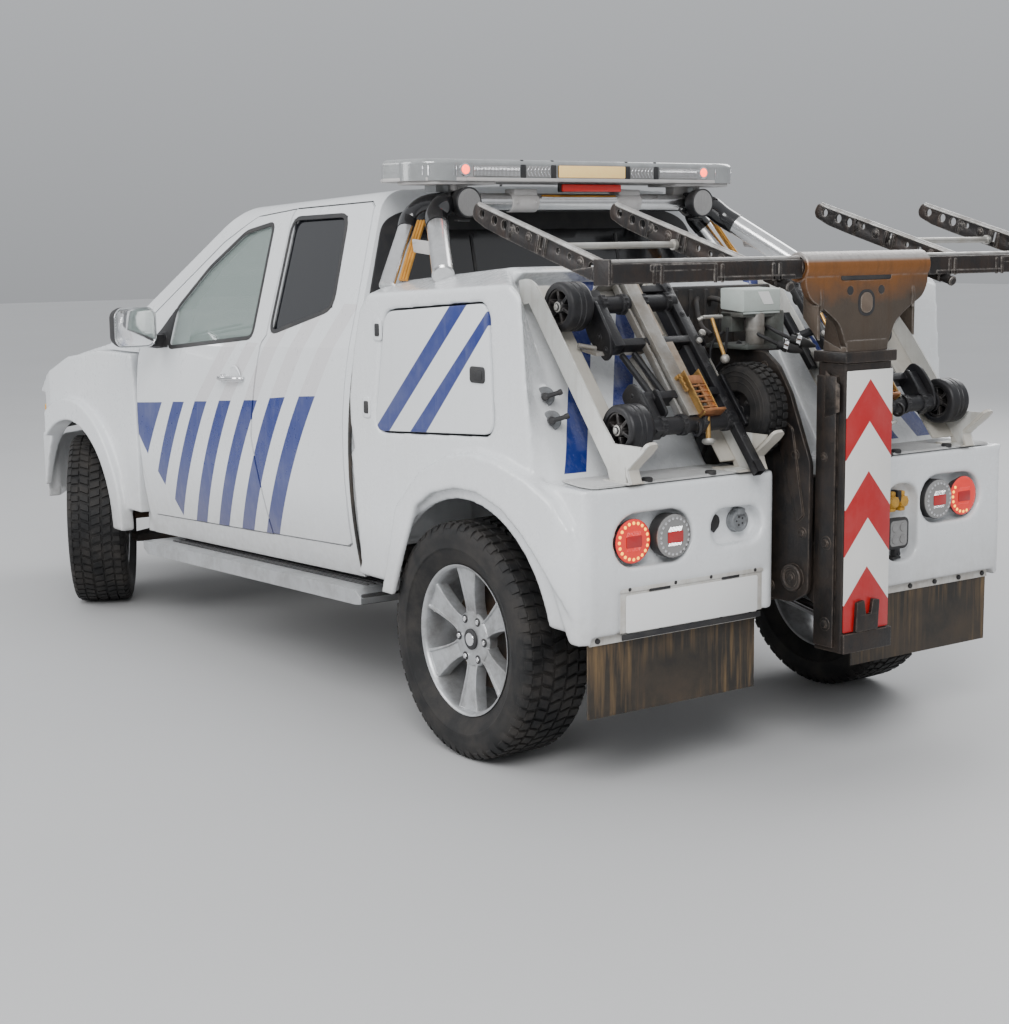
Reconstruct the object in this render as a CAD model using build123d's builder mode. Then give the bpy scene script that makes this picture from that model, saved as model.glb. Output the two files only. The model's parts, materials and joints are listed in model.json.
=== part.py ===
from build123d import *
import os
from math import sin, cos, tan, radians, degrees, atan2, hypot

# Light tow truck: four-wheel-drive pickup chassis with an extended cab, a
# moulded recovery body, two wheel dollies on sloping rails and a folding
# wheel-lift boom.  Millimetres.  +X forward, +Y to the vehicle's left, +Z up.
# The origin is on the ground, under the middle of the whole box.

os.makedirs("parts", exist_ok=True)

# ---------------------------------------------------------------- dimensions
WHEELBASE = 3095.0
RA = -1545.5               # x of the rear axle in the part frame
FAX = WHEELBASE            # front axle, from the rear axle
TYRE_R = 381.5             # 255 mm wide tyre on an 18 inch rim
TYRE_W = 255.0
RIM_FLANGE_R = 243.5
RIM_BARREL_R = 234.0
TRACK_Y = 785.0            # tyre centre plane
KINGPIN_Y = 713.0
STEER_REST = -27.7         # front wheels as parked, turned to the right
RAKE = 2.2                 # the cab's fall towards the nose, degrees
WALL = 45.0                # roof, back wall and pillar depth
SHUT = 4.0                 # half of a door gap
SKIN = 16.0                # door skin that closes over the jamb
DECK_Z = 930.0
BODY_Y = 900.0             # half width of the recovery body
FLARE_Y = 940.0
BAY_Y = 745.0              # outside of the dolly rails
FIN_Y = 830.0              # where the back wall turns into the side
CHAN_Y = 250.0             # half width of the centre channel
RAIL_TOP = (-122.0, 1505.0)
RAIL_FOOT = (-590.0, 925.0)
BOOM_PIVOT = (-700.0, 600.0)
BOOM_W = 200.0             # outer boom tube
BOOM_REAR, BOOM_FRONT = -876.0, -757.0
BOOM_FOOT, BOOM_TOP = 385.0, 1265.0
BOOM_WALL = 6.0
HEAD_AXIS = (-830.0, 1548.0)
CYL_FOOT = (100.0, 620.0)      # hinge of the tilt cylinder on the frame
CYL_EYE = (-800.0, 450.0)      # its rod eye in the boom's foot


# ------------------------------------------------------------ drawing planes
def side(y):
    """Side view at y: local x forward, local y up; extrudes towards -Y."""
    return Plane(origin=(RA, y, 0), x_dir=(1, 0, 0), z_dir=(0, -1, 0))


def cross(x):
    """Cross section at x: local x to the left, local y up; extrudes forward."""
    return Plane(origin=(RA + x, 0, 0), x_dir=(0, 1, 0), z_dir=(1, 0, 0))


def plan(z):
    """Plan view at z: local x forward, local y left; extrudes up."""
    return Plane(origin=(RA, 0, z), x_dir=(1, 0, 0), z_dir=(0, 0, 1))


def raked(x):
    """Cross section of the cab at x, leaning with the cab's fall."""
    r = radians(RAKE)
    return Plane(origin=(RA + x, 0, -(x - 1000.0) * tan(r)), x_dir=(0, 1, 0),
                 z_dir=(cos(r), 0, -sin(r)))


def trace(rows, half=False):
    """Closed outline.  Row (x, y) is a line to that point, row (mx, my, x, y)
    an arc through (mx, my).  half=True mirrors it about local x = 0."""
    with BuildLine() as outline:
        here = rows[0]
        for row in rows[1:]:
            if len(row) == 2:
                Line(here, row)
                here = row
            else:
                ThreePointArc(here, row[:2], row[2:])
                here = row[2:]
        if half:
            mirror(about=Plane.YZ)
        elif here != rows[0]:
            Line(here, rows[0])
    make_face(outline.edges())


def steer(part, s):
    """Turn a front wheel piece to the parked steering angle (s = side)."""
    pin = Axis((RA + FAX, s * KINGPIN_Y, 0), (0, 0, 1))
    return part.rotate(pin, STEER_REST)


def other_side(part):
    return part.mirror(Plane.XZ)


def save(node, name):
    node.label = name
    export_step(node, f"parts/{name}.step")


# ------------------------------------------------------------- cab sections
# half section of the cab's outside, t = depth below the surface
def skin_rows(t, zb=440.0):
    return [(0, zb), (850 - t, zb),
            (905 - t, 880, 868 - t, 1262),
            (690 - 1.02 * t, 1722 - 0.3 * t),
            (652 - 0.8 * t, 1774 - 0.8 * t, 560 - 0.3 * t, 1800 - t),
            (300, 1812 - t, 0, 1816 - t)]


# half section of the inside: thick doors below the belt, thin frames above
INSIDE = [(0, 440), (762, 440), (815, 880, 785, 1240), (650, 1702),
          (612, 1738, 545, 1756), (300, 1768, 0, 1772)]

CAB_BACK = 655.0
WS_FOOT, WS_HEAD = (2800.0, 1165.0), (1840.0, 1765.0)   # windscreen line

# door outlines, side view (x, z)
FRONT_DOOR = [(2310, 507), (2375, 700), (2405, 950), (2430, 1150),
              (2400, 1322), (1920, 1630), (1700, 1728), (1420, 1752),
              (1332, 1292), (1352, 1268), (1363, 1134), (1378, 912),
              (1326, 745), (1276, 558)]
REAR_DOOR = [(1266, 560), (1316, 745), (1368, 912), (1353, 1134),
             (1342, 1268), (1322, 1292), (1410, 1753), (862, 1768),
             (822, 1750),
             (735, 1410), (702, 1265), (700, 1030), (690, 750),
             (695, 600), (720, 588)]
FRONT_GLASS = [(2140, 1216), (2170, 1362), (1980, 1530), (1750, 1668),
               (1540, 1700), (1440, 1284)]
REAR_GLASS = [(1302, 1302), (1388, 1716), (985, 1724), (897, 1404)]

# jambs: the door outlines drawn in by about 22 mm
FRONT_JAMB = [(2285, 532), (2350, 700), (2380, 950), (2400, 1150),
              (2374, 1312), (1905, 1606), (1695, 1704), (1444, 1728),
              (1360, 1288), (1376, 1266), (1388, 1136), (1402, 910),
              (1350, 742), (1304, 582)]
REAR_JAMB = [(1240, 582), (1290, 748), (1343, 912), (1328, 1130),
             (1250, 1284), (1338, 1729), (872, 1744), (842, 1735),
             (758, 1408), (726, 1265), (724, 1030), (714, 750),
             (718, 612)]


def grow(rows, d):
    """Move every point of a closed outline away from its centre by d."""
    cx = sum(r[0] for r in rows) / len(rows)
    cz = sum(r[1] for r in rows) / len(rows)
    return [(x + (d if x > cx else -d), z + (d if z > cz else -d))
            for x, z in rows]


# the two depths that a door is cut from, left side only
with BuildPart() as skin_layer:
    with BuildSketch(raked(560)):
        trace(skin_rows(0), half=True)
    extrude(amount=2300)
    with BuildSketch(raked(560)):
        trace(skin_rows(SKIN, 430), half=True)
    extrude(amount=2300, mode=Mode.SUBTRACT)

with BuildPart() as inner_layer:
    with BuildSketch(raked(560)):
        trace(skin_rows(SKIN), half=True)
    extrude(amount=2300)
    with BuildSketch(raked(560)):
        trace([(0, 430)] + [(762, 430)] + INSIDE[2:], half=True)
    extrude(amount=2300, mode=Mode.SUBTRACT)

with BuildPart() as glass_layer:
    with BuildSketch(raked(560)):
        trace(skin_rows(9), half=True)
    extrude(amount=2300)
    with BuildSketch(raked(560)):
        trace(skin_rows(14, 430), half=True)
    extrude(amount=2300, mode=Mode.SUBTRACT)


def prism(rows, y0=500.0, y1=1000.0):
    """Solid of a side-view outline between y0 and y1, for cutting."""
    with BuildPart() as block:
        with BuildSketch(side(y1)):
            trace(rows)
        extrude(amount=y1 - y0)
    return block.part


def door(outline, jamb, glass):
    leaf_edge, box_edge, window = prism(outline), prism(jamb), prism(glass)
    with BuildPart() as leaf:
        add(skin_layer.part)
        add(leaf_edge, mode=Mode.INTERSECT)
    with BuildPart() as box:
        add(inner_layer.part)
        add(box_edge, mode=Mode.INTERSECT)
    with BuildPart() as whole:
        add(leaf.part)
        add(box.part)
        add(window, mode=Mode.SUBTRACT)
    return whole


def pane(glass):
    window = prism(glass)
    with BuildPart() as sheet:
        add(glass_layer.part)
        add(window, mode=Mode.INTERSECT)
    return sheet


front_door = door(FRONT_DOOR, FRONT_JAMB, FRONT_GLASS)
# mirror head on its arm, carried by the front door
with BuildPart() as mirror_head:
    with BuildSketch(cross(2140)):
        with Locations((1010, 1298)):
            RectangleRounded(180, 165, 40)
    extrude(amount=95)
    fillet(mirror_head.faces().sort_by(Axis.X)[-1].edges(), 30)
    with BuildSketch(cross(2185)):
        trace([(840, 1215), (930, 1235), (930, 1262), (840, 1262)])
    extrude(amount=60)
with BuildPart() as front_door_left:
    add(front_door.part)
    add(mirror_head.part)
rear_door_left = door(REAR_DOOR, REAR_JAMB, REAR_GLASS)
save(front_door_left.part, "front_door_left")
save(other_side(front_door_left.part), "front_door_right")
save(rear_door_left.part, "rear_door_left")
save(other_side(rear_door_left.part), "rear_door_right")
for name, glass in (("front_door_glass", FRONT_GLASS),
                    ("rear_door_glass", REAR_GLASS)):
    sheet = pane(glass).part
    save(sheet, name + "_left")
    save(other_side(sheet), name + "_right")

# ----------------------------------------------------------------- cab shell
with BuildPart() as rebate_area:
    for outline in (FRONT_DOOR, REAR_DOOR):
        with BuildSketch(side(1000)):
            trace(grow(outline, SHUT + 1))
        extrude(amount=500)
    with BuildSketch(side(1000)):
        trace([(x + 12, z) for x, z in FRONT_DOOR[7:]]
              + [(x - 12, z) for x, z in REAR_DOOR[:7]])
    extrude(amount=500)
with BuildPart() as door_rebates:
    add(rebate_area.part)
    with BuildSketch(raked(500)):
        trace(skin_rows(SKIN + 1, 430), half=True)
    extrude(amount=2500, mode=Mode.SUBTRACT)
with BuildPart() as door_openings:
    for outline in (FRONT_JAMB, REAR_JAMB):
        with BuildSketch(side(1000)):
            trace(grow(outline, 7))
        extrude(amount=500)
    # the two doors close on each other, with no pillar between them
    with BuildSketch(side(1000)):
        trace([(FRONT_JAMB[7][0] + 10, FRONT_JAMB[7][1] + 7)]
              + [(x + 10, z) for x, z in FRONT_JAMB[8:13]]
              + [(FRONT_JAMB[13][0] + 10, FRONT_JAMB[13][1] - 7)]
              + [(REAR_JAMB[0][0] - 10, REAR_JAMB[0][1] - 7)]
              + [(x - 10, z) for x, z in REAR_JAMB[1:5]]
              + [(REAR_JAMB[5][0] - 10, REAR_JAMB[5][1] + 7)])
    extrude(amount=500)
    # room for the inner hinge edges to swing
    with BuildSketch(side(1000)):
        trace([(2300, 560), (2362, 700), (2400, 950), (2420, 1150),
               (2398, 1302), (2300, 1370)])
    extrude(amount=500)
    with BuildSketch(side(1000)):
        trace([(760, 620), (704, 640), (702, 750), (708, 1030),
               (712, 1265), (745, 1410), (780, 1500)])
    extrude(amount=500)

DOOR_CUTS = [door_openings.part, other_side(door_openings.part),
             door_rebates.part, other_side(door_rebates.part)]

with BuildPart() as cab_shell:
    with BuildSketch(raked(560)):
        trace(skin_rows(0, 470), half=True)
    extrude(amount=2400)
    # inside, from the back wall to the bulkhead, above the floor
    with BuildSketch(raked(CAB_BACK + WALL + 20)):
        trace([(0, 590), (770, 590)] + INSIDE[2:], half=True)
    extrude(amount=2385 - CAB_BACK - WALL - 20, mode=Mode.SUBTRACT)
    # underside between the sills
    with BuildSketch(raked(540)):
        with Locations((0, 462)):
            Rectangle(1400, 206)
    extrude(amount=2450, mode=Mode.SUBTRACT)
    # leaning back wall, windscreen line, bulkhead
    with BuildSketch(side(1200)):
        trace([(300, 300), (CAB_BACK, 300), (CAB_BACK, 1250),
               (CAB_BACK + 135, 1830), (300, 1900)])
    extrude(amount=2400, mode=Mode.SUBTRACT)
    with BuildSketch(side(1200)):
        trace([WS_FOOT, WS_HEAD, (1700, 1800), (1650, 1950), (3200, 1950),
               (3200, 300), (2460, 300), (2460, 1060), (2800, 1060)])
    extrude(amount=2400, mode=Mode.SUBTRACT)
    # the pillar feet and the cowl stop short of the wings
    for s in (-1, 1):
        with BuildSketch(plan(400)):
            with Locations((2745, s * 925)):
                Rectangle(720, 160)
        extrude(amount=778, mode=Mode.SUBTRACT)
        with BuildSketch(plan(998)):
            with Locations((2755, s * 850)):
                Rectangle(700, 310)
        extrude(amount=180, mode=Mode.SUBTRACT)
    # door openings
    for cut in DOOR_CUTS:
        add(cut, mode=Mode.SUBTRACT)
    # windscreen opening, square to the glass
    ws = atan2(WS_HEAD[1] - WS_FOOT[1], WS_FOOT[0] - WS_HEAD[0])
    ws_len = hypot(WS_HEAD[1] - WS_FOOT[1], WS_FOOT[0] - WS_HEAD[0])
    ws_plane = Plane(origin=(RA + WS_FOOT[0], 0, WS_FOOT[1]),
                     x_dir=(0, 1, 0), z_dir=(sin(ws), 0, cos(ws)))
    with BuildSketch(ws_plane.offset(-260)):
        with BuildLine():
            Polyline((-735, 70), (735, 70), (600, ws_len - 80),
                     (-600, ws_len - 80), close=True)
        make_face()
    extrude(amount=300, mode=Mode.SUBTRACT)
    # rear window opening
    with BuildSketch(cross(600)):
        with Locations((0, 1525)):
            RectangleRounded(1080, 300, 60)
    extrude(amount=220, mode=Mode.SUBTRACT)
save(cab_shell.part.solids().sort_by(SortBy.VOLUME)[-1], "cab_shell")

with BuildPart() as cab_glass:
    with BuildSketch(ws_plane.offset(-12)):
        with BuildLine():
            Polyline((-735, 70), (735, 70), (600, ws_len - 80),
                     (-600, ws_len - 80), close=True)
        make_face()
    extrude(amount=6)
    with BuildSketch(Plane(origin=(RA + CAB_BACK + 84, 0, 1525),
                           x_dir=(0, 1, 0),
                           z_dir=(0.974, 0, -0.2263))):
        RectangleRounded(1080, 300, 60)
    extrude(amount=5)
save(cab_glass.part, "cab_glass")

# --------------------------------------------------------------- front panels
LAMP = [(3835, 440), (3770, 640), (3680, 790), (3560, 850), (3480, 865),
        (3480, 800), (3580, 770), (3690, 620), (3760, 440)]
with BuildPart() as headlamp:
    with BuildSketch(plan(760)):
        trace(LAMP)
    extrude(amount=175)
    with BuildSketch(side(1000)):
        trace([(3400, 700), (3600, 760), (3900, 755), (3900, 700)])
    extrude(amount=700, mode=Mode.SUBTRACT)
with BuildPart() as lamp_room:
    with BuildSketch(plan(750)):
        trace([(3900, 400), (3800, 660), (3700, 820), (3700, 1000),
               (3474, 1000), (3474, 740), (3640, 600), (3740, 400)])
    extrude(amount=191)
save(headlamp.part + other_side(headlamp.part), "headlamps")

ARCH_F = 462.0
WING_SIDE = [(2412, 500), (2412, 700), (2420, 950), (2445, 1150), (2460, 1172),
             (2800, 1172), (3160, 1126), (3420, 1040), (3560, 950),
             (3592, 800), (3592, 500)]
with BuildPart() as wing:
    with BuildSketch(side(905)):
        trace(WING_SIDE)
    extrude(amount=205)
    # hollow behind the outer panel, under a top shelf
    with BuildSketch(side(850)):
        trace([(2380, 400), (2380, 1000), (2800, 1100), (3160, 1060),
               (3420, 975), (3500, 900), (3560, 760), (3800, 700),
               (3800, 400)])
    extrude(amount=300, mode=Mode.SUBTRACT)
    with BuildSketch(side(1000)):
        with Locations((FAX, TYRE_R)):
            Circle(ARCH_F)
    extrude(amount=400, mode=Mode.SUBTRACT)
    # flare: outer bead round the arch
    with BuildSketch(side(FLARE_Y)):
        with Locations((FAX, TYRE_R)):
            Circle(ARCH_F + 100)
            Circle(ARCH_F, mode=Mode.SUBTRACT)
        with Locations((FAX, TYRE_R - 300)):
            Rectangle(1400, 650, mode=Mode.SUBTRACT)
    extrude(amount=60)
    with BuildSketch(plan(1300)):
        with BuildLine():
            Polyline((3380, 1000), (3380, 905), (3560, 880), (3700, 800),
                     (3800, 640), (3900, 1000), close=True)
        make_face()
    extrude(amount=-1000, mode=Mode.SUBTRACT)
    add(lamp_room.part, mode=Mode.SUBTRACT)
save(wing.part + other_side(wing.part), "front_wings")

with BuildPart() as bonnet:
    with BuildSketch(side(690)):
        trace([(2815, 1150), (2815, 1196), (3200, 1172), (3560, 1110),
               (3760, 1030), (3830, 960), (3800, 930), (3720, 1000),
               (3540, 1075), (3200, 1137)])
    extrude(amount=1380)
    # corners of the nose in plan
    with BuildSketch(plan(1300)):
        trace([(3500, 700), (3700, 640), (3800, 420), (3835, 0),
               (3800, -420), (3700, -640), (3500, -700), (4000, -700),
               (4000, 700)])
    extrude(amount=-500, mode=Mode.SUBTRACT)
save(bonnet.part, "bonnet")

NOSE = [(3560, 0), (3560, 860), (3640, 850), (3800, 740), (3900, 560),
        (3960, 300), (3985, 0)]
with BuildPart() as front_bumper:
    with BuildSketch(plan(430)):
        with BuildLine():
            Polyline((3600, -855), (3730, -800), (3850, -660), (3930, -420),
                     (3985, 0), (3930, 420), (3850, 660), (3730, 800),
                     (3600, 855), (3600, 790), (3700, 720), (3790, 600),
                     (3860, 380), (3900, 0), (3860, -380), (3790, -600),
                     (3700, -720), (3600, -790), close=True)
        make_face()
    extrude(amount=290)
    with BuildSketch(cross(3700)):
        with Locations((0, 530)):
            RectangleRounded(760, 90, 30)
    extrude(amount=400, mode=Mode.SUBTRACT)
save(front_bumper.part, "front_bumper")

with BuildPart() as grille:
    with BuildSketch(plan(735)):
        with BuildLine():
            Polyline((3840, -430), (3895, -200), (3905, 0), (3895, 200),
                     (3840, 430), (3795, 430), (3850, 200), (3862, 0),
                     (3850, -200), (3795, -430), close=True)
        make_face()
    extrude(amount=190)
save(grille.part, "grille")


# --------------------------------------------------------------- chassis frame
RAIL_SIDE = [(-560, 590), (-300, 610), (280, 610), (640, 440), (2350, 395),
             (2650, 450), (3640, 490), (3640, 600), (2700, 570), (2475, 492), (2350, 480),
             (700, 545), (300, 712), (-300, 712), (-560, 690)]
# cross tubes: x, z, radius
CROSS_TUBES = [(420, 625, 30), (1150, 500, 29), (1740, 486, 29),
               (2502, 486, 34), (3560, 545, 34)]
with BuildPart() as chassis_frame:
    for s in (-1, 1):
        with BuildSketch(side(385 + 35 if s > 0 else -350)):
            trace(RAIL_SIDE)
        extrude(amount=70)
    for x, z, r in CROSS_TUBES:
        with BuildSketch(side(349.5)):
            with Locations((x, z)):
                Circle(r)
        extrude(amount=699)
    # cab and body brackets: x, z, length, |y| to
    for x, z, w, y1 in ((850, 490, 90, 695), (1550, 470, 90, 695),
                        (2250, 450, 90, 695), (625, 520, 60, 585),
                        (-560, 560, 50, 585)):
        for s in (-1, 1):
            with BuildSketch(plan(z)):
                with Locations((x, s * (420.5 + y1) / 2)):
                    Rectangle(w, y1 - 420.5)
            extrude(amount=52 if z < 515 else 60)
save(chassis_frame.part, "chassis_frame")

# ---------------------------------------------------- engine, drive, underbody
with BuildPart() as engine_block:
    with BuildSketch(plan(530)):
        with Locations((2930, 0)):
            Rectangle(760, 560)
    extrude(amount=460)
    with BuildSketch(cross(2465)):
        with Locations((0, 640)):
            Rectangle(360, 200)
    extrude(amount=90)
save(engine_block.part, "engine_block")

with BuildPart() as rear_axle:
    with BuildSketch(side(738)):
        with Locations((0, TYRE_R)):
            Circle(40)
    extrude(amount=1476)
    with BuildSketch(side(95)):
        with Locations((0, TYRE_R)):
            Circle(135)
    extrude(amount=190)
    fillet(rear_axle.edges().filter_by(GeomType.CIRCLE)
           .filter_by(lambda e: abs(e.radius - 135) < 1), 40)
    with BuildSketch(cross(100)):
        with Locations((0, TYRE_R)):
            Circle(55)
    extrude(amount=130)
    for s in (-1, 1):
        with BuildSketch(side(580 if s > 0 else -510)):
            trace([(-572, 545), (-300, 486), (0, 452), (300, 474),
                   (592, 545), (592, 521), (300, 446), (0, 424),
                   (-300, 458), (-572, 521)])
        extrude(amount=70)
        with BuildSketch(plan(400)):
            with Locations((0, s * 545)):
                Rectangle(110, 90)
        extrude(amount=72)
save(rear_axle.part, "rear_axle")

with BuildPart() as propshaft:
    with BuildSketch(cross(232)):
        with Locations((0, TYRE_R)):
            Circle(50)
    extrude(amount=30)
    with BuildSketch(Plane(origin=(RA + 262, 0, TYRE_R), x_dir=(0, 1, 0),
                           z_dir=(1, 0, 0.02))):
        Circle(38)
    extrude(amount=1560)
    with BuildSketch(cross(1800)):
        with Locations((0, 432)):
            Rectangle(240, 130)
    extrude(amount=636)
save(propshaft.part, "propshaft")

with BuildPart() as front_suspension:
    # cross member, axle housing and four arms: z of the arm, height
    with BuildSketch(cross(3000)):
        with Locations((0, 420)):
            Rectangle(690, 70)
    extrude(amount=190)
    with BuildSketch(side(350)):
        with Locations((FAX, TYRE_R)):
            Circle(30)
    extrude(amount=700)
    for s in (-1, 1):
        for z, h, y0 in ((262, 34, 340), (492, 26, 420.5)):
            with BuildSketch(plan(z)):
                with BuildLine():
                    Polyline((FAX - 150, s * y0), (FAX - 150, s * 425),
                             (FAX - 32, s * 640), (FAX + 32, s * 640),
                             (FAX + 150, s * 425), (FAX + 150, s * y0),
                             close=True)
                make_face()
            extrude(amount=h)
        with BuildSketch(side(345 if s > 0 else -305)):
            with Locations((FAX, 390)):
                Rectangle(120, 290)
        extrude(amount=40)
        with BuildSketch(side(640 if s > 0 else -340)):
            with Locations((FAX, TYRE_R)):
                Circle(17)
        extrude(amount=300)
save(front_suspension.part, "front_suspension")

with BuildPart() as fuel_tank:
    with BuildSketch(plan(400)):
        with Locations((1250, 560)):
            RectangleRounded(900, 250, 50)
    extrude(amount=65)
save(fuel_tank.part, "fuel_tank")

with BuildPart() as exhaust:
    # silencer and pipe on the right, outside the frame rail
    with BuildSketch(cross(1000)):
        with Locations((-560, 420)):
            Ellipse(110, 48)
    extrude(amount=520)
    with BuildSketch(cross(1519)):
        with Locations((-560, 420)):
            Circle(26)
    extrude(amount=900)
    with BuildSketch(cross(700)):
        with Locations((-560, 420)):
            Circle(26)
    extrude(amount=301)
save(exhaust.part, "exhaust")

# ------------------------------------------------------------------- interior
with BuildPart() as dashboard:
    with BuildSketch(side(740)):
        trace([(2395, 700), (2395, 1120), (2330, 1150), (2080, 1120),
               (2030, 1040), (2110, 900), (2300, 700)])
    extrude(amount=1480)
    # steering column and wheel, left-hand drive
    col = Plane(origin=(RA + 2150, 370, 1050), x_dir=(0, 1, 0),
                z_dir=(-0.9, 0, 0.436))
    with BuildSketch(col):
        Circle(35)
    extrude(amount=160)
    with BuildSketch(col.offset(160)):
        Circle(190)
        Circle(162, mode=Mode.SUBTRACT)
        Circle(60)
        Rectangle(340, 34)
    extrude(amount=26)
save(dashboard.part, "dashboard")

# seats: x of the squab front, cushion depth, half widths (y0, y1), base z
with BuildPart() as seats:
    for y0, y1 in ((130, 640), (-640, -130)):
        with BuildSketch(side(y1)):
            trace([(1850, 850), (1840, 935), (1480, 915), (1290, 1440),
                   (1180, 1440), (1330, 850)])
        extrude(amount=y1 - y0)
        with BuildSketch(side((y0 + y1) / 2 + 110)):
            trace([(1265, 1455), (1225, 1620), (1140, 1620), (1165, 1455)])
        extrude(amount=220)
        with BuildSketch(plan(592)):
            with Locations((1600, (y0 + y1) / 2)):
                Rectangle(420, 380)
        extrude(amount=262)
        with BuildSketch(side((y0 + y1) / 2 + 60)):
            trace([(1240, 1430), (1235, 1470), (1190, 1470), (1200, 1430)])
        extrude(amount=120)
    # folding bench on the back wall
    with BuildSketch(side(660)):
        trace([(1100, 800), (1100, 880), (885, 880), (865, 1330),
               (790, 1330), (778, 800)])
    extrude(amount=1320)
save(seats.part, "seats")

# ------------------------------------------------------- recovery body shell
TOP_F, TOP_R = (600.0, 1497.0), (-85.0, 1552.0)
# outer side outline and the outline where the fin meets the rails; the rows
# match one to one and are joined by flat ruled faces
OUT_SIDE = [(628, DECK_Z), (655, 1030), (655, 1110), (620, 1280), (575, 1410),
            (520, 1460), (-300, 1505), (-350, 1470), (-372, 1200),
            (-396, DECK_Z)]
FIN_SIDE = [(628, DECK_Z), (655, 1030), (655, 1110), (627, 1280), (591, 1410),
            (556, 1477), (-192, 1524), (-238, 1482), (-298, 1212),
            (-434, DECK_Z)]
IN_SIDE = [(628, DECK_Z), (655, 1030), (655, 1110), (635, 1280), (610, 1410),
           (600, 1497), (-60, 1548), (-122, 1490), (-257, 1215),
           (-440, DECK_Z)]
BAY_SIDE = [(628, DECK_Z), (655, 1030), (655, 1110), (635, 1280), (610, 1410),
            TOP_F, TOP_R, (-150, 1537), (-76, 1497), (-440, DECK_Z)]
LOCKER = [(419, 1412), (-181, 1455), (-204, 1048), (493, 1005)]
ARCH_R = [(340, 480), (287, 605), (194, 792), (102, 845), (-29, 875),
          (-154, 874), (-283, 837), (-379, 779), (-456, 716), (-567, 610),
          (-640, 530), (-655, 480)]
FLARE_R = [(410, 480), (371, 589), (314, 780), (166, 911), (9, 977),
           (-128, 996), (-260, 984), (-410, 945), (-531, 894), (-601, 816),
           (-640, 700), (-655, 480)]
with BuildPart() as body_half:
    # moulding above the deck, solid first
    with BuildSketch(side(CHAN_Y)):
        trace(BAY_SIDE)
    extrude(amount=-(BAY_Y - CHAN_Y))
    with BuildSketch(side(BAY_Y)):
        trace(IN_SIDE)
    with BuildSketch(side(FIN_Y)):
        trace(FIN_SIDE)
    with BuildSketch(side(BODY_Y)):
        trace(OUT_SIDE)
    loft(ruled=True)
    # locker space
    with BuildSketch(side(BODY_Y - 25)):
        trace([(560, 962), (560, 1380), (500, 1425), (-95, 1462), (-75, 1420),
               (-290, 1100), (-330, 962)])
    extrude(amount=BODY_Y - 25 - CHAN_Y - 25, mode=Mode.SUBTRACT)
    # lower side panel, with the arch
    with BuildSketch(side(BODY_Y)):
        trace([(628, 505), (600, 545), (655, DECK_Z + 1), (-650, DECK_Z + 1),
               (-650, 505)])
    extrude(amount=26)
    with BuildSketch(side(BODY_Y)):
        with Locations((-30, TYRE_R)):
            Circle(455)
    extrude(amount=80, mode=Mode.SUBTRACT)
    # wheelhouse top and the shelf to the channel
    with BuildSketch(side(BODY_Y)):
        trace([(655, 900), (655, DECK_Z + 1), (-398, DECK_Z + 1), (-398, 900)])
    extrude(amount=BODY_Y - CHAN_Y)
    # front closing wall and rear wheelhouse wall
    with BuildSketch(plan(600)):
        with Locations((602, 660)):
            Rectangle(26, 440)
    extrude(amount=305)
    # locker door opening
    with BuildSketch(side(BODY_Y + 40)) as opening:
        trace(LOCKER)
        fillet(opening.vertices(), 55)
    extrude(amount=90, mode=Mode.SUBTRACT)
    # flare over the tyre: outer skin, then its root on the side panel
    with BuildSketch(side(FLARE_Y)):
        trace(FLARE_R + ARCH_R[-2::-1])
    extrude(amount=22)
    with BuildSketch(side(FLARE_Y - 22)):
        trace(FLARE_R + [(-585, 480), (-500, 640), (-400, 780), (-220, 870),
                         (-30, 900), (160, 860), (310, 700), (365, 560),
                         (385, 480)])
    extrude(amount=FLARE_Y - 22 - BODY_Y + 20)
    # rounded rear corner of the skirt, in plan
    with BuildSketch(plan(400)):
        trace([(-800, 840), (-652, 840), (-650, 880), (-632, 912),
               (-590, 934), (-530, 941), (-530, 1100), (-800, 1100)])
    extrude(amount=520, mode=Mode.SUBTRACT)
    # two valve bosses on the back wall
    for x, y, z in ((-287, 778, 1169), (-330, 786, 1101)):
        with BuildSketch(cross(x + 48)):
            with Locations((y, z)):
                Circle(26)
        extrude(amount=-58)
save(body_half.part + other_side(body_half.part), "rear_body")

# front wall that ties the two halves together, and the channel floor
with BuildPart() as headboard:
    with BuildSketch(plan(DECK_Z)):
        with Locations((600, 0)):
            Rectangle(50, 2 * CHAN_Y - 2)
    extrude(amount=500)
    with BuildSketch(plan(760)):
        with Locations((205, 0)):
            Rectangle(810, 2 * CHAN_Y - 2)
    extrude(amount=20)
    with BuildSketch(plan(712)):
        for s in (-1, 1):
            with Locations((205, s * 215)):
                Rectangle(780, 60)
    extrude(amount=49)
    with BuildSketch(plan(779)):
        for s in (-1, 1):
            with Locations((205, s * 240)):
                Rectangle(810, 16)
    extrude(amount=152)
save(headboard.part, "channel_floor")

# ---------------------------------------------------------------- rear bumpers
with BuildPart() as bumper_half:
    # plan outline with a round outer corner, hollow towards the front
    with BuildSketch(plan(500)):
        trace([(-400, 150), (-600, 150), (-635, 160, -650, 190), (-650, 872),
               (-400, 872)])
    extrude(amount=428)
    with BuildSketch(plan(470)):
        trace([(-380, 178), (-622, 178), (-622, 846), (-380, 846)])
    extrude(amount=430, mode=Mode.SUBTRACT)
    # arch side cut away for the tyre
    with BuildSketch(side(950)):
        with Locations((-30, TYRE_R)):
            Circle(470)
    extrude(amount=300, mode=Mode.SUBTRACT)
    # lamp pocket, a cup behind the skin
    with BuildSketch(cross(-640)):
        with Locations((646, 770)):
            SlotOverall(312, 174)
    extrude(amount=52)
    with BuildSketch(cross(-700)):
        with Locations((646, 770)):
            SlotOverall(296, 158)
    extrude(amount=100, mode=Mode.SUBTRACT)
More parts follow.
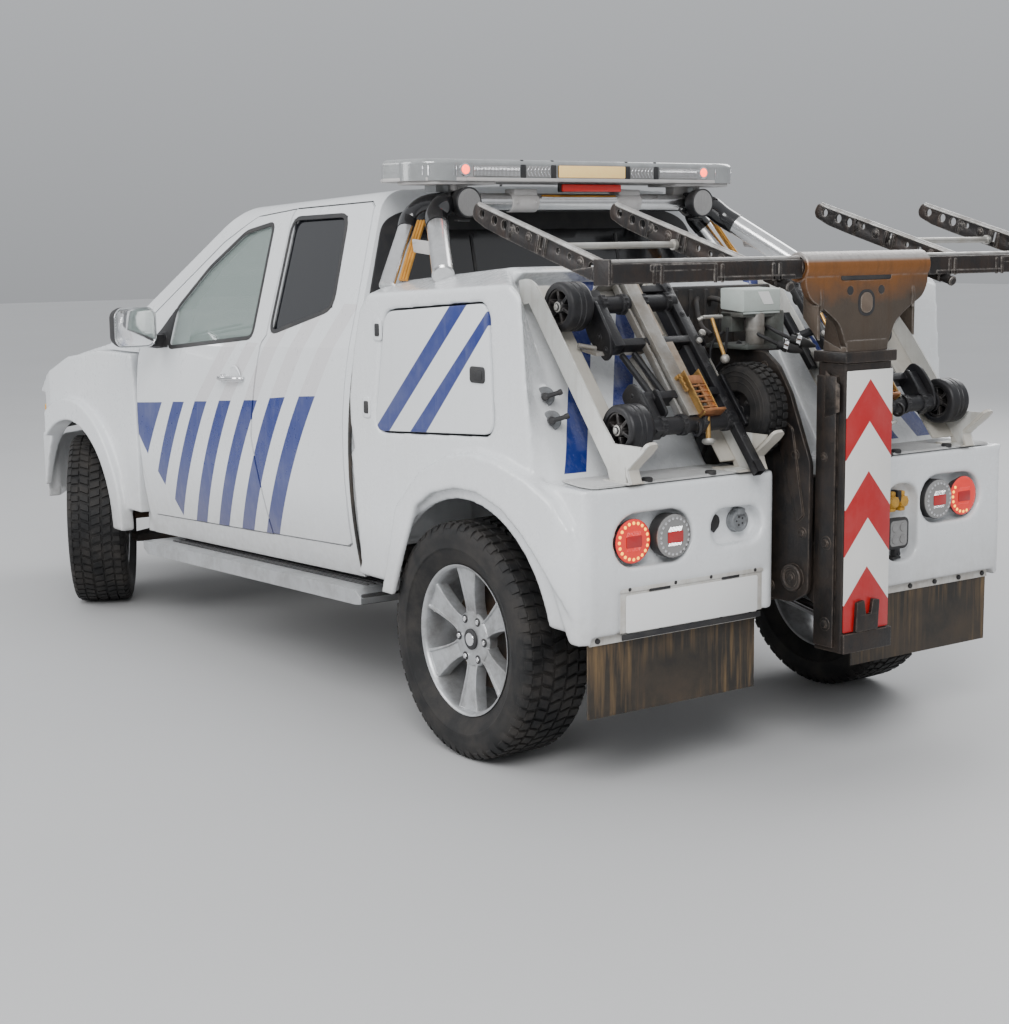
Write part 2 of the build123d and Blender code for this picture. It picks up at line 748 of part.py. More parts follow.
with BuildPart() as bumper_left:
    add(bumper_half.part)
    with BuildSketch(cross(-640)):
        with Locations((317, 775)):
            SlotOverall(224, 128)
    extrude(amount=52)
    with BuildSketch(cross(-700)):
        with Locations((317, 775)):
            SlotOverall(208, 112)
    extrude(amount=100, mode=Mode.SUBTRACT)
    # recess for the plate
    with BuildSketch(cross(-700)):
        trace([(198, 470), (198, 632), (778, 632), (778, 470)])
    extrude(amount=60, mode=Mode.SUBTRACT)
    with BuildSketch(cross(-638)):
        trace([(198, 502), (198, 632), (778, 632), (778, 502)])
    extrude(amount=18)
with BuildPart() as bumper_right:
    add(other_side(bumper_half.part))
    with BuildSketch(cross(-640)):
        with Locations((-412, 708)):
            RectangleRounded(166, 267, 66)
    extrude(amount=52)
    with BuildSketch(cross(-700)):
        with Locations((-412, 708)):
            RectangleRounded(152, 253, 58)
    extrude(amount=100, mode=Mode.SUBTRACT)
save(bumper_left.part + bumper_right.part, "rear_bumpers")

# lamps: y, z, radius, from x, depth
REAR_LAMPS = [(717, 768, 66, -601, -42), (575, 768, 66, -601, -42),
              (-717, 768, 66, -601, -42), (-575, 768, 66, -601, -42)]
with BuildPart() as rear_lamps:
    for y, z, r, x, d in REAR_LAMPS:
        with BuildSketch(cross(x)):
            with Locations((y, z)):
                Circle(r)
        extrude(amount=d)
    # work lamp in the right bumper and the two on the bar
    with BuildSketch(cross(-601)):
        with Locations((-412, 652)):
            RectangleRounded(88, 88, 16)
    extrude(amount=-52)
    for s in (-1, 1):
        with BuildSketch(cross(520)):
            with Locations((s * 525, 1760)):
                Circle(52)
        extrude(amount=-62)
save(rear_lamps.part, "rear_lamps")

# ------------------------------------------------------------ deck plates
with BuildPart() as deck_plates:
    for s in (-1, 1):
        with BuildSketch(plan(DECK_Z + 1.5)):
            with BuildLine():
                Polyline((-446, s * 330), (-446, s * 684), (-634, s * 684),
                         (-634, s * 330), close=True)
            make_face()
        extrude(amount=5)
        # strips under the feet of the rails
        with BuildSketch(plan(DECK_Z + 1.5)):
            with BuildLine():
                Polyline((-446, s * 255), (-446, s * 327), (-634, s * 327),
                         (-634, s * 255), close=True)
            make_face()
            with BuildLine():
                Polyline((-446, s * 687), (-446, s * 828), (-560, s * 856),
                         (-622, s * 856), (-634, s * 840),
                         (-634, s * 687), close=True)
            make_face()
        extrude(amount=5)
save(deck_plates.part, "deck_plates")

# ---------------------------------------------------------------- mudflaps
with BuildPart() as mudflaps:
    for s in (-1, 1):
        with BuildSketch(cross(-618)):
            with Locations((s * 541, 375)):
                Rectangle(654, 244)
        extrude(amount=6)
save(mudflaps.part, "mudflaps")

# ------------------------------------------------------------ running boards
with BuildPart() as running_boards:
    for s in (-1, 1):
        with BuildSketch(side(950 if s > 0 else -700)):
            trace([(2250, 352), (2290, 372), (2290, 402), (2200, 408),
                   (560, 466), (520, 440), (520, 420), (560, 414)])
        extrude(amount=250)
        for x, z in ((850, 471), (1550, 446)):
            with BuildSketch(plan(z)):
                with Locations((x, s * 728)):
                    Rectangle(50, 40)
            extrude(amount=-22)
save(running_boards.part, "running_boards")

# ------------------------------------------------------------- sports bar
# legs: foot x, foot z, top x, top z, foot y, top y
LEGS = [(560, 1523, 640, 1716, 770, 640), (262, 1555, 490, 1716, 770, 640)]
with BuildPart() as sports_bar:
    for s in (-1, 1):
        for fx, fz, tx, tz, fy, ty in LEGS:
            with BuildLine() as run:
                Line((RA + fx, s * fy, fz), (RA + tx, s * ty, tz))
            with BuildSketch(Plane(origin=run.line @ 0,
                                   z_dir=run.line % 0)):
                Circle(34)
            sweep(path=run.line)
        with BuildSketch(side(s * 640 + 34)):
            trace([(455, 1700), (455, 1735), (500, 1790, 560, 1792),
                   (625, 1790, 672, 1735), (672, 1700), (610, 1700),
                   (600, 1740), (530, 1740), (520, 1700)])
        extrude(amount=68)
        with BuildSketch(side(s * 705 + 8)):
            trace([(350, 1580), (360, 1625), (615, 1625), (605, 1580)])
        extrude(amount=16)
    with BuildSketch(side(660)):
        with Locations((560, 1762)):
            Circle(32)
    extrude(amount=1320)
save(sports_bar.part, "sports_bar")

with BuildPart() as light_bar:
    with BuildSketch(plan(1832)):
        trace([(456, 0), (456, 575), (480, 680, 580, 728), (660, 740),
               (740, 700), (775, 560), (775, 0)])
        mirror(about=Plane.XZ)
    extrude(amount=72)
    fillet(light_bar.faces().sort_by(Axis.Z)[-1].edges(), 16)
    for s in (-1, 1):
        with BuildSketch(plan(1796)):
            with Locations((600, s * 560)):
                Rectangle(70, 60)
        extrude(amount=37)
save(light_bar.part, "light_bar")

# ------------------------------------------------------------- dolly rails
UX, UZ = RAIL_FOOT[0] - RAIL_TOP[0], RAIL_FOOT[1] - RAIL_TOP[1]
ULEN = hypot(UX, UZ)
UX, UZ = UX / ULEN, UZ / ULEN          # down the slope
NX, NZ = UZ, -UX                        # out of the slope, backwards and up


def on_slope(s, n):
    """Point at distance s down the rails and n out from their face."""
    return (RAIL_TOP[0] + UX * s + NX * n, RAIL_TOP[1] + UZ * s + NZ * n)


# angle sections: web from y to y, flange from y to y, ear from y to y,
# foot from y to y
RAILS = [(640, 744, 738, 744, 700, 744, 690, 747),
         (256, 314, 250, 256, 206, 251, 253, 320)]
FOOT_Z = DECK_Z + 8.0
# ear at the foot, side view
EAR = [(-661, FOOT_Z), (-650, 962), (-645, 978), (-671, 1000), (-711, 1031),
       (-738, 1058), (-729, 1065), (-703, 1040), (-664, 1008), (-636, 985),
       (-640, 962), (-652, FOOT_Z)]
with BuildPart() as dolly_rails:
    for w0, w1, f0, f1, e0, e1, p0, p1 in RAILS:
        for s in (-1, 1):
            # web that the small wheels stand on
            with BuildSketch(side(w1 if s > 0 else -w0)):
                trace([on_slope(20, 2), on_slope(20, 8),
                       on_slope(ULEN - 42, 8), on_slope(ULEN - 42, 2)])
            extrude(amount=w1 - w0)
            # flange with a round tab at its top and a gusset at its foot
            with BuildSketch(side(f1 if s > 0 else -f0)):
                trace([on_slope(-4, 4), on_slope(40, -20), on_slope(68, -23),
                       on_slope(80, 2), on_slope(ULEN - 60, 2),
                       (-566, FOOT_Z), (-640, FOOT_Z), (-637, 962),
                       (-634, 984), (-662, 1006), (-701, 1038), (-706, 1050),
                       (-584, 1050), on_slope(560, 68), on_slope(78, 68),
                       (*on_slope(40, 58), *on_slope(8, 28))])
            extrude(amount=f1 - f0)
            # ear that holds the long beam of a dolly
            with BuildSketch(side(e1 if s > 0 else -e0)):
                trace(EAR)
            extrude(amount=e1 - e0)
            # foot plate
            with BuildSketch(plan(DECK_Z + 6.5)):
                with Locations((-598, s * (p0 + p1) / 2)):
                    Rectangle(120, p1 - p0)
            extrude(amount=6)
    fillet(dolly_rails.edges().filter_by(
        lambda e: e.length < 14 and abs(e.center().Z - 1061) < 6
        and e.center().X < RA - 724), 15)
save(dolly_rails.part, "dolly_rails")

# ------------------------------------------------------------- dolly frames
# small wheels: distance down the slope, distance out
DOLLY_R = 75.0
DOLLY_Y = 684.0
DOLLY_WHEELS = {"upper": (163.0, 90.0), "lower": (611.0, 90.0)}
# beams along the slope: y from, y to, from, to, out from, out to
BEAMS = [(262, 294, 30, 806, 79, 108), (410, 460, 30, 598, 98, 120),
         (560, 600, 120, 330, 62, 112), (560, 600, 520, 640, 62, 112)]
# bars across: y from, y to, distance down, out, depth
BARS = [(290, 600, 300, 56, 26), (290, 600, 500, 62, 26)]
with BuildPart() as dolly_frames:
    for s in (-1, 1):
        # axle tubes
        for d, n in DOLLY_WHEELS.values():
            x, z = on_slope(d, n)
            with BuildSketch(side(628 if s > 0 else -270)):
                with Locations((x, z)):
                    Circle(27)
            extrude(amount=358)
            with BuildSketch(side(734 if s > 0 else -628)):
                with Locations((x, z)):
                    Circle(11)
            extrude(amount=106)
        for y0, y1, d0, d1, n0, n1 in BEAMS:
            with BuildSketch(side(y1 if s > 0 else -y0)):
                trace([on_slope(d0, n0), on_slope(d0, n1),
                       on_slope(d1, n1), on_slope(d1, n0)])
            extrude(amount=y1 - y0)
        for y0, y1, d, n, t in BARS:
            with BuildSketch(side(y1 if s > 0 else -y0)):
                trace([on_slope(d, n), on_slope(d, n + 50),
                       on_slope(d + t, n + 50), on_slope(d + t, n)])
            extrude(amount=y1 - y0)
save(dolly_frames.part, "dolly_frames")

for sname, s in (("left", 1), ("right", -1)):
    for wname, (d, n) in DOLLY_WHEELS.items():
        x, z = on_slope(d, n)
        with BuildPart() as roller:
            with BuildSketch(side(s * DOLLY_Y + 43)):
                with Locations((x, z)):
                    Circle(DOLLY_R)
                    Circle(12.5, mode=Mode.SUBTRACT)
            extrude(amount=86)
            fillet(roller.edges().filter_by(GeomType.CIRCLE)
                   .filter_by(lambda e: e.radius > 70), 14)
        save(roller.part, f"dolly_wheel_{wname}_{sname}")

with BuildPart() as dolly_tyre:
    with BuildSketch(side(236)):
        with Locations((-550, 1110)):
            Circle(148)
    extrude(amount=90)
    fillet(dolly_tyre.edges(), 26)
save(dolly_tyre.part, "spare_dolly_tyre")

# hand pump beside the mast: foot, two cylinders, valve block and cover
with BuildPart() as pump_box:
    with BuildSketch(plan(1290)):
        with Locations((-425, 60)):
            Rectangle(190, 210)
    extrude(amount=14)
    for x, y, r in ((-478, 92, 29), (-462, 12, 42)):
        with BuildSketch(plan(1303)):
            with Locations((x, y)):
                Circle(r)
        extrude(amount=104)
    with BuildSketch(plan(1344)):
        with Locations((-425, 138)):
            Rectangle(50, 54)
    extrude(amount=62)
    with BuildSketch(plan(1405)):
        with Locations((-452, 88)):
            Rectangle(106, 156)
    extrude(amount=74)
save(pump_box.part, "pump_box")

# ------------------------------------------------------------- boom mount
PLATE = [(-300, 640), (-560, 520), (-690, 520), (-760, 560), (-762, 655),
         (-700, 760), (-560, 1180), (-380, 1288), (-240, 1288), (-240, 900),
         (-200, 720)]
with BuildPart() as boom_mount:
    for s in (-1, 1):
        with BuildSketch(side(130 if s > 0 else -112)):
            trace(PLATE)
        extrude(amount=18)
        with BuildSketch(side(146 if s > 0 else -130)):
            with Locations(BOOM_PIVOT):
                Circle(42)
        extrude(amount=16)
    with BuildSketch(plan(1272)):
        with Locations((-310, 0)):
            Rectangle(140, 230)
    extrude(amount=17)
    with BuildSketch(plan(900)):
        with Locations((-250, 0)):
            Rectangle(20, 230)
    extrude(amount=300)
    # tube between the frame rails that carries the plates
    with BuildSketch(side(349.5)):
        with Locations((-345, 655)):
            Circle(36)
    extrude(amount=699)
    # pivot shaft
    with BuildSketch(side(146)):
        with Locations(BOOM_PIVOT):
            Circle(20)
    extrude(amount=292)
    # cylinder foot bracket, carried forward between the rails
    for s in (-1, 1):
        with BuildSketch(side(52 if s > 0 else -40)):
            trace([(60, 590), (60, 664), (140, 664), (140, 590)])
        extrude(amount=12)
    with BuildSketch(plan(662)):
        with Locations((100, 0)):
            Rectangle(80, 699)
    extrude(amount=14)
save(boom_mount.part, "boom_mount")

# ------------------------------------------------------------- boom, outer
with BuildPart() as boom_outer:
    with BuildSketch(plan(BOOM_FOOT)):
        with Locations(((BOOM_REAR + BOOM_FRONT) / 2, 0)):
            Rectangle(BOOM_FRONT - BOOM_REAR, BOOM_W)
            Rectangle(BOOM_FRONT - BOOM_REAR - 2 * BOOM_WALL,
                      BOOM_W - 2 * BOOM_WALL, mode=Mode.SUBTRACT)
    extrude(amount=BOOM_TOP - BOOM_FOOT)
    # collar
    with BuildSketch(plan(BOOM_TOP - 2)):
        with Locations(((BOOM_REAR + BOOM_FRONT) / 2, 0)):
            Rectangle(BOOM_FRONT - BOOM_REAR + 18, BOOM_W + 18)
            Rectangle(BOOM_FRONT - BOOM_REAR - 2 * BOOM_WALL,
                      BOOM_W - 2 * BOOM_WALL, mode=Mode.SUBTRACT)
    extrude(amount=36)
    # opening for the cylinder rod in the front wall of the foot
    with BuildSketch(cross(BOOM_FRONT - 30)):
        with Locations((0, 455)):
            Rectangle(110, 160)
    extrude(amount=60, mode=Mode.SUBTRACT)
    # hinge lugs forward of the tube
    for s in (-1, 1):
        with BuildSketch(side(100 if s > 0 else -82)):
            trace([(-762, 520), (-762, 720), (-720, 660), (-655, 630),
                   (-655, 570), (-720, 548)])
        extrude(amount=18)
        with BuildSketch(side(110)):
            with Locations(BOOM_PIVOT):
                Circle(22)
        extrude(amount=220, mode=Mode.SUBTRACT)
    # chevron board and its lower bracket on the rear face
    with BuildSketch(cross(BOOM_REAR)):
        trace([(-97, 454), (97, 454), (97, 1239), (-97, 1239)])
    extrude(amount=-4)
    with BuildSketch(cross(BOOM_REAR - 4)):
        trace([(-60, 445), (60, 445), (60, 543), (-60, 543)])
    extrude(amount=-14)
save(boom_outer.part, "boom_outer")

# ------------------------------------------------------------- boom, inner
IN_W = BOOM_W - 2 * BOOM_WALL - 8
IN_D = BOOM_FRONT - BOOM_REAR - 2 * BOOM_WALL - 8
BOOM_X = (BOOM_REAR + BOOM_FRONT) / 2
with BuildPart() as boom_inner:
    with BuildSketch(plan(640)):
        with Locations((BOOM_X, 0)):
            Rectangle(IN_D, IN_W)
            Rectangle(IN_D - 16, IN_W - 16, mode=Mode.SUBTRACT)
    extrude(amount=1330 - 640)
    # head plate, widening from the neck
    with BuildSketch(cross(BOOM_X - IN_D / 2)):
        trace([(0, 1302), (93, 1302), (100, 1340), (112, 1385), (175, 1425),
               (235, 1450), (258, 1490), (262, 1565), (0, 1565)], half=False)
        mirror(about=Plane.YZ)
    extrude(amount=26)
    # sleeve for the cross bar
    with BuildSketch(side(262)):
        with Locations(HEAD_AXIS):
            Circle(44)
            Circle(31, mode=Mode.SUBTRACT)
    extrude(amount=524)
    # the sleeve's bore stays open through the plate
    with BuildSketch(side(300)):
        with Locations(HEAD_AXIS):
            Circle(31)
    extrude(amount=600, mode=Mode.SUBTRACT)
    # slot, two holes and a key in the plate
    with BuildSketch(cross(BOOM_X - 120)):
        with Locations((75, 1455), (-75, 1455)):
            Circle(12)
    extrude(amount=120, mode=Mode.SUBTRACT)
save(boom_inner.part, "boom_inner")

# ------------------------------------------------- cross bar and cradle arms
ARM_RISE = radians(16.0)
with BuildPart() as wheel_cradle:
    with BuildSketch(side(985)):
        with Locations(HEAD_AXIS):
            Circle(29)
    extrude(amount=1970)
    for s in (-1, 1):
        # square cross bar outside the head
        with BuildSketch(side(985 if s > 0 else -268)):
            trace([(-862, 1516), (-862, 1580), (-798, 1580), (-798, 1516)])
        extrude(amount=717)
        # two arms a side: y, thickness
        for ya, wa in ((445, 22), (960, 22)):
            with BuildSketch(side(s * ya + wa / 2)):
                c, d = cos(ARM_RISE), sin(ARM_RISE)
                x0, z0 = -800.0, 1514.0
                trace([(x0, z0), (x0, z0 + 68),
                       (x0 + 600 * c - 68 * d, z0 + 600 * d + 68 * c),
                       (x0 + 640 * c - 30 * d, z0 + 640 * d + 30 * c),
                       (x0 + 630 * c, z0 + 630 * d)])
            extrude(amount=wa)
save(wheel_cradle.part, "wheel_cradle")

# ---------------------------------------------------------- tilt cylinder
CX, CZ = CYL_EYE[0] - CYL_FOOT[0], CYL_EYE[1] - CYL_FOOT[1]
CLEN = hypot(CX, CZ)
cyl = Plane(origin=(RA + CYL_FOOT[0], 0, CYL_FOOT[1]), x_dir=(0, 1, 0),
            z_dir=(CX / CLEN, 0, CZ / CLEN))
BARREL = 545.0
with BuildPart() as tilt_barrel:
    with BuildSketch(side(36)):
        with Locations(CYL_FOOT):
            Circle(26)
    extrude(amount=72)
    with BuildSketch(cyl.offset(20)):
        Circle(35)
    extrude(amount=BARREL - 20)
    with BuildSketch(cyl.offset(60)):
        Circle(22)
    extrude(amount=BARREL, mode=Mode.SUBTRACT)
save(tilt_barrel.part, "tilt_barrel")
with BuildPart() as tilt_rod:
    with BuildSketch(cyl.offset(CLEN - 560)):
        Circle(20)
    extrude(amount=560 - 24)
    with BuildSketch(side(30)):
        with Locations(CYL_EYE):
            Circle(26)
            Circle(13, mode=Mode.SUBTRACT)
    extrude(amount=60)
save(tilt_rod.part, "tilt_rod")

# ----------------------------------------------------------- locker doors
LOCKER_IN = [(412, 1407), (-175, 1449), (-198, 1054), (485, 1011)]
with BuildPart() as locker_door:
    with BuildSketch(side(BODY_Y - 0.5)) as leaf:
        trace(LOCKER_IN)
        fillet(leaf.vertices(), 50)
    extrude(amount=22)
save(locker_door.part, "locker_door_left")
save(other_side(locker_door.part), "locker_door_right")

# ------------------------------------------------------------------- wheels
# half tyre section: (offset from the centre plane, radius)
TYRE_HALF = [(94, 236), (96, 249), (112, 268), (124, 290, 127.5, 318),
             (126, 345, 114, 366), (95, 381.5)]


def wheel_plane(x, y):
    """Axial section of a wheel: local x along +Y, local y up."""
    return Plane(origin=(RA + x, y, TYRE_R), x_dir=(0, 1, 0),
                 z_dir=(1, 0, 0))


def axle_axis(x):
    return Axis((RA + x, 0, TYRE_R), (0, 1, 0))


def tyre_at(x, y):
    with BuildPart() as tyre:
        with BuildSketch(wheel_plane(x, y)):
            trace([(0, 236)] + TYRE_HALF + [(0, 381.5)])
            mirror(about=Plane.YZ)
        revolve(axis=axle_axis(x))
    return tyre.part


def rim_at(x, y, s):
    """Rim with its outer face on the side s."""
    with BuildPart() as rim:
        with BuildSketch(wheel_plane(x, y)):
            trace([(-102, 225), (-102, RIM_FLANGE_R), (-97.5, RIM_FLANGE_R),
                   (-97.5, RIM_BARREL_R), (97.5, RIM_BARREL_R),
                   (97.5, RIM_FLANGE_R), (102, RIM_FLANGE_R), (102, 225)])
            # hub, cap and disc: from the middle outwards
            trace([(-40 * s, 0), (-40 * s, 70), (38 * s, 70), (38 * s, 82),
                   (66 * s, 78), (66 * s, 0)])
            trace([(-26 * s, 60), (-26 * s, 150), (-2 * s, 150), (-2 * s, 60)])
        revolve(axis=axle_axis(x))
        # six broad spokes
        face = Plane(origin=(RA + x, y + s * 38, TYRE_R),
                     x_dir=(1, 0, 0), z_dir=(0, s, 0))
        with BuildSketch(face):
            with PolarLocations(0, 6, start_angle=90):
                with Locations((152, 0)):
                    Trapezoid(74, 160, 85, rotation=90)
        extrude(amount=36)
    return rim.part


WHEELS = [("rear_left", 0.0, 1), ("rear_right", 0.0, -1),
          ("front_left", FAX, 1), ("front_right", FAX, -1)]
for name, x, s in WHEELS:
    tyre, rim = tyre_at(x, s * TRACK_Y), rim_at(x, s * TRACK_Y, s)
    if x:
        tyre, rim = steer(tyre, s), steer(rim, s)
    save(tyre, "tyre_" + name)
    save(rim, "rim_" + name)

for name, s in (("left", 1), ("right", -1)):
    with BuildPart() as knuckle:
        with BuildSketch(side(s * 690 + 25)):
            with BuildLine():
                Polyline((FAX - 38, 305), (FAX + 38, 305), (FAX + 38, 480),
                         (FAX - 38, 480), close=True)
            make_face()
        extrude(amount=50)
        with BuildSketch(side(s * 728 + 14)):
            with Locations((FAX, TYRE_R)):
                Circle(55)
        extrude(amount=28)
        # kingpin
        with BuildSketch(plan(299)):
            with Locations((FAX, s * KINGPIN_Y)):
                Circle(16)
        extrude(amount=190)
    save(steer(knuckle.part, s), "knuckle_" + name)
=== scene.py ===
import json
import math
import bpy
import bmesh
from mathutils import Vector, Matrix


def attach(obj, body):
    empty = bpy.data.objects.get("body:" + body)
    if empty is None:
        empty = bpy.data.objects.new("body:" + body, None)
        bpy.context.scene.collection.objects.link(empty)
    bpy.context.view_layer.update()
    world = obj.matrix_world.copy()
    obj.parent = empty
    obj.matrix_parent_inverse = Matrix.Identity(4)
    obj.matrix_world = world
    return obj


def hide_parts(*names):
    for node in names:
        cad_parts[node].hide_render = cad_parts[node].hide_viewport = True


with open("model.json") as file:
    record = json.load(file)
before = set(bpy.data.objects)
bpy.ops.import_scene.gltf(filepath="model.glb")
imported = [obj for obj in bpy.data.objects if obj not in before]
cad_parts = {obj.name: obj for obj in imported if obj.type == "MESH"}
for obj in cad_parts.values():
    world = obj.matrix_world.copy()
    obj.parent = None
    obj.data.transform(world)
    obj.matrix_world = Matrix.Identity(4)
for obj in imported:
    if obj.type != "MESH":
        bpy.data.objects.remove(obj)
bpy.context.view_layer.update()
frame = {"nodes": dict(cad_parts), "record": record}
NODES = frame["nodes"]
BODIES = frame["record"]["behaviour"]["bodies"]
RIDES = {n: b for b, ns in BODIES.items() for n in ns}
RA = -1.5455          # x of the rear axle
FAX = 3.095           # front axle, ahead of it
GROUND_R = 0.3815


# ------------------------------------------------------------------ camera
def set_camera():
    yaw, pitch, roll = -0.616884, -0.154883, -0.011093
    f = Vector((math.cos(pitch) * math.cos(yaw), math.cos(pitch) * math.sin(yaw),
                math.sin(pitch)))
    r0 = Vector((math.sin(yaw), -math.cos(yaw), 0.0))
    u0 = r0.cross(f)
    c, s = math.cos(roll), math.sin(roll)
    r, u = c * r0 + s * u0, -s * r0 + c * u0
    cam = bpy.data.cameras.new("camera")
    cam.sensor_width = 36.0
    cam.sensor_fit = 'AUTO'
    cam.lens = 1775.4 * 36.0 / 1024.0
    cam.clip_start, cam.clip_end = 0.1, 200.0
    o = bpy.data.objects.new("camera", cam)
    m = Matrix((r, u, -f)).transposed().to_4x4()
    m.translation = Vector((RA - 4.56101, 3.95462, 1.65023))
    o.matrix_world = m
    bpy.context.collection.objects.link(o)
    bpy.context.scene.camera = o


set_camera()


# --------------------------------------------------------------- materials
class Graph:
    """A material's nodes, with short calls for the sums that masks need."""

    def __init__(self, name):
        self.mat = bpy.data.materials.new(name)
        self.mat.use_nodes = True
        self.nt = self.mat.node_tree
        self.out = self.nt.nodes["Principled BSDF"]
        tc = self.nt.nodes.new("ShaderNodeTexCoord")
        self.pos = tc.outputs["Object"]
        self.xyz = None

    def node(self, kind, **props):
        n = self.nt.nodes.new(kind)
        for k, v in props.items():
            setattr(n, k, v)
        return n

    def put(self, socket, value):
        if isinstance(value, bpy.types.NodeSocket):
            self.nt.links.new(value, socket)
        else:
            socket.default_value = value

    def axis(self, i):
        if self.xyz is None:
            n = self.node("ShaderNodeSeparateXYZ")
            self.put(n.inputs[0], self.pos)
            self.xyz = n.outputs
        return self.xyz[i]

    def math(self, op, a, b=0.0, c=None, clamp=False):
        n = self.node("ShaderNodeMath", operation=op, use_clamp=clamp)
        self.put(n.inputs[0], a)
        self.put(n.inputs[1], b)
        if c is not None:
            self.put(n.inputs[2], c)
        return n.outputs[0]

    def noise(self, scale, detail=4.0, rough=0.55, stretch=None, distort=0.0):
        n = self.node("ShaderNodeTexNoise")
        src = self.pos
        if stretch:
            m = self.node("ShaderNodeMapping")
            self.put(m.inputs["Vector"], self.pos)
            m.inputs["Scale"].default_value = stretch
            src = m.outputs[0]
        self.put(n.inputs["Vector"], src)
        n.inputs["Scale"].default_value = scale
        n.inputs["Detail"].default_value = detail
        n.inputs["Roughness"].default_value = rough
        n.inputs["Distortion"].default_value = distort
        return n.outputs["Fac"]

    def ramp(self, v, lo, hi):
        """0 at lo, 1 at hi, straight between."""
        n = self.node("ShaderNodeMapRange", clamp=True)
        self.put(n.inputs["Value"], v)
        n.inputs["From Min"].default_value = lo
        n.inputs["From Max"].default_value = hi
        return n.outputs[0]

    def mix(self, fac, a, b):
        n = self.node("ShaderNodeMix", data_type='RGBA')
        self.put(n.inputs["Factor"], fac)
        for i, v in ((6, a), (7, b)):
            if isinstance(v, bpy.types.NodeSocket):
                self.nt.links.new(v, n.inputs[i])
            else:
                n.inputs[i].default_value = (*v[:3], 1.0)
        return n.outputs[2]

    def polygon(self, pts, u=0, v=2, soft=0.0012):
        """Mask of a convex polygon in two of the coordinates."""
        a2 = sum(pts[i][0] * pts[(i + 1) % len(pts)][1]
                 - pts[(i + 1) % len(pts)][0] * pts[i][1]
                 for i in range(len(pts)))
        if a2 < 0:
            pts = pts[::-1]
        best = None
        for i, (x0, z0) in enumerate(pts):
            x1, z1 = pts[(i + 1) % len(pts)]
            dx, dz = x1 - x0, z1 - z0
            ln = math.hypot(dx, dz)
            nx, nz = -dz / ln, dx / ln
            d = self.node("ShaderNodeVectorMath", operation='DOT_PRODUCT')
            self.put(d.inputs[0], self.pos)
            vec = [0.0, 0.0, 0.0]
            vec[u], vec[v] = nx, nz
            d.inputs[1].default_value = vec
            m = self.math('MULTIPLY_ADD', d.outputs["Value"], 1.0 / soft,
                          0.5 - (nx * x0 + nz * z0) / soft, clamp=True)
            best = m if best is None else self.math('MINIMUM', best, m)
        return best


def either(g, masks):
    best = None
    for m in masks:
        best = m if best is None else g.math('MAXIMUM', best, m)
    return best


def tone(c, k):
    return tuple(min(1.0, max(0.0, v * k)) for v in c[:3])


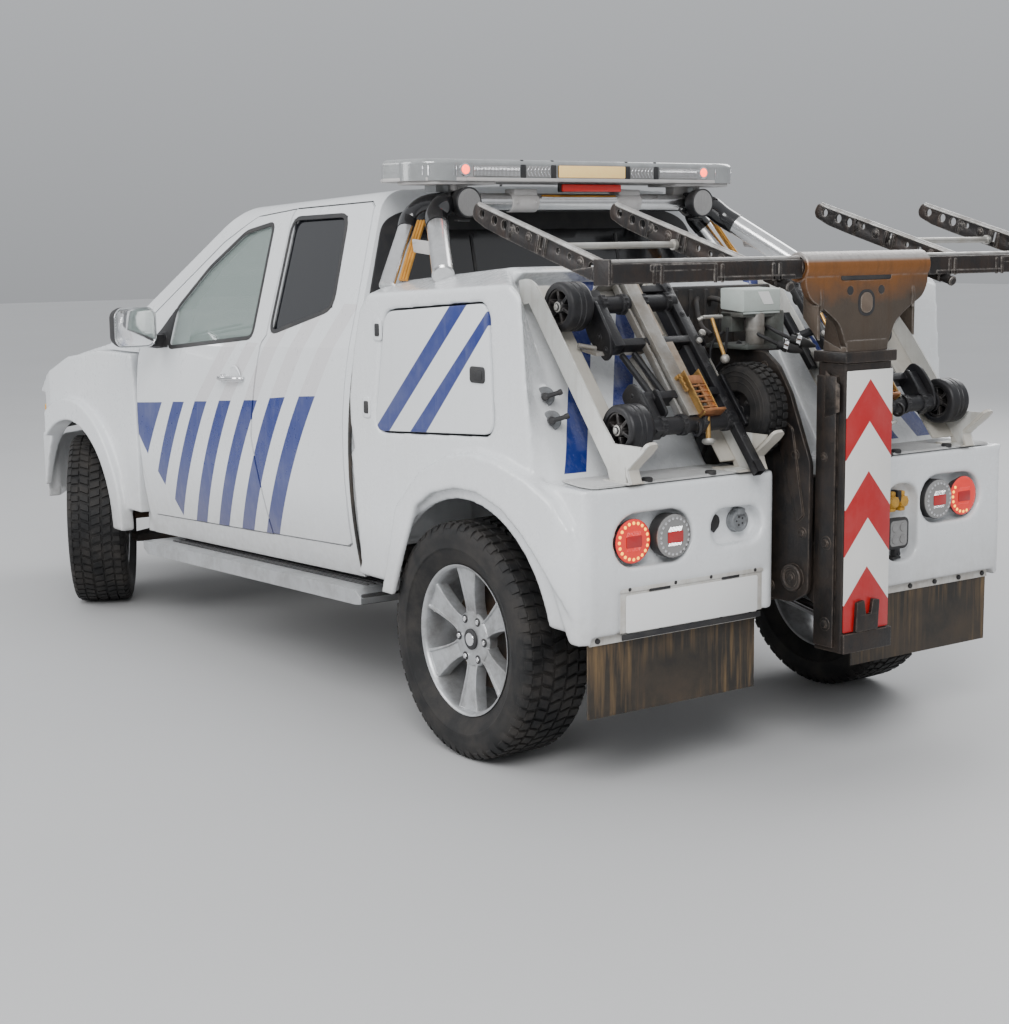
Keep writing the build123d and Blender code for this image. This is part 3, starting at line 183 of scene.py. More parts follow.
def surface(name, base, rough=0.5, metal=0.0, coat=0.0, var=0.06, var_scale=2.5,
            grain=(300.0, 0.0003), bevel=0.0, grime=None, low=None, edge=None,
            rough_var=0.12, paint=None, sheen=0.0, streak=None, spec=0.5,
            brushed=None, finish=None):
    """A worn real surface.

    grime (colour, amount, scale): blotches; low (colour, amount, z0, z1): dirt
    that thickens below z1; edge (colour, amount): colour on edges and corners,
    from the bevel normal: a lighter one is painted edge highlight together with
    rubbed wear, a darker one darkens edges and corners;
    streak (colour, amount): dirt that has run down; paint: list of
    (colour, [polygons], u, v) painted areas; brushed: stretch of fine lines.
    """
    g = Graph(name)
    n1 = g.noise(var_scale, 5.0)
    n2 = g.noise(38.0, 5.0, 0.65)
    col = g.mix(g.ramp(n1, 0.3, 0.7), tone(base, 1 - var), tone(base, 1 + var))
    r = g.math('MULTIPLY_ADD', n2, rough_var, rough - rough_var / 2)
    if paint:
        for colour, polys, u, v in paint:
            mask = either(g, [g.polygon(p, u, v) for p in polys])
            tint = g.mix(g.ramp(n1, 0.3, 0.7), tone(colour, 1 - var),
                         tone(colour, 1 + var))
            col = g.mix(mask, col, tint)
    if finish:
        col = finish(g, col)
    if grime:
        c, amt, sc = grime
        n3 = g.noise(sc, 6.0, 0.7)
        m = g.math('MULTIPLY', g.ramp(n3, 0.42, 0.68), amt)
        col = g.mix(m, col, c)
        r = g.math('ADD', r, g.math('MULTIPLY', m, 0.25), clamp=True)
    if streak:
        c, amt = streak
        n4 = g.noise(9.0, 5.0, 0.6, stretch=(6.0, 6.0, 0.35))
        m = g.math('MULTIPLY', g.ramp(n4, 0.5, 0.78), amt)
        col = g.mix(m, col, c)
    if low:
        c, amt, z0, z1 = low
        h = g.ramp(g.axis(2), z1, z0)
        m = g.math('MULTIPLY', h, g.math('MULTIPLY_ADD', n2, 0.9, 0.25))
        m = g.math('MULTIPLY', m, amt, clamp=True)
        col = g.mix(m, col, c)
        r = g.math('ADD', r, g.math('MULTIPLY', m, 0.35), clamp=True)
    soft = None
    if bevel:
        b = g.node("ShaderNodeBevel", samples=4)
        b.inputs["Radius"].default_value = bevel
        soft = b.outputs[0]
    # edge colour from the bevel normal; a lighter colour here is painted edge highlight
    # along with rubbed wear
    if edge:
        c, amt = edge
        wide = g.node("ShaderNodeBevel", samples=4)
        wide.inputs["Radius"].default_value = 0.006
        geo = g.node("ShaderNodeNewGeometry")
        d = g.node("ShaderNodeVectorMath", operation='DOT_PRODUCT')
        g.put(d.inputs[0], wide.outputs[0])
        g.put(d.inputs[1], geo.outputs["Normal"])
        m = g.ramp(d.outputs["Value"], 0.995, 0.86)
        m = g.math('MULTIPLY', m, g.ramp(n2, 0.36, 0.6))
        m = g.math('MULTIPLY', m, amt, clamp=True)
        col = g.mix(m, col, c)
    g.put(g.out.inputs["Base Color"], col)
    g.put(g.out.inputs["Roughness"], r)
    g.out.inputs["Metallic"].default_value = metal
    g.out.inputs["Specular IOR Level"].default_value = spec
    if coat:
        g.out.inputs["Coat Weight"].default_value = coat
        g.out.inputs["Coat Roughness"].default_value = 0.06
    if sheen:
        g.out.inputs["Sheen Weight"].default_value = sheen
    bump = g.node("ShaderNodeBump")
    bump.inputs["Strength"].default_value = 1.0
    bump.inputs["Distance"].default_value = grain[1]
    if brushed:
        fine = g.noise(grain[0], 2.0, 0.5, stretch=brushed)
    else:
        fine = g.noise(grain[0], 3.0, 0.5)
    g.put(bump.inputs["Height"], fine)
    if soft is not None:
        g.put(bump.inputs["Normal"], soft)
    g.put(g.out.inputs["Normal"], bump.outputs[0])
    return g.mat


def glass(name, tint, alpha, rough=0.03, dark=0.0):
    g = Graph(name)
    n = g.noise(5.0, 4.0)
    g.put(g.out.inputs["Base Color"], g.mix(n, tone(tint, 0.9), tint))
    g.put(g.out.inputs["Roughness"],
          g.math('MULTIPLY_ADD', g.noise(20.0), 0.05, rough))
    g.out.inputs["Alpha"].default_value = alpha
    g.out.inputs["Specular IOR Level"].default_value = 0.8
    return g.mat


WHITE = (0.79, 0.81, 0.825)
BLUE = (0.006, 0.024, 0.19)
DIRT = (0.20, 0.17, 0.14)


def X(x):
    return x + RA


def shift(polys):
    return [[(X(x), z) for x, z in p] for p in polys]


STRIPES = shift([
    [(2.521, .963), (2.162, .989), (2.312, .762)],
    [(2.057, .998), (1.954, 1.005), (2.172, .645), (2.229, .698)],
    [(1.857, 1.014), (1.75, 1.021), (2.043, .532), (2.1, .594)],
    [(1.644, 1.031), (1.544, 1.038), (1.832, .524), (1.932, .516)],
    [(1.436, 1.047), (1.329, 1.054), (1.638, .533), (1.729, .527)],
    [(1.232, 1.068), (1.117, 1.08), (1.427, .545), (1.527, .541)],
    [(1.013, 1.089), (.897, 1.098), (1.223, .556), (1.325, .554)]])
# faint stripes that carry on above the blue ones
PALE = shift([
    [(1.857 - .0, 1.014), (1.75, 1.021), (1.53, 1.262), (1.64, 1.262)],
    [(1.644, 1.031), (1.544, 1.038), (1.37, 1.262), (1.46, 1.262)],
    [(1.436, 1.047), (1.329, 1.054), (1.12, 1.42), (1.22, 1.42)],
    [(1.232, 1.068), (1.117, 1.08), (0.93, 1.42), (1.03, 1.42)],
    [(1.013, 1.089), (.897, 1.098), (0.72, 1.42), (0.82, 1.42)]])
LOCKER_STRIPES = shift([
    [(.019, 1.444), (-.075, 1.45), (.404, 1.01), (.496, 1.009)],
    [(-.188, 1.438), (-.19, 1.393), (.183, 1.022), (.278, 1.017)]])

MAT = {}
MAT["paint"] = surface(
    "paint_white", WHITE, 0.28, coat=0.6, var=0.015, bevel=0.004,
    grain=(6.0, 0.0006), rough_var=0.1, low=(DIRT, 0.55, 0.42, 0.78),
    streak=((0.5, 0.49, 0.46), 0.10), grime=((0.62, 0.61, 0.59), 0.10, 4.0))
MAT["paint_stripes"] = surface(
    "paint_white_stripes", WHITE, 0.28, coat=0.6, var=0.015, bevel=0.003,
    grain=(6.0, 0.0006), rough_var=0.1, low=(DIRT, 0.55, 0.42, 0.78),
    streak=((0.5, 0.49, 0.46), 0.08), grime=((0.62, 0.61, 0.59), 0.10, 4.0),
    paint=[((0.70, 0.69, 0.70), PALE, 0, 2), (BLUE, STRIPES, 0, 2)])
MAT["body"] = surface(
    "gelcoat_white", WHITE, 0.30, coat=0.5, var=0.015, bevel=0.010,
    grain=(5.0, 0.0009), rough_var=0.1, low=(DIRT, 0.5, 0.45, 0.75),
    streak=((0.5, 0.49, 0.46), 0.10), grime=((0.6, 0.59, 0.57), 0.12, 5.0))
MAT["locker"] = surface(
    "gelcoat_white_stripes", WHITE, 0.30, coat=0.5, var=0.015, bevel=0.006,
    grain=(5.0, 0.0009), rough_var=0.1, streak=((0.5, 0.49, 0.46), 0.08),
    grime=((0.6, 0.59, 0.57), 0.1, 5.0),
    paint=[(BLUE, LOCKER_STRIPES, 0, 2)])
MAT["black"] = surface(
    "black_plastic", (0.018, 0.018, 0.02), 0.5, var=0.2, grain=(900.0, 0.0003),
    bevel=0.002, grime=((0.06, 0.055, 0.05), 0.5, 12.0))
MAT["black_gloss"] = surface(
    "black_gloss", (0.008, 0.008, 0.009), 0.15, var=0.2, coat=0.5,
    grain=(200.0, 0.0001))
MAT["grey"] = surface(
    "grey_plastic", (0.20, 0.21, 0.22), 0.45, var=0.1, grain=(500.0, 0.0002),
    bevel=0.003, grime=((0.06, 0.055, 0.05), 0.7, 14.0))
MAT["glass_front"] = glass("glass_front", (0.34, 0.42, 0.39), 0.42)
MAT["glass_dark"] = glass("glass_dark", (0.012, 0.013, 0.016), 0.93)
MAT["frame"] = surface(
    "frame_black", (0.02, 0.02, 0.02), 0.55, var=0.3, grain=(160.0, 0.0006),
    bevel=0.003, grime=((0.10, 0.075, 0.055), 0.8, 7.0))
MAT["cast"] = surface(
    "cast_dark", (0.06, 0.052, 0.047), 0.75, var=0.3, grain=(220.0, 0.0012),
    metal=0.3, bevel=0.004, grime=((0.13, 0.07, 0.035), 0.8, 9.0))
MAT["steel_grey"] = surface(
    "steel_grey", (0.26, 0.24, 0.22), 0.5, metal=0.8, var=0.2, bevel=0.003,
    grain=(150.0, 0.0005), grime=((0.12, 0.06, 0.03), 0.7, 8.0))
MAT["alloy"] = surface(
    "alloy", (0.58, 0.59, 0.60), 0.34, metal=0.85, var=0.06, bevel=0.003,
    grain=(500.0, 0.0002), grime=((0.16, 0.14, 0.12), 0.35, 9.0))
MAT["rim"] = surface(
    "rim_silver", (0.50, 0.51, 0.52), 0.36, metal=0.75, var=0.06, coat=0.3,
    grain=(400.0, 0.0002), grime=((0.10, 0.085, 0.07), 0.55, 11.0),
    bevel=0.003)
MAT["polished"] = surface(
    "polished_steel", (0.72, 0.72, 0.72), 0.16, metal=1.0, var=0.05,
    grain=(250.0, 0.0001), brushed=(1.0, 8.0, 1.0),
    grime=((0.25, 0.23, 0.2), 0.2, 12.0))
MAT["chrome"] = surface(
    "chrome", (0.82, 0.82, 0.83), 0.08, metal=1.0, var=0.03,
    grain=(80.0, 0.00008))
# lighter edges: painted edge highlight together with rubbed bare steel
MAT["worn_steel"] = surface(
    "worn_steel", (0.13, 0.105, 0.09), 0.52, metal=0.65, var=0.35,
    var_scale=7.0, grain=(120.0, 0.0012), bevel=0.003,
    grime=((0.15, 0.062, 0.028), 0.75, 10.0), edge=((0.46, 0.42, 0.38), 0.9))
# lighter edges: painted edge highlight together with paint rubbed through
MAT["dark_paint"] = surface(
    "dark_paint", (0.022, 0.021, 0.021), 0.45, var=0.3, var_scale=8.0,
    grain=(140.0, 0.0007), bevel=0.0025, edge=((0.30, 0.24, 0.2), 0.7),
    grime=((0.11, 0.07, 0.045), 0.65, 12.0))
MAT["tyre"] = surface(
    "tyre_rubber", (0.012, 0.012, 0.0125), 0.62, var=0.3, var_scale=9.0,
    grain=(420.0, 0.0005), bevel=0.002, spec=0.35,
    grime=((0.055, 0.048, 0.042), 0.65, 9.0))
MAT["rubber"] = surface(
    "rubber", (0.016, 0.015, 0.015), 0.6, var=0.25, grain=(380.0, 0.0005),
    bevel=0.002, grime=((0.08, 0.06, 0.045), 0.6, 14.0))
MAT["red_lens"] = surface(
    "red_lens", (0.50, 0.012, 0.012), 0.12, coat=0.8, var=0.1,
    grain=(400.0, 0.0003))
MAT["clear_lens"] = surface(
    "clear_lens", (0.27, 0.265, 0.26), 0.12, metal=0.2, coat=0.8, var=0.2,
    grain=(260.0, 0.0006))
MAT["amber_lens"] = surface(
    "amber_lens", (0.85, 0.42, 0.06), 0.14, coat=0.8, var=0.08,
    grain=(260.0, 0.0004))
MAT["seat"] = surface(
    "seat_cloth", (0.10, 0.10, 0.105), 0.85, var=0.15, sheen=0.4,
    grain=(900.0, 0.0009), rough_var=0.05)
MAT["dash"] = surface(
    "dash_plastic", (0.045, 0.045, 0.05), 0.6, var=0.1, grain=(800.0, 0.0003),
    bevel=0.01)
MAT["rail_white"] = surface(
    "rail_white", (0.70, 0.70, 0.67), 0.38, coat=0.2, var=0.06, var_scale=6.0,
    grain=(90.0, 0.0004), bevel=0.003, edge=((0.14, 0.10, 0.075), 0.5),
    grime=((0.42, 0.38, 0.32), 0.35, 8.0), streak=((0.3, 0.25, 0.2), 0.25))


def glow(name, base, colour, strength):
    g = Graph(name)
    n = g.noise(60.0, 3.0)
    g.put(g.out.inputs["Base Color"], g.mix(n, base, tone(base, 1.3)))
    g.put(g.out.inputs["Roughness"], g.math('MULTIPLY_ADD', n, 0.1, 0.15))
    g.out.inputs["Emission Color"].default_value = (*colour, 1.0)
    g.out.inputs["Emission Strength"].default_value = strength
    return g.mat


MAT["lit_red"] = glow("lit_red", (0.6, 0.02, 0.02), (1.0, 0.06, 0.04), 3.0)
MAT["lit_beacon"] = glow("lit_beacon", (0.7, 0.05, 0.03), (1.0, 0.10, 0.05), 5.0)
MAT["lit_orange"] = glow("lit_orange", (0.8, 0.25, 0.02), (1.0, 0.35, 0.05), 1.2)


# ---------------------------------------------------------- mesh building
class Piece:
    """Collects shapes in one mesh that rides on one body."""

    def __init__(self, name, body, mat, stands_for=(), slot=None):
        self.name, self.body, self.mat = name, body, mat
        self.stands_for, self.slot = stands_for, slot
        self.bm = bmesh.new()

    def take(self, bm, m=None):
        if m is not None:
            bmesh.ops.transform(bm, matrix=m, verts=bm.verts)
        me = bpy.data.meshes.new("t")
        bm.to_mesh(me)
        bm.free()
        self.bm.from_mesh(me)
        bpy.data.meshes.remove(me)
        return self

    def box(self, centre, size, r=0.0, rot=None, seg=2):
        bm = bmesh.new()
        bmesh.ops.create_cube(bm, size=1.0)
        bmesh.ops.scale(bm, vec=size, verts=bm.verts)
        if r:
            bmesh.ops.bevel(bm, geom=bm.edges[:], offset=r, segments=seg,
                            profile=0.5, affect='EDGES')
        m = Matrix.Translation(centre)
        if rot is not None:
            m = m @ rot
        return self.take(bm, m)

    def plate(self, pts, kind, a, b, r=0.0, holes=(), seg=2):
        """Outline extruded from a to b.  kind side: (x, z) along y; cross:
        (y, z) along x; plan: (x, y) along z."""
        bm = bmesh.new()

        def at(p, q):
            if kind == "side":
                return (p[0], q, p[1])
            if kind == "cross":
                return (q, p[0], p[1])
            return (p[0], p[1], q)
        loops = []
        for ring in (list(pts),) + tuple(holes):
            vs = [bm.verts.new(at(p, a)) for p in ring]
            loops.append(vs)
            for i in range(len(vs)):
                bm.edges.new((vs[i], vs[(i + 1) % len(vs)]))
        bmesh.ops.triangle_fill(bm, edges=bm.edges[:], use_beauty=True,
                                use_dissolve=True)
        geo = bmesh.ops.extrude_face_region(bm, geom=bm.faces[:])
        vs = [v for v in geo["geom"] if isinstance(v, bmesh.types.BMVert)]
        off = Vector(at((0, 0), b)) - Vector(at((0, 0), a))
        bmesh.ops.translate(bm, vec=off, verts=vs)
        bmesh.ops.recalc_face_normals(bm, faces=bm.faces[:])
        bmesh.ops.dissolve_limit(bm, angle_limit=0.01, verts=bm.verts[:],
                                 edges=bm.edges[:])
        if r:
            es = [e for e in bm.edges if len(e.link_faces) == 2
                  and e.calc_face_angle(0) > 0.6]
            bmesh.ops.bevel(bm, geom=es, offset=r, segments=seg, profile=0.5,
                            affect='EDGES', clamp_overlap=True)
        return self.take(bm)

    def lathe(self, rows, centre, axis=(0, 1, 0), seg=48, close=False,
              start=0.0):
        """Rows (distance along the axis, radius) turned about it."""
        bm = bmesh.new()
        ax = Vector(axis).normalized()
        q = Vector((0, 0, 1)).rotation_difference(ax)
        rings = []
        for h, rad in rows:
            if rad <= 1e-6:
                rings.append([bm.verts.new((0, 0, h))])
                continue
            rings.append([bm.verts.new((rad * math.cos(start + 2 * math.pi * i / seg),
                                        rad * math.sin(start + 2 * math.pi * i / seg), h))
                          for i in range(seg)])
        pairs = list(zip(rings, rings[1:]))
        if close:
            pairs.append((rings[-1], rings[0]))
        for lo, hi in pairs:
            for i in range(seg):
                j = (i + 1) % seg
                if len(lo) == 1 and len(hi) == 1:
                    break
                if len(lo) == 1:
                    bm.faces.new((lo[0], hi[j], hi[i]))
                elif len(hi) == 1:
                    bm.faces.new((lo[i], lo[j], hi[0]))
                else:
                    bm.faces.new((lo[i], lo[j], hi[j], hi[i]))
        bmesh.ops.recalc_face_normals(bm, faces=bm.faces[:])
        return self.take(bm, Matrix.Translation(centre) @ q.to_matrix().to_4x4())

    def rod(self, p, q, r, seg=24, ch=None, r2=None):
        """Round bar from p to q with a chamfer at both ends."""
        p, q = Vector(p), Vector(q)
        d = q - p
        ln = d.length
        ch = min(r * 0.15, ln * 0.3) if ch is None else ch
        r2 = r if r2 is None else r2
        rows = [(0, 0), (0, r - ch), (ch, r), (ln - ch, r2), (ln, r2 - ch), (ln, 0)]
        return self.lathe(rows, p, d, seg)

    def tube(self, pts, r, seg=12, sub=6, closed=False):
        """Round section swept along a smooth line through the points."""
        ps = [Vector(p) for p in pts]
        line = []
        n = len(ps)
        if n == 2:
            line = ps
        else:
            for i in range(n - 1):
                p0 = ps[i - 1] if i else ps[0] * 2 - ps[1]
                p1, p2 = ps[i], ps[i + 1]
                p3 = ps[i + 2] if i + 2 < n else ps[-1] * 2 - ps[-2]
                for k in range(sub):
                    t = k / sub
                    line.append(0.5 * ((2 * p1) + (p2 - p0) * t
                                + (2 * p0 - 5 * p1 + 4 * p2 - p3) * t * t
                                + (3 * p1 - p0 - 3 * p2 + p3) * t ** 3))
            line.append(ps[-1])
        bm = bmesh.new()
        rings = []
        up = Vector((0.13, 0.21, 0.97)).normalized()
        prev = None
        for i, p in enumerate(line):
            d = (line[min(i + 1, len(line) - 1)] - line[max(i - 1, 0)]).normalized()
            if prev is None:
                a = d.cross(up)
                if a.length < 0.1:
                    a = d.cross(Vector((1, 0, 0)))
                a.normalize()
            else:
                a = (prev - d * prev.dot(d)).normalized()
            prev = a
            b = d.cross(a)
            rings.append([bm.verts.new(p + a * r * math.cos(2 * math.pi * k / seg)
                                       + b * r * math.sin(2 * math.pi * k / seg))
                          for k in range(seg)])
        for lo, hi in zip(rings, rings[1:]):
            for i in range(seg):
                j = (i + 1) % seg
                bm.faces.new((lo[i], lo[j], hi[j], hi[i]))
        bm.faces.new(rings[0][::-1])
        bm.faces.new(rings[-1])
        bmesh.ops.recalc_face_normals(bm, faces=bm.faces[:])
        return self.take(bm)

    def bolt(self, p, axis, r=0.008, h=0.006, washer=True):
        """Hexagon head on a washer; p is on the surface."""
        ax = Vector(axis).normalized()
        p = Vector(p)
        if washer:
            self.lathe([(0, 0), (0, r * 1.7), (h * 0.25, r * 1.7),
                        (h * 0.3, r * 1.6), (h * 0.3, 0)], p, ax, 16)
        self.lathe([(0, r), (h * 0.85, r), (h, r * 0.82), (h, 0)],
                   p + ax * h * 0.25, ax, 6)
        return self

    def sheet(self, rows, thick=0.0, smooth=True):
        """Quad grid through rows of points; thick gives it a back."""
        bm = bmesh.new()
        vs = [[bm.verts.new(p) for p in row] for row in rows]
        for i in range(len(vs) - 1):
            for j in range(len(vs[0]) - 1):
                bm.faces.new((vs[i][j], vs[i + 1][j], vs[i + 1][j + 1],
                              vs[i][j + 1]))
        if thick:
            bmesh.ops.recalc_face_normals(bm, faces=bm.faces[:])
            bmesh.ops.solidify(bm, geom=bm.faces[:], thickness=thick)
            bmesh.ops.recalc_face_normals(bm, faces=bm.faces[:])
        return self.take(bm)

    def mirrored(self):
        """Adds the mirror image in the XZ plane."""
        me = bpy.data.meshes.new("t")
        self.bm.to_mesh(me)
        bm = bmesh.new()
        bm.from_mesh(me)
        bpy.data.meshes.remove(me)
        bmesh.ops.transform(bm, matrix=Matrix.Scale(-1, 4, (0, 1, 0)),
                            verts=bm.verts)
        bmesh.ops.reverse_faces(bm, faces=bm.faces[:])
        return self.take(bm)

    def done(self, angle=32.0, sub=0, turn=None):
        me = bpy.data.meshes.new(self.name)
        if turn is not None:
            bmesh.ops.transform(self.bm, matrix=turn, verts=self.bm.verts)
        self.bm.to_mesh(me)
        self.bm.free()
        o = bpy.data.objects.new(self.name, me)
        bpy.context.collection.objects.link(o)
        me.materials.append(self.mat)
        for p in me.polygons:
            p.use_smooth = True
        me.set_sharp_from_angle(angle=math.radians(angle))
        if sub:
            m = o.modifiers.new("s", 'SUBSURF')
            m.levels = m.render_levels = sub
        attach(o, self.body)
        if self.stands_for:
            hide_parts(*self.stands_for)
        return o


def ring(cx, cy, r, n=24, a0=0.0):
    return [(cx + r * math.cos(a0 + 2 * math.pi * i / n),
             cy + r * math.sin(a0 + 2 * math.pi * i / n)) for i in range(n)]


def slot_ring(cx, cy, w, h, r=None, n=8):
    """Rounded rectangle, w by h."""
    r = min(w, h) / 2 - 1e-4 if r is None else r
    out = []
    for sx, sy, a in ((1, 1, 0), (-1, 1, 90), (-1, -1, 180), (1, -1, 270)):
        for i in range(n + 1):
            t = math.radians(a + 90 * i / n)
            out.append((cx + sx * (w / 2 - r) + r * math.cos(t),
                        cy + sy * (h / 2 - r) + r * math.sin(t)))
    return out


def rounded(pts, r, n=5):
    """Closed outline with its corners rounded."""
    out = []
    m = len(pts)
    for i in range(m):
        p = Vector(pts[i])
        a, b = Vector(pts[i - 1]), Vector(pts[(i + 1) % m])
        u, v = (a - p), (b - p)
        k = min(r, u.length * 0.45, v.length * 0.45)
        s, e = p + u.normalized() * k, p + v.normalized() * k
        for j in range(n + 1):
            t = j / n
            q = s * (1 - t) ** 2 + p * 2 * t * (1 - t) + e * t * t
            out.append((q.x, q.y))
    return out


def dress(name, mat):
    """Gives a CAD node its finish."""
    o = NODES[name]
    o.data.materials.clear()
    o.data.materials.append(mat)
    return o


def refine(name, mat, width, seg=3, angle=28.0):
    """A piece that stands for a CAD node, with its sharp edges rounded."""
    src = NODES[name]
    bm = bmesh.new()
    bm.from_mesh(src.data)
    bmesh.ops.remove_doubles(bm, verts=bm.verts[:], dist=0.00002)
    bmesh.ops.dissolve_limit(bm, angle_limit=math.radians(0.6),
                             verts=bm.verts[:], edges=bm.edges[:])
    es = [e for e in bm.edges if len(e.link_faces) == 2
          and e.calc_face_angle(0) > math.radians(angle)]
    bmesh.ops.bevel(bm, geom=es, offset=width, segments=seg, profile=0.5,
                    affect='EDGES', clamp_overlap=True, harden_normals=False)
    p = Piece(name + "_panel", RIDES[name], mat, (name,))
    p.take(bm)
    return p.done(angle=angle)


# ------------------------------------------------- finishes of the CAD nodes
FINISH = {
    "paint": ["cab_shell", "front_bumper", "bonnet", "front_wings"],
    "paint_stripes": ["front_door_left", "front_door_right",
                      "rear_door_left", "rear_door_right"],
    "body": ["rear_body", "channel_floor", "rear_bumpers"],
    "locker": ["locker_door_left", "locker_door_right"],
    "glass_front": ["front_door_glass_left", "front_door_glass_right",
                    "cab_glass"],
    "glass_dark": ["rear_door_glass_left", "rear_door_glass_right"],
    "black": ["grille", "fuel_tank"],
    "clear_lens": ["headlamps", "light_bar"],
    "red_lens": ["rear_lamps"],
    "frame": ["chassis_frame"],
    "cast": ["engine_block", "rear_axle", "propshaft", "front_suspension",
             "knuckle_left", "knuckle_right"],
    "steel_grey": ["exhaust"],
    "dash": ["dashboard"], "seat": ["seats"],
    "alloy": ["deck_plates", "running_boards"],
    "rubber": ["mudflaps", "dolly_wheel_upper_left", "dolly_wheel_lower_left",
               "dolly_wheel_upper_right", "dolly_wheel_lower_right",
               "spare_dolly_tyre"],
    "polished": ["sports_bar"],
    "rail_white": ["dolly_rails"],
    "dark_paint": ["dolly_frames", "boom_mount", "tilt_barrel", "boom_outer",
                   "boom_inner"],
    "grey": ["pump_box"],
    "worn_steel": ["wheel_cradle"],
    "chrome": ["tilt_rod"],
    "tyre": ["tyre_rear_left", "tyre_rear_right", "tyre_front_left",
             "tyre_front_right"],
    "rim": ["rim_rear_left", "rim_rear_right", "rim_front_left",
            "rim_front_right"],
}
for key, names in FINISH.items():
    for n in names:
        if n in NODES:
            dress(n, MAT[key])


# ------------------------------------------------------- floor and lights
def studio():
    me = bpy.data.meshes.new("floor")
    me.from_pydata([(-40, -40, 0), (40, -40, 0), (40, 40, 0), (-40, 40, 0)], [],
                   [(0, 1, 2, 3)])
    o = bpy.data.objects.new("floor", me)
    bpy.context.collection.objects.link(o)
    g = Graph("floor")
    n = g.noise(0.6, 5.0)
    g.put(g.out.inputs["Base Color"], g.mix(n, (0.50, 0.50, 0.50),
                                            (0.55, 0.55, 0.55)))
    g.out.inputs["Roughness"].default_value = 0.65
    me.materials.append(g.mat)
    w = bpy.data.worlds.new("studio")
    bpy.context.scene.world = w
    w.use_nodes = True
    nt = w.node_tree
    bg = nt.nodes["Background"]
    tc = nt.nodes.new("ShaderNodeTexCoord")
    sp = nt.nodes.new("ShaderNodeSeparateXYZ")
    mr = nt.nodes.new("ShaderNodeMapRange")
    mx = nt.nodes.new("ShaderNodeMix")
    mx.data_type = 'RGBA'
    nt.links.new(tc.outputs["Generated"], sp.inputs[0])
    nt.links.new(sp.outputs[2], mr.inputs["Value"])
    mr.inputs["From Min"].default_value = -0.05
    mr.inputs["From Max"].default_value = 0.55
    nt.links.new(mr.outputs[0], mx.inputs["Factor"])
    mx.inputs[6].default_value = (0.36, 0.37, 0.385, 1.0)
    mx.inputs[7].default_value = (0.86, 0.88, 0.91, 1.0)
    nt.links.new(mx.outputs[2], bg.inputs["Color"])
    bg.inputs["Strength"].default_value = 1.05
    for name, loc, size, power, aim in (
            ("key", (-7.5, 5.5, 6.5), 5.0, 640.0, (-1.0, 0.0, 0.8)),
            ("fill", (3.0, 8.5, 4.5), 6.0, 400.0, (0.0, 0.0, 0.8)),
            ("back", (2.0, -8.0, 6.0), 6.0, 400.0, (-0.5, 0.0, 1.0))):
        la = bpy.data.lights.new(name, 'AREA')
        la.shape = 'DISK'
        la.size = size
        la.energy = power
        lo = bpy.data.objects.new(name, la)
        lo.location = loc
        d = Vector(aim) - Vector(loc)
        lo.rotation_euler = d.to_track_quat('-Z', 'Y').to_euler()
        bpy.context.collection.objects.link(lo)


studio()


# ------------------------------------------------------------------ wheels
TYRE_ROWS = [(-.092, .2375), (-.098, .2445), (-.1015, .252), (-.107, .262),
             (-.1145, .275), (-.1205, .288), (-.1235, .295), (-.1262, .297),
             (-.1272, .302), (-.1262, .307), (-.1268, .318), (-.1272, .328),
             (-.1262, .338), (-.1238, .350), (-.1190, .3600), (-.1130, .3660),
             (-.1050, .3700), (-.0900, .3720), (-.0600, .3732), (0, .3736)]
# tread rows: middle, half width, blocks, half angle share, slant, lift
TREAD = [(0.0, .021, 58, .36, .006, .3815), (.047, .019, 58, .38, -.007, .3815),
         (-.047, .019, 58, .38, .007, .3815),
         (.0875, .016, 58, .34, .0, .3805), (-.0875, .016, 58, .34, .0, .3805)]


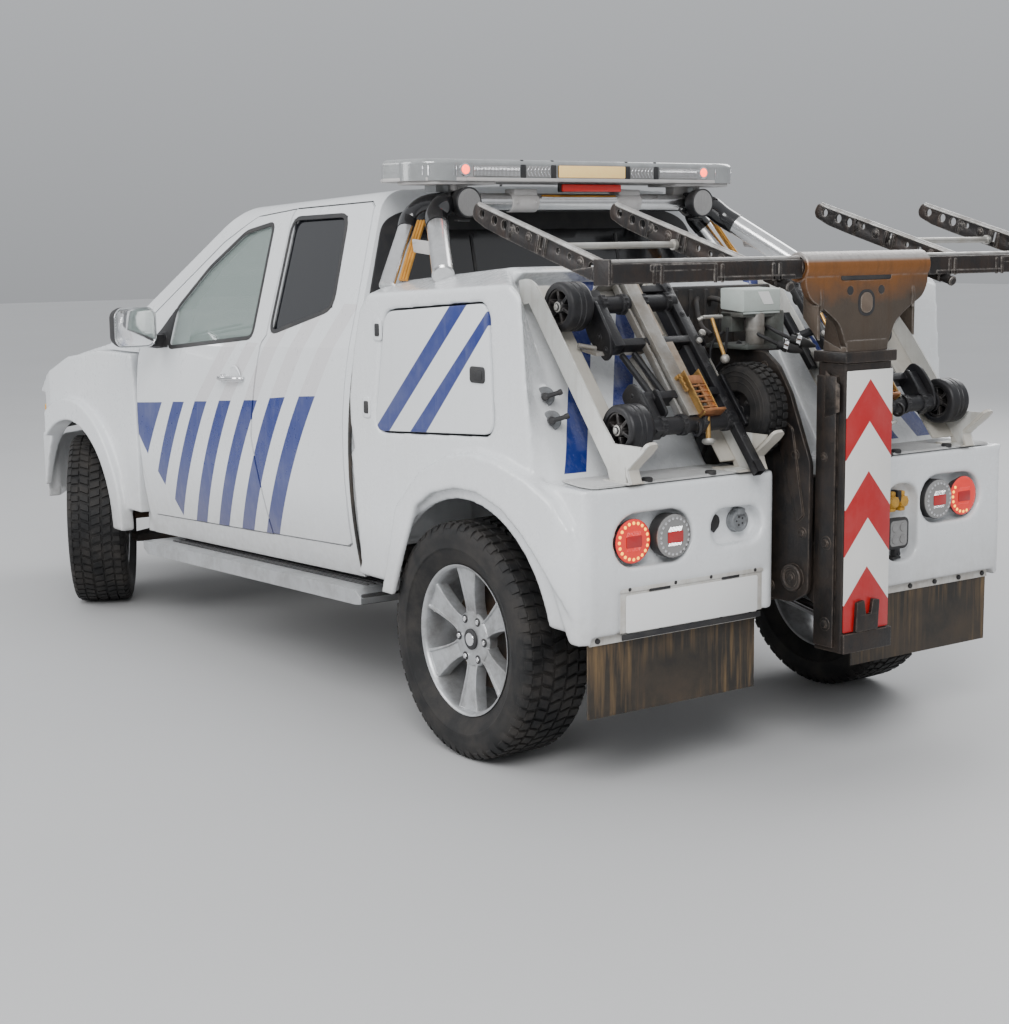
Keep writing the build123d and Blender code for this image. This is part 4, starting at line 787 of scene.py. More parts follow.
def make_tyre(name, body, centre, turn=None, scale=1.0, stands=()):
    p = Piece(name, body, MAT["tyre"], stands)
    rows = TYRE_ROWS + [(-h, r) for h, r in TYRE_ROWS[-2::-1]]
    p.lathe(rows, centre, (0, 1, 0), 120)
    bm = bmesh.new()
    for mid, half, n, share, slant, top in TREAD:
        low = top - .0095
        for i in range(n):
            jitter = 0.5 * (1 if mid > 0 else 0)
            a = 2 * math.pi * (i + jitter) / n
            da = 2 * math.pi / n * share
            vs = []
            for r, inset in ((low, 0.0), (top, .0016)):
                for sy, sa in ((-1, -1), (1, -1), (1, 1), (-1, 1)):
                    y = mid + sy * (half - inset)
                    t = a + sa * (da - inset / top) + slant * sy / .38
                    vs.append(bm.verts.new((centre[0] + r * math.cos(t),
                                            centre[1] + y,
                                            centre[2] + r * math.sin(t))))
            for q in ((4, 5, 6, 7), (0, 4, 7, 3), (1, 2, 6, 5), (0, 1, 5, 4),
                      (3, 7, 6, 2)):
                bm.faces.new([vs[k] for k in q])
    # shoulder lugs, wrapped over the edge
    for side in (-1, 1):
        n = 58
        for i in range(n):
            a = 2 * math.pi * (i + (0.25 if i % 2 else 0.32)) / n
            da = 2 * math.pi / n * .33
            ring_ = []
            for y, r, lift in ((.1045, .3705, .0088), (.1135, .3655, .0070),
                               (.1205, .3560, .0048), (.1245, .3440, .0022)):
                if i % 2 and y > .122:
                    break
                for sa in (-1, 1):
                    t = a + sa * da
                    for k in (0, lift):
                        ring_.append(bm.verts.new((
                            centre[0] + (r + k * .8) * math.cos(t),
                            centre[1] + side * (y + k * .35 if y > .11 else y),
                            centre[2] + (r + k * .8) * math.sin(t))))
            m = len(ring_) // 4
            for k in range(m - 1):
                a0, b0 = 4 * k, 4 * (k + 1)
                bm.faces.new((ring_[a0 + 1], ring_[a0 + 3], ring_[b0 + 3], ring_[b0 + 1]))
                bm.faces.new((ring_[a0], ring_[a0 + 1], ring_[b0 + 1], ring_[b0]))
                bm.faces.new((ring_[a0 + 2], ring_[b0 + 2], ring_[b0 + 3], ring_[a0 + 3]))
            bm.faces.new((ring_[0], ring_[2], ring_[3], ring_[1]))
            e = 4 * (m - 1)
            bm.faces.new((ring_[e], ring_[e + 1], ring_[e + 3], ring_[e + 2]))
    bmesh.ops.recalc_face_normals(bm, faces=bm.faces[:])
    p.take(bm)
    return p.done(angle=38, turn=turn)


def make_rim(name, body, centre, s, turn=None, stands=()):
    cx, cy, cz = centre
    p = Piece(name, body, MAT["rim"], stands)
    # barrel with its two lips, closed section
    sec = [(.102, .2430), (.1005, .2380), (.0965, .2335), (.0880, .2300),
           (.0700, .2270), (.0500, .2245), (-.0300, .2180), (-.0700, .2230),
           (-.0920, .2310), (-.0990, .2360), (-.1020, .2430), (-.1000, .2432),
           (-.0950, .2370), (-.0700, .2290), (-.0300, .2240), (.0500, .2305),
           (.0880, .2350), (.0960, .2390), (.1000, .2432)]
    p.lathe([(h * s, r) for h, r in sec], centre, (0, 1, 0), 96, close=True)
    # hub
    p.lathe([(s * h, r) for h, r in ((.030, .0), (.030, .088), (.060, .090),
                                     (.0665, .086), (.0685, .080),
                                     (.0690, .034), (.0690, .0))],
            centre, (0, 1, 0), 72)
    # six broad spokes, each with two raised edges
    bm = bmesh.new()
    stations = [(.060, .036, .0660), (.078, .030, .0672), (.098, .0275, .0700),
                (.125, .0295, .0745), (.155, .0345, .0790), (.185, .0410, .0825),
                (.210, .0475, .0850), (.2285, .0530, .0880)]
    for k in range(6):
        a = math.radians(90 + 60 * k)
        er = Vector((math.cos(a), 0, math.sin(a)))
        et = Vector((-math.sin(a), 0, math.cos(a)))
        ey = Vector((0, s, 0))
        grid = []
        for r, w, y in stations:
            gap = min(.45, max(.0, (r - .085) / .2))
            row = []
            for f, dy in ((-1.0, -.040), (-1.0, -.0035), (-.965, .0), (-.80, .0008),
                          (-.73, -.0042), (0, -.0050), (.73, -.0042), (.80, .0008),
                          (.965, .0), (1.0, -.0035), (1.0, -.040)):
                row.append(bm.verts.new(Vector(centre) + er * r + et * (w * f)
                                        + ey * (y + dy)))
            grid.append(row)
        for i in range(len(grid) - 1):
            for j in range(len(grid[0]) - 1):
                bm.faces.new((grid[i][j], grid[i + 1][j], grid[i + 1][j + 1],
                              grid[i][j + 1]))
            bm.faces.new((grid[i][0], grid[i][-1], grid[i + 1][-1],
                          grid[i + 1][0]))
        bm.faces.new([v for v in grid[0]])
        bm.faces.new([v for v in grid[-1]][::-1])
    bmesh.ops.recalc_face_normals(bm, faces=bm.faces[:])
    p.take(bm)
    o = p.done(angle=28, turn=turn)
    # holes, nuts, cap and valve: black discs in the nut holes are painted shade, the
    # black cap is the hub cap
    d = Piece(name + "_hole_shade_and_cap", body, MAT["black"])
    for k in range(6):
        a = math.radians(60 + 60 * k)
        q = (cx + .0698 * math.cos(a), cy, cz + .0698 * math.sin(a))
        d.lathe([(s * .0690, .0), (s * .0690, .0135), (s * .0700, .0142),
                 (s * .0704, .0128), (s * .0696, .0)], q, (0, 1, 0), 24)
    d.lathe([(s * .068, .0), (s * .068, .034), (s * .0740, .0335),
             (s * .0760, .030), (s * .0768, .0)], centre, (0, 1, 0), 40)
    d.done(turn=turn)
    c = Piece(name + "_nuts", body, MAT["chrome"])
    for k in range(6):
        a = math.radians(60 + 60 * k)
        q = (cx + .0698 * math.cos(a), cy, cz + .0698 * math.sin(a))
        c.lathe([(s * .0695, .0), (s * .0695, .0095), (s * .0735, .0090),
                 (s * .0745, .0065), (s * .0748, .0)], q, (0, 1, 0), 6)
    c.lathe([(s * .0755, .0), (s * .0755, .0215), (s * .0775, .0205),
             (s * .0778, .0)], centre, (0, 1, 0), 36)
    c.tube([(cx + .205, cy + s * .060, cz + .060), (cx + .200, cy + s * .078, cz + .060)],
           .0035, 8)
    c.done(turn=turn)
    b = Piece(name + "_brake", body, MAT["cast"])
    b.lathe([(s * -.002, .09), (s * -.002, .165), (s * .008, .1655), (s * .010, .163),
             (s * .010, .09), (s * .030, .088), (s * .030, .02)], centre,
            (0, 1, 0), 64)
    b.done(turn=turn)
    return o


STEER = math.radians(-27.7)
for side_name, s in (("left", 1), ("right", -1)):
    c = (X(0), s * .785, GROUND_R)
    make_tyre("tread_rear_" + side_name, "wheel_rear_" + side_name, c,
              stands=("tyre_rear_" + side_name,))
    make_rim("wheel_disc_rear_" + side_name, "wheel_rear_" + side_name, c, s,
             stands=("rim_rear_" + side_name,))
    pin = Vector((X(FAX), s * .713, 0))
    turn = (Matrix.Translation(pin) @ Matrix.Rotation(STEER, 4, 'Z')
            @ Matrix.Translation(-pin))
    c = (X(FAX), s * .785, GROUND_R)
    make_tyre("tread_front_" + side_name, "wheel_front_" + side_name, c,
              turn=turn, stands=("tyre_front_" + side_name,))
    make_rim("wheel_disc_front_" + side_name, "wheel_front_" + side_name, c, s,
             turn=turn, stands=("rim_front_" + side_name,))
# -------------------------------------------------------- moulded panels
def baked(me, steps):
    """The mesh after the modifiers, as a new mesh."""
    o = bpy.data.objects.new("work", me)
    bpy.context.collection.objects.link(o)
    for kind, props in steps:
        m = o.modifiers.new("m", kind)
        for k, v in props.items():
            setattr(m, k, v)
    dg = bpy.context.evaluated_depsgraph_get()
    out = bpy.data.meshes.new_from_object(o.evaluated_get(dg))
    bpy.data.objects.remove(o)
    return out


def moulded(name, nodes, side, mat, voxel=0.008, passes=9, keep=0.45,
            more=None, cut=None, stands=None):
    """One smooth moulding made of the closed solids of some nodes on one
    side (0 = both), with their corners run together."""
    bm = bmesh.new()
    for n in nodes:
        bm.from_mesh(NODES[n].data)
    if side:
        away = [f for f in bm.faces if f.calc_center_median().y * side < 0]
        bmesh.ops.delete(bm, geom=away, context='FACES')
        bmesh.ops.delete(bm, geom=[v for v in bm.verts if not v.link_faces],
                         context='VERTS')
    if cut:
        away = [f for f in bm.faces if cut(f.calc_center_median())]
        bmesh.ops.delete(bm, geom=away, context='FACES')
    if more:
        more(bm)
    me = bpy.data.meshes.new(name)
    bm.to_mesh(me)
    bm.free()
    me = baked(me, [('REMESH', {"mode": 'VOXEL', "voxel_size": voxel}),
                    ('SMOOTH', {"factor": 0.5, "iterations": passes}),
                    ('DECIMATE', {"ratio": keep})])
    p = Piece(name, RIDES[nodes[0]], mat, stands or nodes)
    p.bm.from_mesh(me)
    bpy.data.meshes.remove(me)
    return p.done(angle=180)


def patch_finish(g, col):
    """Two blue stripes that run down the sloping wall of the rear bay."""
    lean = g.math('ADD', g.axis(0), g.math('MULTIPLY', g.axis(2), -.642))
    band = g.math('MULTIPLY',
                  g.ramp(lean, X(-.076 - 1.497 * .642) - .075,
                         X(-.076 - 1.497 * .642) - .074),
                  g.ramp(lean, X(-.076 - 1.497 * .642) + .030,
                         X(-.076 - 1.497 * .642) + .029))
    masks = []
    for s in (1, -1):
        for yz in ([(.804 * s, .950), (.722 * s, .950), (.416 * s, 1.500),
                    (.498 * s, 1.500)],
                   [(.630 * s, .950), (.552 * s, .950), (.240 * s, 1.500),
                    (.318 * s, 1.500)]):
            masks.append(g.math('MULTIPLY', g.polygon(yz, 1, 2), band))
    m = either(g, masks)
    return g.mix(m, col, BLUE)


MAT["body_patch"] = surface(
    "gelcoat_white_fields", WHITE, 0.26, coat=0.55, var=0.015,
    grain=(5.0, 0.0007), rough_var=0.1, low=(DIRT, 0.5, 0.45, 0.72),
    streak=((0.5, 0.49, 0.46), 0.10), grime=((0.6, 0.59, 0.57), 0.12, 5.0),
    finish=patch_finish)
for side_name, s in (("left", 1), ("right", -1)):
    moulded("body_moulding_" + side_name, ("rear_body", "rear_bumpers"), s,
            MAT["body_patch"])
    moulded("wing_moulding_" + side_name, ("front_wings",), s, MAT["paint"],
            voxel=0.007, passes=8, keep=0.4)
moulded("bonnet_moulding", ("bonnet",), 0, MAT["paint"], voxel=0.008,
        passes=10, keep=0.4)
moulded("bumper_moulding", ("front_bumper",), 0, MAT["paint"], voxel=0.008,
        passes=10, keep=0.4)
refine("channel_floor", MAT["body"], 0.004)

# locker doors, with round corners, a paddle handle and two hinges
LOCKER_EDGE = [(.412, 1.407), (-.175, 1.449), (-.198, 1.054), (.485, 1.011)]
for side_name, s in (("left", 1), ("right", -1)):
    b = "locker_" + side_name
    p = Piece("locker_panel_" + side_name, b, MAT["locker"],
              ("locker_door_" + side_name,))
    out = rounded([(X(x), z) for x, z in LOCKER_EDGE], .050, 8)
    p.plate(out, "side", s * .8785, s * .8992, r=.0025, seg=3)
    p.done(angle=40)
    h = Piece("locker_handle_" + side_name, b, MAT["black"])
    h.plate(slot_ring(X(-.120), 1.231, .078, .050, .012), "side", s * .8985,
            s * .9035, r=.0015)
    h.plate(slot_ring(X(-.128), 1.231, .040, .030, .006), "side", s * .9030,
            s * .9055, r=.001)
    h.done()
    h = Piece("locker_hinges_" + side_name, "chassis", MAT["black"])
    w = Piece("locker_hinge_pads_" + side_name, "chassis", MAT["body"])
    for hx, hz in ((.448, 1.346), (.528, 1.086)):
        w.plate(slot_ring(X(hx + .006), hz, .052, .074, .016), "side",
                s * .8975, s * .9045, r=.003, seg=3)
        h.plate(slot_ring(X(hx + .004), hz, .026, .042, .006), "side",
                s * .9035, s * .9075, r=.0015)
    h.done()
    w.done()

# valves with black levers on the turned-in panel
g_disc = Piece("valve_discs", "chassis", MAT["grey"])
g_lever = Piece("valve_levers", "chassis", MAT["black"])
for s in (1, -1):
    for vx, vz, vy in ((-.297, 1.169, .778), (-.340, 1.101, .786)):
        c = (X(vx) + .0015, s * vy, vz)
        g_disc.lathe([(.0, .0), (.0, .0305), (.010, .0305), (.0135, .0270),
                      (.0135, .015), (.0165, .014), (.0165, .0)], c,
                     (-1, s * .62, .10), 44)
        g_lever.lathe([(.014, .0), (.014, .0125), (.040, .0115), (.043, .009),
                       (.043, .0)], c, (-1, s * .62, .10), 24)
        g_lever.rod((c[0] - .031, c[1] + s * .018, c[2] + .003),
                    (c[0] - .062, c[1] - s * .010, c[2] + .016), .0070, 16)
        g_lever.lathe([(0, 0), (.002, .0080), (.008, .0092), (.014, .0080),
                       (.016, 0)],
                      (c[0] - .058, c[1] - s * .006, c[2] + .014),
                      (-.4, -s, .4), 16)
g_disc.done()
g_lever.done()

# ribbed deck plates and plugs
MAT["deck_alloy"] = surface(
    "deck_alloy", (0.62, 0.62, 0.61), 0.42, metal=0.35, var=0.06,
    grain=(400.0, 0.0002), grime=((0.30, 0.28, 0.26), 0.30, 9.0))
dress("deck_plates", MAT["deck_alloy"])
dk = Piece("deck_ribs", "chassis", MAT["deck_alloy"])
pl = Piece("deck_plugs", "chassis", MAT["black"])
for s in (1, -1):
    n = 34
    for i in range(n):
        y = .338 + (.676 - .338) * i / (n - 1)
        dk.box((X(-.541), s * y, .9370), (.180, .0048, .0030), r=.0010, seg=1)
    n = 16
    for i in range(n):
        y = .693 + (.848 - .693) * i / (n - 1)
        # front end follows the slanting outer edge, rear end the bumper's
        x1 = -.450 if y < .824 else -.446 - (y - .828) * 4.0 - .012
        x0 = -.631 + max(0.0, y - .838) * .75
        if x1 - x0 > .01:
            dk.box((X((x0 + x1) / 2), s * y, .9370), (x1 - x0, .0048, .0030),
                   r=.0010, seg=1)
    for px_, py_ in ((-.620, .649), (-.622, .403)):
        pl.lathe([(0, .0), (0, .017), (.010, .017), (.0125, .014), (.0125, 0)],
                 (X(px_), s * py_, .9350), (0, 0, 1), 24)
dk.done()
pl.done()
# -------------------------------------------------------------- wheel lift
def rust_steel(name, top_z=None, paint_z=None, low=None):
    """Dark worn steel, lighter on its edges (painted edge highlight together with rubbed
    wear) and, with top_z, lighter along the top; orange paint left on it.
    """
    def fin(g, col):
        n = g.noise(7.0, 6.0, 0.65)
        col = g.mix(g.math('MULTIPLY', g.ramp(n, 0.48, 0.70), 0.6), col,
                    (0.060, 0.036, 0.025))
        if low:
            col = g.mix(g.math('MULTIPLY_ADD', n, .6, .45), col, low)
        if paint_z:
            z0, z1 = paint_z
            h = g.ramp(g.math('ADD', g.axis(2),
                              g.math('MULTIPLY_ADD', n, .16, -.08)), z0, z1)
            col = g.mix(g.math('MULTIPLY', h, .92), col, (0.27, 0.105, 0.028))
        if top_z:
            z0, z1 = top_z
            h = g.ramp(g.axis(2), z0, z1)
            col = g.mix(g.math('MULTIPLY', h, .9), col, (0.42, 0.41, 0.40))
        return col
    return surface(name, (0.026, 0.024, 0.024), 0.44, metal=0.55, var=0.35,
                   var_scale=6.0, grain=(110.0, 0.0011), bevel=0.002,
                   edge=((0.36, 0.33, 0.30), 0.85), finish=fin,
                   streak=((0.075, 0.040, 0.022), 0.35))


MAT["bar_steel"] = rust_steel("bar_steel")
MAT["head_steel"] = rust_steel("head_steel", top_z=(1.560, 1.572),
                               paint_z=(1.44, 1.535), low=(0.115, 0.088, 0.066))
# lighter edges: painted edge highlight together with paint rubbed through
MAT["boom_black"] = surface(
    "boom_black", (0.013, 0.012, 0.012), 0.40, metal=0.25, var=0.35,
    var_scale=6.0, grain=(120.0, 0.0009), bevel=0.002,
    edge=((0.20, 0.16, 0.13), 0.7), grime=((0.060, 0.040, 0.028), 0.5, 9.0),
    streak=((0.06, 0.035, 0.022), 0.35))
MAT["bright_edge"] = surface(
    "bright_edge", (0.50, 0.49, 0.47), 0.34, metal=0.85, var=0.2,
    var_scale=14.0, grain=(90.0, 0.0006), grime=((0.12, 0.08, 0.055), 0.5, 16.0))
MAT["zinc"] = surface(
    "zinc", (0.50, 0.49, 0.46), 0.38, metal=0.7, var=0.12, var_scale=9.0,
    grain=(120.0, 0.0005), bevel=0.0015, grime=((0.30, 0.24, 0.17), 0.4, 12.0))
MAT["brass_zinc"] = surface(
    "yellow_zinc", (0.60, 0.36, 0.12), 0.32, metal=0.8, var=0.2,
    var_scale=18.0, grain=(120.0, 0.0005), bevel=0.001,
    grime=((0.12, 0.06, 0.03), 0.5, 20.0))

HZ = 1.548                       # height of the cross bar's middle
HX = -.830
bar = Piece("cross_bar", "cradle", MAT["bar_steel"], ("wheel_cradle",))
edge = Piece("cross_bar_top", "cradle", MAT["bright_edge"])
for s in (1, -1):
    bar.box((X(HX), s * .6215, HZ - .004), (.062, .707, .056), r=.005)
    edge.rod((X(HX - .012), s * .269, HZ + .0265),
             (X(HX - .012), s * .984, HZ + .0265), .0075, 16)
    edge.box((X(HX + .006), s * .6265, HZ + .0265), (.040, .715, .009), r=.003)
    # end plate and welded ribs on the rear face
    bar.plate([(X(-.8635), 1.512), (X(-.796), 1.512), (X(-.796), 1.583),
               (X(-.8635), 1.583)], "side", s * .976, s * .985, r=.002)
    for y in (.36, .385, .58, .606, .80, .826):
        bar.box((X(-.8615), s * y, HZ - .010), (.006, .010, .050), r=.002)
    bar.box((X(-.8615), s * .45, HZ - .026), (.006, .30, .012), r=.002)
    bar.box((X(-.8600), s * .72, HZ + .010), (.007, .24, .016), r=.003)
bar.rod((X(HX), -.270, HZ), (X(HX), .270, HZ), .0285, 40)
ca, sa = math.cos(math.radians(16)), math.sin(math.radians(16))


def arm_pt(t, h):
    """t metres along an arm from the bar, h above its lower edge."""
    return (X(-.800 + t * ca - h * sa), 1.514 + t * sa + h * ca)


holes_at = [(.050, .036, .012), (.150, .036, .0085), (.205, .036, .0085),
            (.405, .040, .0085), (.470, .036, .014), (.520, .036, .014),
            (.585, .038, .0125)]
for s in (1, -1):
    for ya in (.445, .960):
        out = [arm_pt(0, 0), arm_pt(.470, .000), arm_pt(.560, .002),
               arm_pt(.622, .012), arm_pt(.634, .030), arm_pt(.626, .058),
               arm_pt(.600, .063), arm_pt(0, .063)]
        hs = [ring(*arm_pt(t, h), r, 20) for t, h, r in holes_at]
        hs.append([arm_pt(.275, .018), arm_pt(.290, .018), arm_pt(.290, .052),
                   arm_pt(.275, .052)])
        bar.plate(rounded(out, .010, 4), "side", s * ya - .0045,
                  s * ya + .0045, r=.0012, holes=hs)
        a, b = arm_pt(.002, .0615), arm_pt(.612, .0600)
        edge.rod((a[0], s * ya, a[1]), (b[0], s * ya, b[1]), .0065, 16)
        for k in (1, -1):
            a, b = arm_pt(.004, .0585), arm_pt(.600, .0585)
            edge.rod((a[0], s * ya + k * .0045, a[1]),
                     (b[0], s * ya + k * .0045, b[1]), .0045, 12)
            for t in (.03, .265, .298, .44):
                c = arm_pt(t, .030)
                bar.box((c[0], s * ya + k * .0070, c[1]), (.012, .006, .050),
                        r=.0015, rot=Matrix.Rotation(-math.radians(16), 4, 'Y'))
            bar.plate([arm_pt(.0, .002), arm_pt(.130, .002),
                       arm_pt(.0, .056)], "side", s * ya + k * .0045,
                      s * ya + k * .0095, r=.001)
        for t in (.10, .345, .43):
            c = arm_pt(t, .034)
            for k in (1, -1):
                bar.bolt((c[0], s * ya + k * .0045, c[1]), (0, k, 0), .009, .005)
    # zinc tie rod between the two arms of a side is drawn below, straight; this point for
    # its kink is not used
    za = arm_pt(.50, .004)
bar.done()
edge.done()
tie = Piece("arm_ties", "cradle", MAT["zinc"])
for s in (1, -1):
    a = arm_pt(.300, .020)
    tie.rod((a[0], s * .4496, a[1]), (a[0], s * .9554, a[1]), .010, 20)
    for y in (.460, .945):
        tie.lathe([(-.006, 0), (-.006, .016), (.006, .016), (.006, 0)],
                  (a[0], s * y, a[1]), (0, 1, 0), 20)
tie.done()

# head plate on the inner boom
BR, BF = -.876, -.757
head = Piece("boom_head", "boom_arm", MAT["head_steel"], ("boom_inner",))
out = [(-.085, 1.302), (.085, 1.302), (.100, 1.340), (.118, 1.380),
       (.180, 1.424), (.236, 1.452), (.258, 1.490), (.261, 1.560),
       (-.261, 1.560), (-.258, 1.490), (-.236, 1.452), (-.180, 1.424),
       (-.118, 1.380), (-.100, 1.340)]
hs = [ring(.076, 1.477, .012, 28), ring(-.056, 1.477, .012, 28),
      slot_ring(.009, 1.5225, .212, .031, .008)]
head.plate(rounded(out, .03, 5), "cross", X(-.8640), X(-.8400), r=.003,
           holes=hs, seg=3)
head.lathe([(-.261, .031), (-.261, .0415), (-.258, .044), (.258, .044),
            (.261, .0415), (.261, .031)], (X(HX), 0, HZ), (0, 1, 0), 64,
           close=True)
# inner tube of the boom and the side folds of the head
head.box((X(-.8165), 0, 1.145), (.099, .176, .370), r=.006)
for s in (1, -1):
    head.plate([(X(-.862), 1.335), (X(-.862), 1.470), (X(-.800), 1.510),
                (X(-.800), 1.400)], "side", s * .196, s * .206, r=.002)
    head.plate([(X(-.8690), 1.452), (X(-.8640), 1.420), (X(-.8640), 1.484)],
               "side", s * .188, s * .200, r=.001)
    head.plate([(X(-.842), 1.305), (X(-.842), 1.475), (X(-.790), 1.500),
                (X(-.772), 1.330)], "side", s * .082, s * .090, r=.002)
head.done(angle=35)
# worn key on the plate: raised tongue in a groove
# the key's lighter edges: painted edge highlight together with wear
MAT["key_steel"] = surface(
    "key_steel", (0.165, 0.125, 0.095), 0.42, metal=0.5, var=0.3,
    var_scale=16.0, grain=(120.0, 0.0008), edge=((0.42, 0.38, 0.33), 0.8))
key = Piece("head_key", "boom_arm", MAT["key_steel"])
key.plate(slot_ring(.0075, 1.440, .050, .060, .022), "cross", X(-.8662),
          X(-.8630), r=.0012)
key.done()
# black ring round the key and black fills in the slot and the two holes: painted shade of
# the groove, slot and holes
head_shade = Piece("head_groove_and_hole_shade", "boom_arm", MAT["black"])
head_shade.plate(slot_ring(.0075, 1.440, .070, .078, .030), "cross", X(-.8648),
          X(-.8630), r=.0, holes=[slot_ring(.0075, 1.440, .052, .062, .023)])
head_shade.plate(slot_ring(.009, 1.5225, .210, .029, .007), "cross", X(-.8643),
          X(-.8600), r=.0)
for y in (.076, -.056):
    head_shade.lathe([(0, .0), (0, .0128), (.0008, .0128), (.0008, 0)],
              (X(-.8637), y, 1.477), (-1, 0, 0), 24)
head_shade.done()

# outer boom: tube, collar, pivot lugs, ribs
tube = Piece("boom_tube", "boom", MAT["boom_black"], ("boom_outer",))
w, d = .0985, .058
tube.plate(rounded([(X(-.8165 - d), -w), (X(-.8165 + d), -w),
                    (X(-.8165 + d), w), (X(-.8165 - d), w)], .010, 4),
           "plan", .386, 1.262, r=.0,
           holes=[rounded([(X(-.8165 - d + .007), -w + .007),
                           (X(-.8165 + d - .007), -w + .007),
                           (X(-.8165 + d - .007), w - .007),
                           (X(-.8165 - d + .007), w - .007)], .006, 4)])
for s in (1, -1):
    # wider guide strips beside the tube, as seen from behind
    tube.plate([(X(-.765), .40), (X(-.765), 1.225), (X(-.845), 1.225),
                (X(-.845), .40)], "side", s * .0990, s * .1085, r=.002)
    tube.plate(rounded([(X(-.758), .520), (X(-.758), .720), (X(-.720), .660),
                        (X(-.656), .630), (X(-.656), .570),
                        (X(-.720), .548)], .012, 4), "side", s * .083,
               s * .0995, r=.002, holes=[ring(X(-.700), .600, .0225, 28)])
    tube.plate([(X(-.80), 1.10), (X(-.86), 1.12), (X(-.86), 1.20),
                (X(-.80), 1.24)], "side", s * .1075, s * .1090, r=.0005)
    tube.bolt((X(-.815), s * .1085, .72), (0, s, 0), .012, .007)
    tube.bolt((X(-.815), s * .1085, .47), (0, s, 0), .012, .007)
    tube.bolt((X(-.800), s * .1085, .98), (0, s, 0), .008, .005)
tube.plate([(X(-.8845), -.109), (X(-.7485), -.109), (X(-.7485), .109),
            (X(-.8845), .109)], "plan", 1.264, 1.298, r=.004,
           holes=[[(X(-.8680), -.089), (X(-.7650), -.089), (X(-.7650), .089),
                   (X(-.8680), .089)]])
tube.box((X(-.8165), 0, .3915), (.108, .190, .012), r=.003)
tube.plate([(-.104, .387), (.104, .387), (.104, .448), (-.104, .448)],
           "cross", X(-.8900), X(-.8760), r=.003)
tube.plate([(-.040, .449), (.056, .449), (.050, .540), (.020, .545),
            (.012, .500), (-.010, .500), (-.018, .545), (-.046, .540)],
           "cross", X(-.8935), X(-.8805), r=.002)
tube.box((X(-.8880), .005, .475), (.010, .092, .050), r=.003)
tube.done(angle=35)

# locking pegs under the cross bar
pg = Piece("bar_pegs", "cradle", MAT["bar_steel"])
for s in (1, -1):
    a = Vector((X(-.790), s * .345, 1.524))
    b = Vector((X(-.8905), s * .345, 1.494))
    pg.rod(a, b, .0135, 24)
    pg.rod(a, a + (b - a) * .55, .0170, 24)
    pg.lathe([(0, .0135), (.004, .0155), (.010, .0155), (.012, .0120),
              (.012, 0)], b - (b - a).normalized() * .014, b - a, 24)
pg.done(angle=40)

# chevron board, white with red chevrons that point up
def chevrons(g, col):
    ay = g.math('ABSOLUTE', g.axis(1))
    h = g.math('MULTIPLY_ADD', ay, 1.16, g.axis(2))    # apex line
    m = None
    for top, low in ((1.214, 1.087), (.937, .795), (.646, .40)):
        b = g.math('MINIMUM', g.ramp(h, low - .0008, low + .0008),
                   g.ramp(h, top + .0008, top - .0008))
        m = b if m is None else g.math('MAXIMUM', m, b)
    return g.mix(m, col, (0.43, 0.002, 0.004))


MAT["chevron"] = surface(
    "chevron_board", (0.74, 0.73, 0.70), 0.34, coat=0.3, var=0.03,
    grain=(40.0, 0.0002), rough_var=0.08, finish=chevrons,
    grime=((0.5, 0.47, 0.43), 0.05, 9.0), streak=((0.4, 0.36, 0.3), 0.04))
board = Piece("chevron_board", "boom", MAT["chevron"])
board.plate(rounded([(-.0965, .450), (.0965, .450), (.0965, 1.241),
                     (-.0965, 1.241)], .004, 2), "cross", X(-.8800),
            X(-.8762), r=.0006)
board.done()

# mount plates, gussets, pivots, cylinder
mount = Piece("boom_mount_plates", "chassis", MAT["boom_black"],
              ("boom_mount",))
PL = [(-.300, .640), (-.560, .520), (-.690, .520), (-.760, .560),
      (-.762, .655), (-.762, .960), (-.674, 1.165), (-.620, 1.245),
      (-.560, 1.288), (-.380, 1.288),
      (-.240, 1.288), (-.240, .900), (-.200, .720)]
PR = [(-.300, .640), (-.560, .520), (-.690, .520), (-.760, .560),
      (-.762, .655), (-.700, .760), (-.620, .860), (-.420, .900),
      (-.300, 1.272), (-.240, 1.272), (-.240, .900), (-.200, .720)]
for s in (1, -1):
    mount.plate(rounded([(X(x), z) for x, z in (PL if s > 0 else PR)], .016,
                        4), "side", s * .1125, s * .1295, r=.003,
                holes=[ring(X(-.36), .80, .032, 28)])
    mount.lathe([(.1295, .0), (.1295, .042), (.143, .042), (.1455, .039),
                 (.1455, .030), (.1415, .028), (.1415, .0)]
                if s > 0 else
                [(-.1295, .0), (-.1295, .042), (-.143, .042), (-.1455, .039),
                 (-.1455, .030), (-.1415, .028), (-.1415, .0)],
                (X(-.700), 0, .600), (0, 1, 0), 40)
    mount.bolt((X(-.700), s * .1415, .600), (0, s, 0), .011, .004)
    # triangular side plate with its bolt, seen beside the boom
    if s > 0:
        mount.plate(rounded([(X(-.742), .795), (X(-.715), .775),
                             (X(-.600), 1.110), (X(-.690), 1.060)], .010, 3),
                    "side", s * .1290, s * .1360, r=.001)
        for bx, bz in ((-.56, 1.24), (-.62, 1.14), (-.70, .98)):
            mount.bolt((X(bx), s * .1295, bz), (0, s, 0), .010, .006)
    for bx, bz in ((-.735, .742), (-.60, .56), (-.42, .60), (-.30, .74),
                   (-.27, 1.20)):
        mount.bolt((X(bx), s * .1295, bz), (0, s, 0), .010, .006)
mount.plate([(X(-.380), -.112), (X(-.240), -.112), (X(-.240), .112),
             (X(-.380), .112)], "plan", 1.272, 1.288, r=.002)
mount.plate([(X(-.260), -.112), (X(-.240), -.112), (X(-.240), .112),
             (X(-.260), .112)], "plan", .900, 1.200, r=.002)
mount.rod((X(-.345), -.3495, .655), (X(-.345), .3495, .655), .0355, 36)
